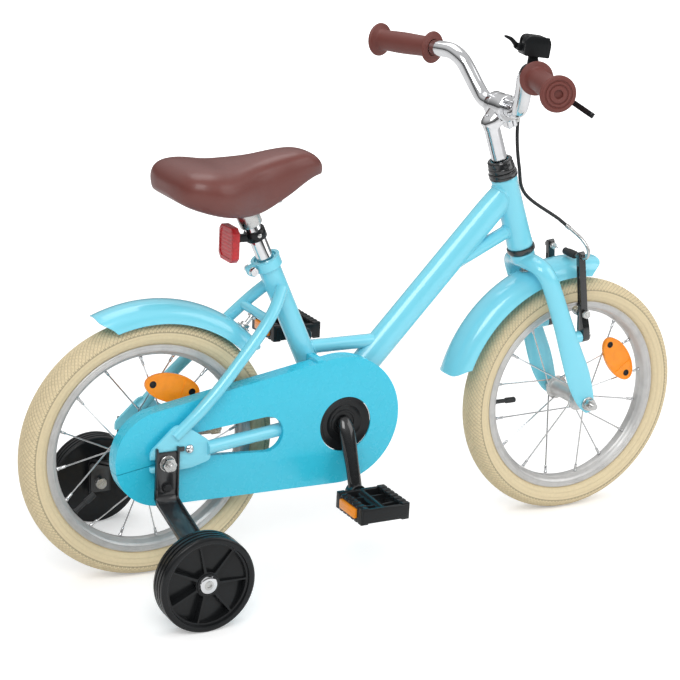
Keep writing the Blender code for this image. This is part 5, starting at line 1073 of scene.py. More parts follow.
def weld(end, run, half_across, half_up, post, post_radius, bead, count):
    """A bead where a tube that runs to this end meets a round post."""
    run = run.normalized()
    up, to_post, loop = run.cross(Y), post.inverted(), []
    for i in range(count):
        t = tau * i / count
        here = end + Y * (half_across * cos(t)) + up * (half_up * sin(t))
        low, way = (to_post @ here).to_2d(), (to_post.to_3x3() @ run).to_2d()
        a, b, c = way.dot(way), low.dot(way), low.dot(low) - post_radius ** 2
        if b * b >= a * c:
            loop.append(here + run * ((-b - sqrt(b * b - a * c)) / a))
    widths = [1.0 + 0.18 * (i % 2) for i in range(len(loop) + 1)]
    return straight("weld", loop + [loop[0]], bead, widths, sides=1)


def frame_welds():
    """Weld beads at the frame's main joints."""
    low, high = on_down_tube(0.0), on_down_tube(1.0)
    cross, brace = seat_point(0.107), steer(0.0, 0.0, 0.031)
    part = (cross.z - BRACKET.z) / (high.z - BRACKET.z)
    beads = [weld(high, high - low, 0.0155, 0.019, HEAD_FRAME, HEAD_RADIUS + 0.0004, 0.0017, 72)]
    posts = ((brace, on_down_tube(0.62), HEAD_FRAME, HEAD_RADIUS + 0.0003),
        (cross, on_down_tube(part), towards(BRACKET, SEAT_UP), 0.0153))
    for end, foot, post, radius in posts:
        beads.append(weld(end, end - foot, 0.0095, 0.0095, post, radius, 0.0013, 40))
    return joined("frame_welds", beads)


def seat_collar():
    """Clamp round the seat tube's top: rolled ears behind, a slit and a bolt."""
    frame = towards(seat_point(SEAT_TOP - 0.004), SEAT_UP)
    inner = 0.01535
    collar = hoop("seat_collar", mm((15.35, -8), (18.45, -8), (19.05, -7.3), (19.05, 5), (20.05, 5.8),
        (20.05, 6.6), (18.65, 7), (15.35, 7)), frame, steps=64)
    ears = boxed("ears", (0.014, 0.0125, 0.0125), frame @ shift(x=-inner - 0.0078), soft=0.0022, segments=3)
    cut(collar, ears, how="UNION")
    cut(collar, rod("hollow", frame, inner, -0.02, 0.02, 64),
        boxed("slit", (0.03, 0.0016, 0.03), frame @ shift(x=-inner - 0.01), soft=0.0001, segments=1))
    across = frame @ shift(x=-inner - 0.009) @ rotated(pi / 2, "X")
    bolt = stud("bolt", across, 0.0026, -0.0122, 0.0122)
    head = turned("head", mm((0, 6.4), (6, 6.4), (6.3, 7), (6.3, 10.4), (5, 12.2), (2.2, 12.2), (2, 10.6),
        (0, 10.6)), across, steps=32)
    nut = hex_nut("nut", across @ shift(z=-0.0116), 0.0088, 0.0048)
    tinted(closed_up(collar, merge=FINE), "paint")
    metal = tinted(joined("collar_bolt", [bolt, head, nut]), "chrome")
    return joined("seat_collar", [collar, metal])


def headset(name, profile, height=0.0, notches=0):
    """A turned headset ring, with spanner flats where it has them."""
    piece = hoop(name, profile, HEAD_FRAME @ shift(z=height), steps=64)
    for i in range(notches):
        flat = HEAD_FRAME @ rotated(tau * (i + 0.5) / notches, "Z") @ shift(x=0.0193, z=0.129)
        cut(piece, boxed("flat", (0.004, 0.012, 0.0052), flat, soft=0.0004))
    return piece


def brake_pivot(side):
    return towards(brake(0.0, side * PIVOT_Y, 0.0), ARM_OUT, Y)


def fork_body():
    """Fork: steerer, sloped crown, blades that flatten to their tips, and brake studs."""
    fork = rod("bike_fork", HEAD_FRAME, 0.0127, CROWN_S - 0.002, 0.1315)
    pieces = [turned("race", mm((0, -20.5), (17, -20.5), (17.5, -19.5), (17.5, -10), (16.8, -9.3),
        (0, -9.3)), HEAD_FRAME, steps=64)]
    # Ahead of the steering axis, out to the side, height, half depth and half width
    path = mm((0, 0, -20.5, 15.1, 10.2), (0, 12, -21.1, 15, 10), (2, 26, -24, 14.3, 9.8),
        (4, 37.5, -29.5, 13.7, 9.5), (6.2, 44, -41, 13.6, 9), (8, 46.2, -58, 13.8, 8.6),
        (11, 47, -110, 14.6, 8.5), (13, 47.6, -160, 17.2, 6.8), (14.8, 48.8, -200, 19.4, 4.4),
        (16, 49, -228, 17.8, 2.9), (18, 49, -252, 13, 2.6), (18.9, 49, -264.9, 6, 2.6))
    rows = flowing(path, 4)
    for side in (1, -1):
        rings = []
        for i, (f, lateral, s, deep, wide) in enumerate(rows):
            before, after = rows[max(i - 1, 0)], rows[min(i + 1, len(rows) - 1)]
            run = steer(after[0], side * after[1], after[2]) - steer(before[0], side * before[1], before[2])
            across = run.normalized().cross(HEAD_AHEAD)
            rings.append(oval(steer(f, side * lateral, s), HEAD_AHEAD, deep, across, wide))
        pieces.append(lofted("blade", rings, sides=36))
        pieces.append(turned("brake_stud", mm((0, -26), (8.5, -26), (8.5, -6.4), (7.9, -5.8), (5, -5.8),
            (5, 7), (0, 7)), brake_pivot(side), steps=40))
    cut(fork, *pieces, how="UNION")
    bores = [rod("quill_bore", HEAD_FRAME, 0.0118, -0.008, 0.2)]
    for side in (1, -1):
        bores.append(rod("tip_bore", towards(FRONT_AXLE, Y * side), 0.005, 0.03, 0.07, 32))
    tinted(closed_up(cut(fork, *bores), merge=FINE), "paint")
    screw = mm((0, 5.6), (6.8, 5.6), (7.4, 6.2), (7.4, 7.2), (6, 8.6), (2.6, 8.6), (2.4, 7), (0, 7))
    heads = [tinted(turned("pivot_screw", screw, brake_pivot(side), steps=36), "steel") for side in (1, -1)]
    return joined("bike_fork", [fork] + heads)


def quill_stem():
    """Forged stem: quill, hollowed neck with side grooves, bar clamp, lug and slit."""
    rise = STEM_RISE
    quill = turned("stem_body", mm((0, 60), (11.1, 60), (11.1, 179.4), (11.8, 183.4), (12.2, 189.4),
        (10.8, 194.4), (0, 195.4)), HEAD_FRAME)
    run = (CLAMP - steer(0.0, 0.0, rise - 0.016)).normalized()
    across = run.cross(Y)
    shape = ((-0.0075, 0.02, 0.01, 0.0105), (-0.004, 0.018, 0.0122, 0.0128), (0.002, 0.0145, 0.014, 0.0138),
        (0.008, 0.011, 0.0148, 0.014), (0.015, 0.006, 0.0152, 0.014), (STEM_REACH, 0.0, 0.015, 0.014))
    rings = [oval(steer(ahead, 0.0, rise - drop), Y, wide, across, deep)
        for ahead, drop, wide, deep in shape]
    neck = lofted("neck", rings, sides=40)
    bar = towards(CLAMP, Y)
    clamp = turned("clamp", mm((0, -20), (16.5, -20), (18, -18.8), (18.5, -17), (18.5, -8.5), (17.9, -7.8),
        (17.9, 7.8), (18.5, 8.5), (18.5, 17), (18, 18.8), (16.5, 20), (0, 20)), bar, steps=64)
    lug = boxed("lug", (0.0155, 0.0175, 0.0215),
        towards(steer(STEM_REACH + 0.006, 0.0, rise - 0.022), HEAD_UP), soft=0.003, segments=3)
    cap = turned("expander", mm((0, -1), (6.5, -1), (6.5, 8.5), (5.8, 10), (3.4, 10.3), (3.2, 7), (0, 7)),
        towards(steer(0.0, 0.0, rise - 0.0118), HEAD_UP), steps=40)
    cut(quill, neck, clamp, lug, how="UNION")
    tools = [rod("bar_bore", bar, 0.0114, -0.05, 0.05),
        boxed("slit", (0.0022, 0.06, 0.034), towards(steer(STEM_REACH + 0.006, 0.0, rise - 0.026), HEAD_UP),
        soft=0.0001, segments=1)]
    for side in (1, -1):
        middle = steer(0.009, side * 0.0162, rise - 0.0105)
        tools.append(boxed("groove", (0.02, 0.004, 0.005), towards(middle, across, run), soft=0.0012))
    return joined("quill_stem", [closed_up(cut(quill, *tools), merge=FINE), cap])


def bar_path(side):
    shape = mm((0, 0, 0), (34, 0, 0), (46, -2, 4), (56, -6, 16), (71, -14, 40), (80, -20, 54),
        (97, -25.5, 62), (112, -30.372, 62), (226, -67.5, 59))
    return [Vector((CLAMP.x + x, side * y, CLAMP.z + z)) for y, x, z in shape]


def grip_axis(side):
    path = bar_path(side)
    return (path[-1] - path[-2]).normalized()


def on_bar(side, y):
    end, axis = bar_path(side)[-1], grip_axis(side)
    return end + axis * ((side * y - end.y) / axis.y)


def riser_bar():
    """Chromed riser bar with smooth bends."""
    rows = [Vector(point) for point in reversed(bar_path(-1))] + bar_path(1)[1:]
    path = eased([tuple(row) for row in rows], 0.01, count=5)
    return straight("riser_bar", path, BAR_RADIUS, sides=12)


def mushroom_grip(side):
    """Grip with a wide inner flange, a waisted body, and a stepped end cap with a hole."""
    frame = towards(on_bar(side, 0.13), grip_axis(side))
    reach = (bar_path(side)[-1] - on_bar(side, 0.13)).length + 0.0003
    profile = mm((11.8, 0), (20.5, 0), (22.1, 0.8), (22.6, 2.2), (22.1, 3.7), (20, 4.5), (16.8, 5.5),
        (15.2, 7.5), (14.6, 11), (14.4, 18), (14.7, 32), (15.3, 50), (15.3, 62), (14.9, 78), (14.5, 90),
        (14.8, 94.5), (16, 97.4), (19.2, 99.2), (22.4, 100), (23.5, 101.4), (23.6, 102.9), (22.9, 104.2),
        (21.2, 104.8), (20.8, 105.5), (18.2, 105.9), (17.8, 104.7), (16.2, 104.5), (15.8, 105.7),
        (13, 106.2), (12.6, 104.9), (11.2, 104.7), (10.8, 106), (6.6, 106.7), (5.8, 106.1),
        (5.6, 105.1)) + [(0.0056, reach + 0.0012), (0.0, reach + 0.0012), (0.0, reach + 0.0003),
        (0.0118, reach + 0.0003)]
    return hoop("mushroom_grip", profile, frame, steps=72)


class OBJECT_OT_bike_frame(bpy.types.Operator):
    """Model the welded frame, the seat collar and the headset"""

    bl_idname = "object.bike_frame"
    bl_label = "Frame"

    def execute(self, context):
        body = tinted(frame_body(), "paint")
        welds = tinted(frame_welds(), "paint")
        done(joined("bike_frame", [body, welds]), "frame_body", "frame_paint", None, "frame", angle=32.0)
        done(seat_collar(), "frame_body", "frame_paint", None, "seat_collar")
        upper = mm((13.3, -10), (15.2, -10), (15.2, 0.3), (19.2, 0.3), (20, 1), (20.2, 4), (19.8, 4.8),
            (20.2, 5.6), (20, 8.2), (18, 9.8), (13.3, 10))
        done(headset("headset_upper", upper, HEAD_LENGTH), "frame_body", "black_steel", "black",
            "headset_upper_cup")
        lower = mm((13.3, 10), (15.2, 10), (15.2, -0.3), (19.2, -0.3), (20, -1), (20.2, -3), (20, -6.4),
            (18.2, -8.8), (13.3, -9))
        done(headset("headset_lower", lower), "frame_body", "black_steel", "black", "headset_lower_cup")
        for side, label in SIDES:
            cup = mm((10.1, 22), (23.2, 22), (23.2, 34.3), (24.8, 34.3), (25.2, 35), (24.2, 35.8),
                (15, 35.2), (10.1, 35.2))
            piece = hoop("bracket_cup_" + label + "_ring", cup, towards(BRACKET, Y * side), steps=56)
            done(piece, "frame_body", "steel", "steel", "bracket_cup_" + label)
        return {"FINISHED"}


class OBJECT_OT_bike_steering(bpy.types.Operator):
    """Model the fork, the stem, the handlebar and the grips"""

    bl_idname = "object.bike_steering"
    bl_label = "Steering"

    def execute(self, context):
        done(fork_body(), "steering", "frame_paint", None, "fork", angle=32.0)
        nut = mm((13, 0), (18.4, 0), (18.7, 0.6), (18.7, 5.2), (18.3, 5.8), (18, 6.2), (18, 13.8),
            (16.8, 15.8), (15.7, 16.5), (13, 16.5))
        done(headset("headset_nut", nut, HEAD_LENGTH + 0.0103, notches=6), "steering", "black_steel",
            "black", "headset_top_nut")
        done(quill_stem(), "steering", "bright_metal", "chrome", "stem", angle=32.0)
        place = towards(steer(STEM_REACH + 0.006, 0.0, STEM_RISE - 0.0255), HEAD_AHEAD, Y)
        bolt = turned("pinch_bolt", mm((0, 8.4), (5, 8.4), (5.2, 9), (5.2, 12.8), (4.4, 14), (2.6, 14),
            (2.4, 11.8), (0, 11.8)), place, steps=36)
        done(bolt, "steering", "steel", "steel", "stem_bolt")
        done(riser_bar(), "steering", "bright_metal", "chrome", "handlebar")
        for side, label in SIDES:
            grip = mushroom_grip(side)
            grip.name = "mushroom_grip_" + label
            done(grip, "steering", "saddle_and_grips", "grip", "grip_" + label, angle=30.0)
        return {"FINISHED"}


# Drive, chain case, fenders and stabilisers


def rounded_where(piece, chosen, width, segments=3):
    """Round the edges whose two ends both lie where chosen(point) holds."""
    only(piece)
    mode("EDIT")
    bpy.ops.mesh.select_mode(type="EDGE")
    bpy.ops.mesh.select_all(action="DESELECT")
    build = bmesh.from_edit_mesh(piece.data)
    for edge in build.edges:
        ends = [vertex.co for vertex in edge.verts]
        edge.select_set(all(chosen(end) for end in ends) and edge.calc_face_angle(0.0) > 0.6)
    bmesh.update_edit_mesh(piece.data)
    bpy.ops.mesh.bevel(offset=width, segments=segments, affect="EDGES", clamp_overlap=True)
    bpy.ops.mesh.select_mode(type="VERT")
    mode("OBJECT")
    return piece


def belt(first, second, distance):
    """The function that gives the point at any length of a chain's loop round two circles."""
    wrap = pi / 2 + asin((first - second) / distance)
    straight_run = sqrt(distance ** 2 - (first - second) ** 2)
    upper, around = first * wrap, second * (tau - 2 * wrap)
    total = 2 * upper + 2 * straight_run + around

    def on_first(turn):
        return Vector((first * cos(turn), first * sin(turn)))

    def on_second(turn):
        return Vector((second * cos(turn) - distance, second * sin(turn)))

    def at(length):
        length %= total
        if length < upper:
            return on_first(length / first)
        length -= upper
        if length < straight_run:
            return on_first(wrap).lerp(on_second(wrap), length / straight_run)
        length -= straight_run
        if length < around:
            return on_second(wrap + length / second)
        length -= around
        if length < straight_run:
            return on_second(-wrap).lerp(on_first(-wrap), length / straight_run)
        return on_first((length - straight_run) / first - wrap)

    return at


def pitch_radius(teeth):
    return CHAIN_PITCH / (2 * sin(pi / teeth))


def chain_pins():
    """The pins' places round the loop, from the crank's axis, before the chain is tilted."""
    at = belt(pitch_radius(RING_TEETH), pitch_radius(COG_TEETH), CHAIN_STAY)
    length, points = 0.0, []
    for _ in range(CHAIN_LINKS):
        here = at(length)
        points.append(here)
        low, high = length + CHAIN_PITCH, length + 1.3 * CHAIN_PITCH
        for _ in range(40):
            middle = (low + high) / 2
            if (at(middle) - here).length < CHAIN_PITCH:
                low = middle
            else:
                high = middle
        length = high
    return points


def roller_chain():
    """Bush roller chain of inner and outer links."""
    half = CHAIN_PITCH / 2
    eight = arc(half, 0.0, 0.0042, -58, 58, 5) + arc(-half, 0.0, 0.0042, 122, 238, 5)
    eight = eight[:5] + [(0.0, 0.0031)] + eight[5:] + [(0.0, -0.0031)]
    parts = {}
    for kind, y, bar, reach in (("inner", 0.00285, 0.0039, 0.0024), ("outer", 0.00375, 0.0018, 0.0042)):
        made = [plate(kind, [eight], 0.0009, side_on(side * y)) for side in (1, -1)]
        for end in (half, -half):
            made.append(rod("pin", shift(x=end) @ towards((0, 0, 0), Y), bar, -reach, reach, 12))
        parts[kind] = joined(kind, made)
    tilt = Matrix.Rotation(CHAIN_TILT, 2)
    pins = [tilt @ point for point in chain_pins()]
    links = []
    for i, pin in enumerate(pins):
        there = pins[(i + 1) % len(pins)]
        middle = (pin + there) / 2
        run = (there - pin).normalized()
        place = shift(BRACKET.x + middle.x, CHAIN_Y, BRACKET.z + middle.y)
        place = place @ rotated(-atan2(run.y, run.x), "Y")
        links.append(copied(parts["inner" if i % 2 else "outer"], "link", place))
    for model in parts.values():
        bpy.data.objects.remove(model)
    return joined("roller_chain", links)


def tooth_loop(teeth, phase):
    """Outline of a chain wheel whose tooth gaps hold the rollers."""
    radius = pitch_radius(teeth)
    points = []
    for i in range(teeth):
        turn = phase + tau * i / teeth
        out = Vector((cos(turn), sin(turn)))
        along = Vector((-sin(turn), cos(turn)))
        for lean in (-72, -36, 0, 36, 72):
            a = radians(lean)
            points.append(tuple(out * (radius - 0.0043 * cos(a)) + along * (0.0043 * sin(a))))
        for lean in (-0.0011, 0.0011):
            a = turn + pi / teeth + lean / radius
            points.append(((radius + 0.003) * cos(a), (radius + 0.003) * sin(a)))
    return points


def one_piece_crank():
    """Forged crank: spindle, two swept arms, bosses and the pedals' spindles."""
    crank = rod("one_piece_crank", towards(BRACKET, Y), 0.0095, -0.05, 0.05)
    # Out from the axis, to the side, half width and half thickness
    rows = flowing(mm((-6, 44, 7, 6), (-3, 47, 9.8, 7), (6, 53, 11.4, 7.5), (20, 58.5, 11.4, 7),
        (50, 68, 10, 6.2), (75, 75, 9.8, 6.2), (89, 78, 9.8, 6.3)), 5)
    for side in (-1, 1):
        out = outward(CRANK_ANGLE) * -side
        across = out.cross(Y)
        rings = []
        for i, (reach, lateral, half, thick) in enumerate(rows):
            before, after = rows[max(i - 1, 0)], rows[min(i + 1, len(rows) - 1)]
            run = out * (after[0] - before[0]) + Y * (side * (after[1] - before[1]))
            normal = run.normalized().cross(across)
            rings.append(oval(BRACKET + out * reach + Y * (side * lateral), across, half, normal, thick))
        arm = lofted("arm", rings, sides=32)
        end = towards(BRACKET + out * CRANK_LENGTH, Y * side)
        boss = turned("boss", mm((0, 69.5), (11.6, 69.5), (12.5, 70.6), (12.5, 84.2), (11.6, 85.5),
            (0, 85.5)), end)
        spindle = turned("spindle", mm((0, 78), (7.2, 78), (7.2, 87), (4.5, 87.5), (4.5, 156), (0, 156)),
            end, steps=32)
        cut(crank, arm, boss, spindle, how="UNION")
    return closed_up(crank, merge=FINE)


def cage_pedal(side, name):
    """Cage pedal: barrel, toothed treads, side plates, webs and a reflector in each tread."""
    out = outward(CRANK_ANGLE) * (-side * CRANK_LENGTH)
    centre = BRACKET + out + Y * (side * PEDAL_Y)
    frame = Matrix.Translation(centre)
    teeth = []
    for k in range(7):
        y = -0.0355 + 0.01014 * k
        teeth += [(y, 0.0115), (y + 0.0072, 0.0115), (y + 0.0079, 0.0088), (y + 0.0095, 0.0088)]
    teeth = teeth[:-3] + [(0.0355, 0.0115)]
    teeth += [(-y, -z) for y, z in teeth]
    lay = Matrix(((0, 0, 1, 0), (1, 0, 0, 0), (0, 1, 0, 0), (0, 0, 0, 1)))
    pieces, strips = [], []
    for end in (1, -1):
        tread = plate("tread", [teeth], 0.011, frame @ shift(x=end * 0.0305) @ lay, soft=0.0007)
        cut(tread, boxed("pocket", (0.008, 0.0446, 0.015), frame @ shift(x=end * 0.0378), soft=0.0004))
        pieces.append(tread)
        strips.append(boxed("strip", (0.0056, 0.042, 0.0126), frame @ shift(x=end * 0.0364), soft=0.001))
        rail = boxed("rail", (0.068, 0.006, 0.02), frame @ shift(y=end * 0.0335), soft=0.0016, segments=3)
        pieces.append(rail)
        pieces.append(boxed("web", (0.056, 0.003, 0.013), frame @ shift(y=end * 0.015), soft=0.0006))
    barrel = hoop("barrel", mm((5.3, -36.2), (8.6, -36.2), (9.5, -35), (9.5, -30), (8.8, -28), (8.8, 28),
        (9.5, 30), (9.5, 35), (8.6, 36.2), (5.3, 36.2)), towards(centre, Y * side), steps=40)
    pieces.append(barrel)
    body = tinted(joined(name, pieces), "plastic")
    cap = turned("dust_cap", mm((0, 36.4), (0, 31.2), (5.2, 31.2), (5.2, 35.9), (3.6, 36.4)),
        towards(centre, Y * side), steps=32)
    reflectors = tinted(joined("strips", strips), "amber")
    return joined(name, [body, tinted(cap, "plastic"), reflectors])


def guard_loop(grow):
    """Side view of the chain case: a belt round the chain wheel and the sprocket."""
    big, small = 0.089 + grow, 0.0645 + grow
    front, back = Vector((BRACKET.x - 0.008, BRACKET.z + 0.006)), Vector((REAR_X, AXLE_Z + 0.001))
    run = front - back
    turn = degrees(atan2(run.y, run.x))
    wrap = 90.0 + degrees(asin((big - small) / run.length))
    return (arc(front.x, front.y, big, turn - wrap, turn + wrap, 61)
        + arc(back.x, back.y, small, turn + wrap, turn + 360 - wrap, 61))


def slot_loop(grow):
    """The opening for the chain stay, grown by this much all round."""
    loop = arc(REAR_X + 0.147, AXLE_Z + 0.0155, 0.0245 + grow, -88, 96, 25)
    loop += [(REAR_X + 0.044 - grow, AXLE_Z + 0.03 + grow), (REAR_X + 0.044 - grow, AXLE_Z - 0.002 - grow)]
    return rounded(loop, 0.003)


def chain_case():
    """Chain case with a rounded face edge, a crank hole, a stay slot and an axle notch."""
    face, back = GUARD_Y, GUARD_Y + GUARD_DEPTH
    middle = (face + back) / 2
    case = plate("chain_case", [guard_loop(0.0)], GUARD_DEPTH, side_on(middle))
    rounded_where(case, lambda point: point.y < face + 0.0001, 0.003, segments=4)
    room = plate("room", [guard_loop(-0.002)], GUARD_DEPTH, side_on(middle + 0.002))
    hole = rod("hole", towards(BRACKET, Y), 0.0382, -0.07, -0.04, 96)
    slot = plate("slot", [slot_loop(0.0)], 0.02, side_on(face))
    notch = [(REAR_X - 0.011, AXLE_Z + 0.01)] + arc(REAR_X, AXLE_Z, 0.011, 180, 360, 17)
    notch += [(REAR_X + 0.011, AXLE_Z + 0.01)]
    cut(case, room, hole, slot, plate("notch", [notch], 0.02, side_on(face)))
    return case


def chain_case_pieces():
    """The case with its strap, boss, slot edge and a painted-shade sheet behind the gap, and its lower rear
    cap.
    """
    case = chain_case()
    cap = copied(case, "chain_case_cap", Matrix())
    split = Vector((REAR_X + 0.004, AXLE_Z - 0.004))

    def lower_rear(grow, rise):
        return [(split.x + grow, split.y + rise), (split.x - 0.12, split.y - 0.02 + rise),
            (split.x - 0.12, split.y - 0.12), (split.x + grow, split.y - 0.12)]

    cut(cap, plate("region", [lower_rear(0.0, 0.0)], 0.08, side_on(GUARD_Y)), how="INTERSECT")
    cut(case, plate("gap", [lower_rear(0.001, 0.001)], 0.08, side_on(GUARD_Y)))
    face = GUARD_Y + 0.001
    rise = (0.276 - BRACKET.z) / sin(SEAT_ANGLE)
    strap_x = seat_point(rise).x
    strap = boxed("strap", (0.012, -0.0153 - face, 0.015), shift(strap_x, (-0.0153 + face) / 2, 0.276),
        soft=0.0012)
    boss = rod("boss", towards((REAR_X + 0.03, 0.0, AXLE_Z + 0.004), Y), 0.0055, -0.0495, -0.058, 32)
    turned_in = plate("turned_in", [slot_loop(0.0012)], 0.007, side_on(GUARD_Y + 0.0048))
    cut(turned_in, plate("opening", [slot_loop(-0.0002)], 0.02, side_on(GUARD_Y)))
    # A black rubber sheet behind the gap round the cap makes the gap read dark: painted shade.
    seam = plate("seam", [lower_rear(0.004, 0.0042)], 0.0016, side_on(GUARD_Y + 0.0024))
    cut(seam, plate("within", [guard_loop(-0.0025)], 0.02, side_on(GUARD_Y)), how="INTERSECT")
    blue = [tinted(part, "guard") for part in (case, turned_in, strap, boss)]
    return joined("chain_case", blue + [tinted(seam, "rubber")]), cap


def rolled_border(sheet, radius):
    """A thin round edge along the whole border of a sheet."""
    edit(sheet)
    bpy.ops.mesh.region_to_loop()
    bpy.ops.mesh.duplicate()
    bpy.ops.mesh.separate(type="SELECTED")
    border = [piece for piece in bpy.context.selected_objects if piece != sheet][0]
    only(border)
    bpy.ops.object.convert(target="CURVE")
    border.data.bevel_depth = radius
    border.data.bevel_resolution = 2
    bpy.ops.object.convert(target="MESH")
    return closed_up(border)


def fender(name, radius, x, start, end):
    """Pressed steel fender: a crowned arch with rounded ends and a rolled border."""
    half, drop, reach = 0.027, 0.024, radians(end - start)
    rows = []
    for i in range(21):
        t = radians(-90 + 9 * i)
        rows.append((radius - drop * (1 - max(cos(t), 0.0) ** 0.7), half * sin(t)))
    piece = spun(rows, 100, reach)
    for vertex in piece.data.vertices:
        turn, out = -atan2(vertex.co.y, vertex.co.x), hypot(vertex.co.x, vertex.co.y)
        wide = max(0.0, (abs(vertex.co.z) / half - 0.5) / 0.5)
        inset = 0.017 / radius * (1 - sqrt(max(0.0, 1 - wide ** 2)))
        turn = inset + turn * (1 - 2 * inset / reach)
        vertex.co.x, vertex.co.y = out * cos(turn), -out * sin(turn)
    closed_up(piece)
    border = rolled_border(piece, 0.001)
    with_modifier(piece, "SOLIDIFY", thickness=0.0013, offset=0.0)
    return placed(joined(name, [piece, border]), name, wheel_place(x) @ rotated(-radians(start), "Z"))


def fender_bolt(name, low, out, gap):
    """Bolt between a fender and its seat: washer, nut, stud and collar."""
    place = towards(low, out, Y)
    parts = [drum("washer", place, 0.0095, 0.0, 0.0014, 0.0003, 40),
        hex_nut("nut", place @ shift(z=0.0013), 0.011, 0.0048),
        turned("stud", [(0.0, 0.003), (0.003, 0.003), (0.003, gap - 0.003), (0.0062, gap - 0.0024),
        (0.0062, gap), (0.0, gap)], place, steps=32)]
    return joined(name, parts)


def bent_band(thickness, low, high):
    """Front view, as (y, z), of a stabiliser bracket's steel between two heights."""
    line = [(0.0632, high), (0.0632, 0.122), (0.1658, 0.094), (0.1658, low)]
    if low > 0.1:
        line = [(0.0632, high), (0.0632, low)]
    line = [Vector(point) for point in eased(line, 0.013, count=6)]
    near, far = [], []
    for i, point in enumerate(line):
        before = (line[i] - line[i - 1]).normalized() if i else (line[1] - line[0]).normalized()
        after = (line[i + 1] - line[i]).normalized() if i + 1 < len(line) else before
        way = (before + after).normalized()
        normal = Vector((-way.y, way.x))
        near.append(tuple(point))
        far.append(tuple(point + normal * thickness))
    return near + list(reversed(far))


def stabiliser_bracket(side, name):
    """Pressed bracket: horned lips on its upper half, axle hole, bolts and wheel pin."""
    view = Matrix(((0, 0, side, REAR_X), (side, 0, 0, 0), (0, 1, 0, 0), (0, 0, 0, 1)))
    web = plate(name, [bent_band(0.0032, 0.049, 0.189)], 0.032, view)
    cut(web, rod("axle_hole", towards(REAR_AXLE, Y * side), 0.0051, 0.05, 0.075, 32),
        rod("height_hole", towards((REAR_X, 0.0, 0.141), Y * side), 0.0042, 0.05, 0.08, 32))
    web = softened(closed_up(web, merge=FINE), 0.0007)
    lips = [plate("lip", [bent_band(deep, low, high)], 0.0028, shift(edge * 0.0146) @ view, soft=0.0006)
        for edge in (1, -1) for deep, low, high in ((0.0056, 0.124, 0.195), (0.006, 0.049, 0.14))]
    place = towards((REAR_X, 0.0, 0.141), Y * side)
    screw = hex_nut("height_nut", place @ shift(z=0.066), 0.0105, 0.0042)
    bolt_place = towards((REAR_X, 0.0, STABILISER_R), Y * side)
    bolt = turned("bolt", mm((0, 159), (7.4, 159), (8, 159.8), (8, 173), (7.4, 173.8), (4.8, 173.8),
        (4.8, 201.2), (7.8, 201.2), (8.6, 202), (8.2, 204), (6, 205), (0, 205.3)), bolt_place, steps=40)
    cut(bolt, hex_nut("socket", bolt_place @ shift(z=0.2036), 0.0062, 0.006))
    tab = boxed("tab", (0.01, 0.003, 0.006), shift(REAR_X + 0.0185, side * 0.0648, AXLE_Z + 0.0165))
    button = turned("button", mm((0, 64), (5.6, 64), (5.8, 65.2), (4.6, 67), (2.2, 67.8), (2, 66.8),
        (0, 66.8)), towards((REAR_X + 0.031, 0.0, AXLE_Z + 0.015), Y * side), steps=32)
    black = [tinted(part, "satin") for part in (web, screw, tab, *lips)]
    return joined(name, black + [tinted(button, "chrome"), tinted(bolt, "steel")])


def stabiliser_wheel(side, name):
    """Solid wheel with grooved tread, seven tilted pockets and a bright hub cap."""
    frame = towards((REAR_X, side * STABILISER_Y, STABILISER_R), Y * side)
    profile = mm((5.4, -12), (10, -12.8), (58.5, -15), (61, -14.6), (62.5, -13.3), (63, -11.5))
    for groove in (-0.007, 0.0, 0.007):
        profile += [(0.063, groove - 0.0016), (0.0612, groove - 0.001), (0.0612, groove + 0.001),
            (0.063, groove + 0.0016)]
    profile += mm((63, 11.5), (62.5, 13.3), (61, 14.6), (59.2, 15), (56, 15), (54.8, 14.4), (54, 11.2),
        (53.2, 10.8), (15, 10.8), (14.4, 12), (13.2, 12.4), (6, 12.4), (5.4, 11.8))
    wheel = hoop(name, profile, frame, steps=96)
    pockets = []
    for k in range(7):
        turn, wide = k * 360 / 7, 360 / 7
        outline = arc(0.0, 0.0, 0.0515, turn + 1.4, turn + wide - 1.4, 11)
        outline += arc(0.0, 0.0, 0.016, turn + wide - 6.5, turn + 6.5, 5)
        tilt = rotated(radians(turn + wide / 2), "Z") @ rotated(-0.15, "X")
        tilt = tilt @ rotated(-radians(turn + wide / 2), "Z")
        pockets.append(plate("pocket", [rounded(outline, 0.0015, count=2)], 0.016,
            frame @ shift(z=0.0115) @ tilt))
    cut(wheel, joined("pockets", pockets))
    closed_up(wheel, merge=FINE)
    cap = hoop("hub_cap", mm((5.8, 12), (11.4, 12), (11.8, 12.8), (11, 14.1), (9.2, 14.9), (5.8, 14.9)),
        frame)
    return joined(name, [tinted(wheel, "plastic"), tinted(cap, "chrome")])


def coaster_arm():
    """Stamped reaction arm of the coaster brake, with a pressed rib."""
    loop = arc(REAR_X, AXLE_Z, 0.0135, 68, 300, 33)
    loop += [(REAR_X + 0.122, AXLE_Z - 0.0125)] + arc(REAR_X + 0.1225, AXLE_Z - 0.007, 0.0055, -90, 90, 13)
    hole = list(reversed(circle(0.0053, 24, cx=REAR_X, cy=AXLE_Z)))
    arm = plate("coaster_arm_plate", [loop, hole], 0.0026, side_on(0.049), soft=0.0005)
    rib = boxed("rib", (0.08, 0.0016, 0.004), shift(REAR_X + 0.066, 0.0506, AXLE_Z - 0.006)
        @ rotated(0.055, "Y"), soft=0.0007)
    return joined("coaster_arm_plate", [arm, rib])


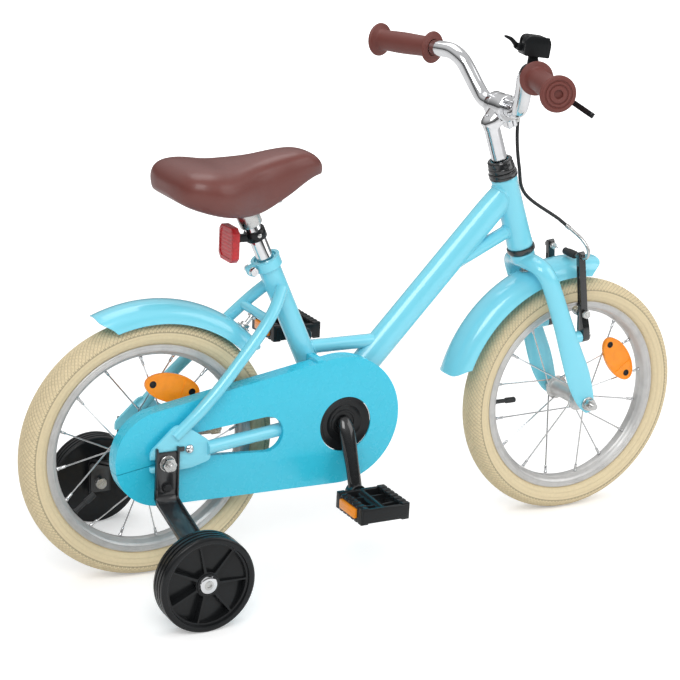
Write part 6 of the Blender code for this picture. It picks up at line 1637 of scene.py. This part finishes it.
def coaster_clip():
    """Band round the chain stay with its tab and screw."""
    foot, mouth = rear(0.056, 0.186, DROPOUT_Y), Vector((BRACKET.x - 0.01, 0.018, BRACKET.z))
    at = foot.lerp(mouth, (REAR_X + 0.122 - foot.x) / (mouth.x - foot.x))
    frame = towards(at, mouth - foot, Z)
    clip = hoop("coaster_clip_band", mm((9.5, -7), (10.8, -7), (11.2, -6.4), (11.2, 6.4), (10.8, 7),
        (9.5, 7)), frame)
    low = Vector((at.x, 0.0533, AXLE_Z - 0.0055))
    tab = boxed("tab", (0.014, 0.0022, 0.024), Matrix.Translation(low + Vector((0, 0, 0.0015))),
        soft=0.0006)
    screw = turned("screw", mm((0, -2.1), (4.2, -2.1), (4.2, 1.6), (3.4, 2.6), (0, 2.8)), towards(low, Y),
        steps=32)
    hollow = rod("hollow", frame, 0.0094, -0.02, 0.02)
    cut(tab, hollow)
    return joined("coaster_clip_band", [clip, tab, screw])


class OBJECT_OT_bike_drive(bpy.types.Operator):
    """Model the chain, its wheels, the crank, its disc and the pedals"""

    bl_idname = "object.bike_drive"
    bl_label = "Drive"

    def execute(self, context):
        done(roller_chain(), "frame_body", "steel", "chain", "chain")
        pins = chain_pins()
        last = min(pins, key=lambda point: point.x)
        phase = atan2(last.y, last.x + CHAIN_STAY) + CHAIN_TILT
        cog = plate("cog", [tooth_loop(COG_TEETH, phase), circle(0.011, 32)], 0.003,
            shift(REAR_X, 0.0, AXLE_Z) @ side_on(CHAIN_Y), soft=0.0004)
        driver = hoop("driver", [(0.0085, CHAIN_Y - 0.004), (0.0146, CHAIN_Y - 0.004),
            (0.015, CHAIN_Y - 0.0036), (0.015, CHAIN_Y + 0.0106), (0.0146, CHAIN_Y + 0.011),
            (0.0085, CHAIN_Y + 0.011)], towards(REAR_AXLE, Y))
        done(joined("rear_cog", [cog, driver]), "rear_driver", "steel", "chain", "rear_sprocket")
        loops = [tooth_loop(RING_TEETH, CHAIN_TILT), circle(0.0135, 40)]
        for k in range(5):
            middle = 90.0 + 72.0 * k
            window = arc(0.0, 0.0, 0.05, middle - 24, middle + 24, 9)
            window += arc(0.0, 0.0, 0.034, middle + 18, middle - 18, 7)
            loops.append(rounded(window, 0.003))
        ring = plate("chain_ring", loops, 0.003, shift(BRACKET.x, 0.0, BRACKET.z) @ side_on(CHAIN_Y),
            soft=0.0004)
        done(ring, "crank_set", "steel", "chain", "chainring")
        done(one_piece_crank(), "crank_set", "black_steel", "black", "crank", angle=32.0)
        dish = mm((10.2, -44.5), (15, -44.5), (15.6, -45.6), (17.8, -45.6), (18.4, -44.5), (20, -44.5),
            (22.5, -45), (25.5, -46), (26.2, -46.6), (27.5, -46.7), (34.5, -48.6), (36.2, -49.4),
            (37.2, -49.5), (37.5, -49.1), (37.5, -47.6), (22, -43.3), (10.2, -43.3))
        disc = hoop("crank_dish", dish, towards(BRACKET, Y), steps=96)
        done(disc, "crank_set", "black_plastic", "plastic", "crank_disc", angle=28.0)
        for side, label in SIDES:
            pedal = cage_pedal(side, "cage_pedal_" + label)
            done(pedal, f"pedal_{label}_body", "black_plastic", None, "pedal_" + label)
        return {"FINISHED"}


class OBJECT_OT_bike_covers(bpy.types.Operator):
    """Model the chain case, its cap and both fenders with their bolts"""

    bl_idname = "object.bike_covers"
    bl_label = "Chain Case and Fenders"

    def execute(self, context):
        case, cap = chain_case_pieces()
        done(case, "frame_body", "chain_guard", None, "chain_guard", angle=32.0)
        done(cap, "frame_body", "chain_guard", "guard", "chain_guard_cap", angle=32.0)
        back = fender("fender_rear", 0.198, REAR_X, 40.0, 113.0)
        done(back, "frame_body", "frame_paint", "paint", "rear_fender")
        front = fender("fender_front", 0.2085, FRONT_X - 0.012, 80.0, 165.0)
        done(front, "steering", "frame_paint", "paint", "front_fender")
        crown, middle = steer(0.0, 0.0, CROWN_S - 0.01), Vector((FRONT_X - 0.012, 0.0, AXLE_Z))
        bolts = (("rear", "frame_body", REAR_AXLE, rear(0.148, 0.343), 0.199, 0.0065),
            ("front", "steering", middle, crown, 0.2095, 0.0003))
        for end, body, centre, aim, radius, seat in bolts:
            out = (aim - centre).normalized()
            low = centre + out * radius
            bolt = fender_bolt("fender_bolt_" + end, low, out, (aim - low).length - seat)
            done(bolt, body, "steel", "steel", end + "_fender_bolt")
        return {"FINISHED"}


class OBJECT_OT_bike_stabilisers(bpy.types.Operator):
    """Model the stabilisers and the coaster brake's arm and clip"""

    bl_idname = "object.bike_stabilisers"
    bl_label = "Stabilisers"

    def execute(self, context):
        for side, label in SIDES:
            bracket = stabiliser_bracket(side, "channel_bracket_" + label)
            done(bracket, "frame_body", "black_steel", None, "stabiliser_bracket_" + label)
            wheel = stabiliser_wheel(side, "training_wheel_" + label)
            done(wheel, "stabiliser_" + label, "black_plastic", None, "stabiliser_wheel_" + label,
                angle=32.0)
        done(coaster_arm(), "frame_body", "steel", "steel", "coaster_arm")
        done(coaster_clip(), "frame_body", "steel", "steel", "coaster_clip")
        return {"FINISHED"}


# Brake, its cable and lever, and the bell


def brake_arm(side, name):
    """Forged brake arm: pivot boss, hollowed face, pad hole and the cable's hold at the top."""
    y0 = PIVOT_Y
    outline = arc(y0, 0.0, 0.0085, 200, 340, 15) + mm((51.5, 12), (47, 30), (46, 50), (42.5, 108),
        (41.5, 124), (34.5, 124), (35, 108), (37, 50), (36.5, 30), (34.5, 12))
    across = Y * side
    frame = basis(BRAKE_BASE, across, ARM_UP, across.cross(ARM_UP))
    hole = list(reversed(circle(0.0062, 32, cx=y0)))
    arm = plate(name, [rounded(outline, 0.006), hole], 0.0105, frame, soft=0.0012)
    hollow = mm((44.2, 46), (41.2, 104), (37, 104), (38.8, 46))
    tools = [rod("pad_hole", towards(brake(0.0, side * (y0 - 0.002), PAD_RISE), across, ARM_UP), 0.0033,
        -0.03, 0.03, 24)]
    tools += [plate("hollow", [rounded(hollow, 0.002)], 0.0026, frame @ shift(z=z))
        for z in (0.0053, -0.0053)]
    cradle = towards(brake(0.0, side * (y0 - 0.005), 0.116), across, ARM_UP)
    if side < 0:
        tools.append(rod("guide_hole", cradle, 0.0029, -0.03, 0.03, 24))
    cut(arm, *tools)
    parts = [tinted(closed_up(arm, merge=FINE), "black")]
    if side > 0:
        clip = turned("anchor", mm((0, -10), (4, -10), (4.6, -9.4), (4.6, -6.4), (3.4, -6), (3.4, 5.6),
            (4.6, 6), (4.6, 8), (4, 8.5), (0, 8.5)), cradle, steps=32)
        wire = rod("wire_end", cradle, 0.0009, -0.019, -0.009, 12)
        parts += [tinted(piece, "steel") for piece in (clip, wire)]
    return joined(name, parts)


def brake_pad(side, name):
    """Curved rubber pad with water grooves, on a stud with washers and a nut."""
    aim = brake(0.0, 0.0, PAD_RISE) - FRONT_AXLE
    middle = degrees(atan2(aim.z, aim.x))
    outline = arc(FRONT_X, AXLE_Z, 0.132, middle - 9.5, middle + 9.5, 17)
    outline += arc(FRONT_X, AXLE_Z, 0.1404, middle + 9.5, middle - 9.5, 17)
    pad = plate(name, [rounded(outline, 0.0012)], 0.009, side_on(side * 0.019), soft=0.0008)
    grooves = []
    for turn in (-4.5, 0.0, 4.5):
        t = radians(middle + turn)
        at = FRONT_AXLE + outward(t) * 0.1362 + Y * (side * 0.0142)
        grooves.append(boxed("groove", (0.012, 0.0028, 0.0012),
            towards(at, Vector((sin(t), 0.0, -cos(t))), at - FRONT_AXLE), soft=0.0002, segments=1))
    cut(pad, *grooves)
    tinted(pad, "rubber")
    stud_place = towards(brake(0.0, 0.0, PAD_RISE), Y * side, ARM_UP)
    washers = turned("washers", mm((0, 22.5), (5.2, 22.5), (5.2, 26.2), (6.5, 26.2), (6.5, 27.8),
        (5.8, 28.1), (6.4, 30), (6.2, 31.8), (6.5, 32.1), (6.5, 34.5), (6, 34.9), (3, 34.9), (3, 53),
        (2.6, 54.5), (0, 54.5)), stud_place, steps=36)
    nut = hex_nut("nut", stud_place @ shift(z=0.0491), 0.0106, 0.0044, bore=0.0028)
    metal = tinted(joined("washers", [washers, nut]), "steel")
    return joined(name, [pad, metal])


def guide_points():
    """The bent guide tube's path, from the right arm's cradle up towards the head tube."""
    side, level = -0.038, 0.116
    shape = mm((0, 22, 0), (0, -8, 0), (0, -15, 3), (0, -19, 10), (-1, -18, 19), (-4, -10, 29), (-8, 1, 37),
        (-14, 14, 46))
    return [brake(out, side + y, level + rise) for out, y, rise in shape]


def cable_guide():
    """Bent metal guide with a ribbed rubber boot over the bare wire."""
    path = guide_points()
    tube = straight("cable_guide", flowing(path[1:], 5), 0.0024)
    stem = straight("guide_end", path[:2], 0.0024)
    end = path[-1]
    run = (path[-1] - path[-2]).normalized()
    cup = turned("guide_cup", mm((0, -7), (2.6, -7), (3.3, -6.2), (3.3, -0.3), (3.1, 0), (0, 0)),
        towards(end, run, Y), steps=24)
    metal = tinted(joined("cable_guide", [tube, stem, cup]), "steel")
    ribs = mm((0, 0), (4.6, 0), (5.2, 0.8))
    for i in range(7):
        z = 0.0016 + 0.0024 * i
        ribs += [(0.005, z), (0.0057, z + 0.0007), (0.0057, z + 0.0012), (0.0047, z + 0.0019)]
    ribs += mm((4.9, 20), (5.2, 26.4), (4.8, 27), (3, 27), (3, 14), (0, 14))
    boot = turned("boot", ribs, towards(path[0] - Y * 0.01, Y, ARM_UP), steps=32)
    return joined("cable_guide", [metal, tinted(boot, "rubber")])


def cable_points():
    """Outer cable's path from the lever, round the left of the stem and down to the guide."""
    start, end = on_bar(-1, 0.118), guide_points()[-1]
    along = (end - guide_points()[-2]).normalized()
    points = [start + Vector((0.0235, 0.0235, -0.004)), start + Vector((0.031, 0.04, 0.001))]
    for x, y, z in ((0.026, -0.048, 0.052), (0.037, -0.016, 0.05), (0.042, 0.012, 0.028),
            (0.043, 0.021, -0.006), (0.042, 0.02, -0.046), (0.044, 0.012, -0.088), (0.052, 0.003, -0.126)):
        points.append(CLAMP + Vector((x, y, z)))
    return flowing(points + [end + along * 0.014], 8) + [end + along * GAP]


def lever_frame():
    """The lever's frame: X out along the bar, Y ahead of it, Z along the pivot."""
    along = grip_axis(-1)
    ahead = Vector((0.86, 0.0, -0.46))
    ahead = (ahead - along * ahead.dot(along)).normalized()
    return basis(on_bar(-1, 0.118), along, ahead, along.cross(ahead))


def lever_perch():
    """Clamp on the bar with the lever's fork, its screw and the cable's adjuster."""
    frame = lever_frame()
    bar = frame @ rotated(pi / 2, "Y")
    perch = drum("lever_perch", bar, 0.0153, -0.0065, 0.0075, 0.0008)
    body = mm((-6.5, 8), (7.5, 8), (12, 20), (13, 33), (-4, 33), (-9.5, 24))
    cut(perch, plate("body", [rounded(body, 0.003)], 0.016, frame, soft=0.0012), how="UNION")
    hollow = rod("hollow", bar, 0.0114, -0.03, 0.03)
    room = mm((0.5, 16.5), (30, 16.5), (30, 45), (-3, 45), (-5, 24))
    cut(perch, hollow, plate("room", [room], 0.0082, frame))
    tinted(closed_up(perch, merge=FINE), "plastic")
    barrel_place = towards(frame @ Vector((-0.006, 0.026, 0.0)), frame.to_3x3() @ Vector((-1.0, 0.12, 0.0)))
    profile = mm((0, 0), (4, 0), (4, 2), (4.7, 2.4))
    for i in range(4):
        z = 0.003 + 0.0022 * i
        profile += [(0.0048, z), (0.0048, z + 0.0012), (0.0043, z + 0.0016)]
    barrel = turned("adjuster", profile + mm((4.2, 12), (3.8, 12.5), (0, 12.5)), barrel_place, steps=24)
    pin = rod("pin", frame @ shift(0.0062, 0.026, 0.0), 0.0026, -0.0078, 0.0078, 24)
    return joined("lever_perch", [perch, tinted(barrel, "plastic"), tinted(pin, "steel")])


def lever_blade():
    """Flat lever blade with a squared end and a hollowed outer face."""
    frame = lever_frame()
    px, py = 0.0062, 0.026
    shape = mm((-6, -5), (1, -6.5), (8, 1), (22, 12), (45, 23), (70, 28), (86, 30), (90, 36), (85, 40),
        (66, 38), (40, 33), (16, 22), (2, 7.5), (-6, 5))
    outline = rounded([(px + x, py + y) for x, y in shape], 0.006, count=5)
    hole = list(reversed(circle(0.0038, 24, cx=px, cy=py)))
    blade = plate("lever_blade", [outline, hole], 0.007, frame, soft=0.0013)
    shape = mm((30, 18.5), (52, 27), (78, 31.5), (78, 35.5), (50, 32), (28, 23.8))
    hollow = rounded([(px + x, py + y) for x, y in shape], 0.002)
    cut(blade, *[plate("hollow", [hollow], 0.002, frame @ shift(z=z)) for z in (0.0036, -0.0036)])
    return closed_up(blade, merge=FINE)


def bell_frame():
    """The bell's frame: Z up from the bar, X forward."""
    along = grip_axis(-1)
    return towards(on_bar(-1, 0.1035), (0.1, 0.0, 1.0), X - along * along.x)


def box_bell():
    """Bell: clamp, neck, and a case with bevelled shoulders, a parting line and a hammer slot."""
    frame = bell_frame()
    bar = towards(on_bar(-1, 0.1035), grip_axis(-1))
    band = drum("box_bell", bar, 0.0141, -0.0045, 0.0045, 0.0007)
    neck = boxed("neck", (0.012, 0.0088, 0.016), frame @ shift(z=0.018), soft=0.0012)
    cut(band, neck, how="UNION")
    cut(band, rod("hollow", bar, 0.0114, -0.03, 0.03))
    closed_up(band, merge=FINE)
    shell = mm((-16.8, 24), (16.8, 24), (17.2, 42.2), (15, 48), (10, 50.3), (-10, 50.3), (-15, 48),
        (-17.2, 42.2))
    case = plate("case", [rounded(shell, 0.0022)], 0.032, frame @ side_on(0.0), soft=0.0024)
    tools = [boxed("slot", (0.006, 0.009, 0.013), frame @ shift(-0.017, 0.008, 0.038), soft=0.0005),
        boxed("line", (0.036, 0.0009, 0.04), frame @ shift(0.0, -0.009, 0.04), soft=0.0001, segments=1)]
    inner = boxed("core", (0.0318, 0.003, 0.025), frame @ shift(0.0, -0.009, 0.0372), soft=0.0006)
    cut(case, *tools)
    cheek = boxed("cheek", (0.006, 0.006, 0.01), frame @ shift(-0.0192, 0.004, 0.033), soft=0.001)
    screw = turned("screw", mm((0, 14.2), (3, 14.2), (3, 15.8), (2.2, 16.5), (0, 16.6)),
        bell_frame() @ shift(z=0.018) @ rotated(pi / 2, "Y") @ shift(z=-0.009), steps=24)
    return joined("box_bell", [band, case, inner, cheek, screw])


def thumb_lever():
    """Thumb lever of the bell."""
    frame = bell_frame()
    pin = frame @ shift(-0.0215, 0.0, 0.033) @ rotated(-pi / 2, "X")
    boss = drum("thumb_lever", pin, 0.004, 0.0073, 0.0125, 0.0004, 32)
    shape = mm((-22.5, 30), (-18.5, 30.5), (-18, 35), (-30, 44), (-39, 45.5), (-40, 42.5), (-31, 39))
    thumb = plate("thumb", [rounded(shape, 0.003)], 0.0052, frame @ side_on(0.0099), soft=0.0008)
    return joined("thumb_lever", [boss, thumb])


class OBJECT_OT_bike_brake(bpy.types.Operator):
    """Model the front brake, its guide, cable, lever and perch"""

    bl_idname = "object.bike_brake"
    bl_label = "Brake"

    def execute(self, context):
        for side, label in SIDES:
            body = f"brake_arm_{label}_body"
            done(brake_arm(side, "forged_arm_" + label), body, "black_steel", None, "brake_arm_" + label)
            done(brake_pad(side, "rubber_pad_" + label), body, "black_rubber", None, "brake_pad_" + label)
        done(cable_guide(), "brake_arm_right_body", "steel", None, "brake_noodle", angle=30.0)
        path = cable_points()
        cable = straight("outer_cable", path, 0.0025)
        done(cable, "steering", "black_rubber", "rubber", "brake_cable", angle=60.0)
        length = sum((there - here).length for here, there in zip(path, path[1:]))
        done(lever_perch(), "steering", "black_plastic", None, "brake_lever_perch")
        done(lever_blade(), "brake_lever_body", "black_plastic", "plastic", "brake_lever")
        return {"FINISHED"}


class OBJECT_OT_bike_bell(bpy.types.Operator):
    """Model the bell and its thumb lever"""

    bl_idname = "object.bike_bell"
    bl_label = "Bell"

    def execute(self, context):
        done(box_bell(), "steering", "black_plastic", "plastic", "bell_body")
        done(thumb_lever(), "bell_lever_body", "black_plastic", "plastic", "bell_lever")
        return {"FINISHED"}


# Saddle, seat post and rear reflector


SADDLE_BACK = REAR_X + 0.011
POST_TOP = 0.3243
REFLECTOR_RISE = 0.286
# Distance from the saddle's back, half width, top and lower edge
SADDLE_STATIONS = (
    (0.0, 0.012, 0.523, 0.516),
    (0.0008, 0.03, 0.529, 0.512),
    (0.006, 0.055, 0.539, 0.506),
    (0.02, 0.069, 0.5475, 0.499),
    (0.045, 0.076, 0.549, 0.491),
    (0.072, 0.07, 0.546, 0.485),
    (0.098, 0.056, 0.5485, 0.482),
    (0.125, 0.042, 0.552, 0.4835),
    (0.148, 0.036, 0.5562, 0.493),
    (0.17, 0.033, 0.5592, 0.505),
    (0.19, 0.029, 0.559, 0.5175),
    (0.208, 0.022, 0.5525, 0.525),
    (0.219, 0.013, 0.542, 0.5255),
    (0.2225, 0.006, 0.5345, 0.528),
)
# Half section of the cover: part of the half width, and part of the way down
SADDLE_SECTION = ((0.0, 0.0), (0.22, 0.003), (0.42, 0.015), (0.6, 0.042), (0.74, 0.085), (0.86, 0.155),
    (0.94, 0.26), (0.985, 0.39), (1.0, 0.52), (0.985, 0.66), (0.945, 0.8), (0.885, 0.93), (0.8, 1.0),
    (0.5, 1.0), (0.0, 1.0))


def tray_outline(grow):
    """Plan view of the moulded base, one wall in from the cover's lower edge."""
    rows = [row for row in flowing(SADDLE_STATIONS, 3) if 0.02 <= row[0] <= 0.15]
    side = [(SADDLE_BACK + row[0], row[1] * 0.84 - 0.0045 + grow) for row in rows]
    side[0] = (side[0][0] - grow, side[0][1])
    side[-1] = (side[-1][0] + grow, side[-1][1])
    return side + [(x, -y) for x, y in reversed(side)]


def padded_saddle():
    """Cover with a plump crown, drawn-in sides and a rolled lower edge over a recess."""
    rows = flowing(SADDLE_STATIONS, 2)
    half = len(SADDLE_SECTION) - 1
    rings = [oval((i, 0.0, 0.0), Y, 1.0, Z, 1.0) for i in range(len(rows))]
    saddle = lofted("padded_saddle", rings, sides=2 * half)
    for vertex in saddle.data.vertices:
        x, wide, top, low = rows[round(vertex.co.x)]
        part = round(atan2(abs(vertex.co.y), vertex.co.z) / pi * half)
        across, down = SADDLE_SECTION[part]
        side = copysign(1.0, vertex.co.y) if 0 < part < half else 0.0
        vertex.co = (SADDLE_BACK + x, side * wide * across, top - (top - low) * down)
    closed_up(saddle)
    divided(saddle, 2)
    room = plate("room", [rounded(tray_outline(GAP), 0.008)], 0.0563, shift(z=0.48115))
    cut(saddle, room)
    return saddle


def saddle_base():
    """Moulded base under the cover, with a ribbed underside."""
    base = plate("moulded_base", [rounded(tray_outline(0.0), 0.008)], 0.01, shift(z=0.504), soft=0.0008)
    pockets = []
    for x, width, y in mm((45, 30, 28), (45, 30, -28), (82, 28, 22), (82, 28, -22)):
        place = shift(SADDLE_BACK + x, y, 0.4992)
        pockets.append(boxed("pocket", (width, 0.018, 0.008), place, soft=0.002))
    return cut(base, *pockets)


def rail_clamp():
    """Clamp on the post: cap, cheeks, through bolt with nuts, and the wire rails."""
    top = seat_point(POST_TOP)
    head = towards(top, SEAT_UP)
    body = turned("rail_clamp", mm((0, 9.5), (11.8, 9.5), (14.4, 6), (15.2, 4), (15.2, -23), (14.6, -24),
        (12, -24), (12, 0.3), (0, 0.3)), head)
    level = top.z + 0.0062
    across = towards((top.x, 0.0, level), Y)
    parts = [body, rod("bolt", across, 0.003, -0.027, 0.027, 24)]
    for side in (1, -1):
        along = towards((top.x, 0.0, level), Y * side)
        parts.append(turned("cheek", mm((0, 12), (11.8, 12), (12.4, 12.6), (12.4, 22.2), (11.2, 22.8),
            (0, 22.8)), along, steps=40))
        parts.append(hex_nut("nut", along @ shift(z=0.0227), 0.008, 0.0042))
        under = 0.4954
        shape = [(-0.056, 0.0215, under), (-0.048, 0.0215, under), (-0.032, 0.0205, level),
            (0.024, 0.018, level), (0.036, 0.016, under), (0.044, 0.0155, under)]
        rail = eased([(top.x + x, side * y, z) for x, y, z in shape], 0.01, count=6)
        parts.append(straight("rail", rail, 0.0033, sides=4))
    return joined("rail_clamp", parts)


def chrome_post():
    """Seat post with rolled ends."""
    length = POST_TOP - 0.125
    profile = mm((0, 0), (9.8, 0), (10.8, 0.6), (11.1, 1.6)) + [(0.0111, length - 0.001), (0.0105, length),
        (0.0, length)]
    return turned("chrome_post", profile, towards(seat_point(0.125), SEAT_UP), steps=64)


def reflector_clamp():
    """Plastic band round the post with a screw, an arm and the reflector's back plate."""
    at = seat_point(REFLECTOR_RISE)
    frame = towards(at, SEAT_UP)
    band = hoop("reflector_clamp", mm((11.8, -7), (13.6, -7), (14.2, -6.2), (14.2, 6.2), (13.6, 7),
        (11.8, 7)), frame, steps=56)
    face = at + Vector((-0.033, 0.0, -0.01))
    arm = boxed("arm", (0.0225, 0.009, 0.01), Matrix.Translation(at + Vector((-0.019, 0.0, -0.0045))),
        soft=0.0015, segments=3)
    back = boxed("back", (0.003, 0.03, 0.034), Matrix.Translation(face + X * 0.0032), soft=0.0012)
    cut(band, arm, back, how="UNION")
    cut(band, rod("hollow", frame, 0.0117, -0.03, 0.03, 56))
    tinted(closed_up(band, merge=FINE), "plastic")
    bolt = frame @ shift(y=-0.0133) @ rotated(pi / 2, "X")
    screw = turned("screw", mm((0, -0.4), (3, -0.4), (3, 0.6), (2.2, 1.2), (0, 1.3)), bolt, steps=24)
    return joined("reflector_clamp", [band, tinted(screw, "steel")])


def red_reflector():
    """Red reflector: a cut-cornered case and a lens with a sunk prism field."""
    face = seat_point(REFLECTOR_RISE) + Vector((-0.033, 0.0, -0.01))
    lay = Matrix(((0, 0, -1, face.x - 0.0038), (1, 0, 0, 0), (0, -1, 0, face.z), (0, 0, 0, 1)))
    w, h, c = 0.022, 0.023, 0.0065
    half = [(w - c, -h), (w, -h + c), (w, h - c), (w - c, h)]
    outline = half + [(-y, -z) for y, z in half]
    lens = plate("red_reflector", [outline], 0.01, lay, soft=0.001)
    field = [(y * 0.8, z * 0.8) for y, z in outline]
    cut(lens, plate("field", [field], 0.0016, lay @ shift(z=0.0048)))
    return lens


class OBJECT_OT_bike_saddle(bpy.types.Operator):
    """Model the saddle, its base and clamp, the seat post and the rear reflector"""

    bl_idname = "object.bike_saddle"
    bl_label = "Saddle"

    def execute(self, context):
        saddle = padded_saddle()
        done(saddle, "seat_slide", "saddle_and_grips", "saddle", "saddle", angle=50.0)
        done(saddle_base(), "seat_slide", "black_plastic", "plastic", "saddle_base")
        done(rail_clamp(), "seat_slide", "steel", "steel", "saddle_clamp")
        done(chrome_post(), "seat_slide", "bright_metal", "chrome", "seat_post")
        done(reflector_clamp(), "seat_slide", "black_plastic", None, "reflector_bracket")
        done(red_reflector(), "seat_slide", "rear_reflector", "red", "rear_reflector")
        return {"FINISHED"}


# Stage


class OBJECT_OT_bike_stage(bpy.types.Operator):
    """Set the pale floor, the lamps and the camera"""

    bl_idname = "object.bike_stage"
    bl_label = "Stage"

    def execute(self, context):
        only(None)
        bpy.ops.mesh.primitive_plane_add(size=30.0, location=(0.0, 0.0, -0.0002))
        floor = bpy.context.object
        floor.name = "studio_floor"
        floor.data.materials.append(floor_finish())
        scene = context.scene
        world = bpy.data.worlds.new("studio_light")
        scene.world = world
        world.use_nodes = True
        nodes, links = world.node_tree.nodes, world.node_tree.links
        nodes.clear()

        def node(kind, inputs):
            made = nodes.new(kind)
            for key, value in inputs.items():
                if isinstance(value, bpy.types.NodeSocket):
                    links.new(value, made.inputs[key])
                else:
                    made.inputs[key].default_value = value
            return made.outputs

        white = (1.0, 1.0, 1.0, 1.0)
        soft = node("ShaderNodeBackground", {"Color": white, "Strength": 0.62})[0]
        backdrop = node("ShaderNodeBackground", {"Color": white, "Strength": 1.0})[0]
        # Bright metal mirrors a dark band above the floor, as it does in a studio
        rise = node("ShaderNodeSeparateXYZ", {0: node("ShaderNodeTexCoord", {})["Generated"]})["Z"]
        band = node("ShaderNodeMapRange", {0: rise, 1: 0.08, 2: 0.5, 3: 0.1, 4: 0.85})[0]
        walls = node("ShaderNodeBackground", {"Strength": band})[0]
        ray = node("ShaderNodeLightPath", {})
        shiny = node("ShaderNodeMixShader", {0: ray["Is Glossy Ray"], 1: soft, 2: walls})[0]
        seen = node("ShaderNodeMixShader", {0: ray["Is Camera Ray"], 1: shiny, 2: backdrop})[0]
        node("ShaderNodeOutputWorld", {"Surface": seen})
        lamps = (("key_lamp", (-1.3, -1.9, 2.3), 1.5, 34.0), ("fill_lamp", (1.9, -1.5, 1.5), 1.8, 17.0),
            ("top_lamp", (0.1, 0.7, 2.6), 1.6, 16.0))
        for name, spot, size, power in lamps:
            bpy.ops.object.light_add(type="AREA", location=spot)
            lamp = bpy.context.object
            lamp.name = name
            lamp.data.size = size
            lamp.data.energy = power
            aim = Vector((0.0, 0.0, 0.3)) - Vector(spot)
            lamp.rotation_euler = aim.to_track_quat("-Z", "Y").to_euler()
        bpy.ops.object.camera_add(location=(-1.2446, -2.1703, 1.0449))
        camera = bpy.context.object
        camera.name = "photo_camera"
        yaw, pitch, roll = radians(60.87), radians(16.33), radians(3.17)
        aim = Vector((cos(yaw) * cos(pitch), sin(yaw) * cos(pitch), -sin(pitch)))
        turn = aim.to_track_quat("-Z", "Y").to_matrix() @ Matrix.Rotation(roll, 3, "Z")
        camera.rotation_euler = turn.to_euler()
        camera.data.sensor_width = 36.0
        camera.data.lens = 101.36
        camera.data.shift_x = -0.0187
        camera.data.shift_y = -0.0279
        scene.camera = camera
        scene.view_settings.view_transform = "Standard"
        return {"FINISHED"}


# Panel and run


class VIEW3D_PT_kids_bike(bpy.types.Panel):
    """Lists the bike's pieces, colours and sizes"""

    bl_label = "Kids Bike"
    bl_idname = "VIEW3D_PT_kids_bike"
    bl_space_type = "VIEW_3D"
    bl_region_type = "UI"
    bl_category = "Kids Bike"

    def draw(self, context):
        column = self.layout.column(align=True)
        for step in STEPS:
            column.operator(step.bl_idname)
        for owner in (context.scene.bike_colours, context.scene.bike_sizes):
            box = self.layout.box()
            for name in owner.bl_rna.properties.keys():
                if name not in ("rna_type", "name"):
                    box.prop(owner, name)


STEPS = (
    OBJECT_OT_bike_tyres,
    OBJECT_OT_bike_wheels,
    OBJECT_OT_bike_frame,
    OBJECT_OT_bike_steering,
    OBJECT_OT_bike_drive,
    OBJECT_OT_bike_covers,
    OBJECT_OT_bike_stabilisers,
    OBJECT_OT_bike_brake,
    OBJECT_OT_bike_bell,
    OBJECT_OT_bike_saddle,
    OBJECT_OT_bike_stage,
)
GROUPS = (BikeColours, BikeSizes)


def register():
    for group in GROUPS + STEPS + (VIEW3D_PT_kids_bike,):
        bpy.utils.register_class(group)
    bpy.types.Scene.bike_colours = PointerProperty(type=BikeColours)
    bpy.types.Scene.bike_sizes = PointerProperty(type=BikeSizes)


def unregister():
    del bpy.types.Scene.bike_sizes
    del bpy.types.Scene.bike_colours
    for group in reversed(GROUPS + STEPS + (VIEW3D_PT_kids_bike,)):
        bpy.utils.unregister_class(group)


def main():
    register()
    for step in STEPS:
        family, name = step.bl_idname.split(".")
        getattr(getattr(bpy.ops, family), name)()


if __name__ == "__main__":
    main()
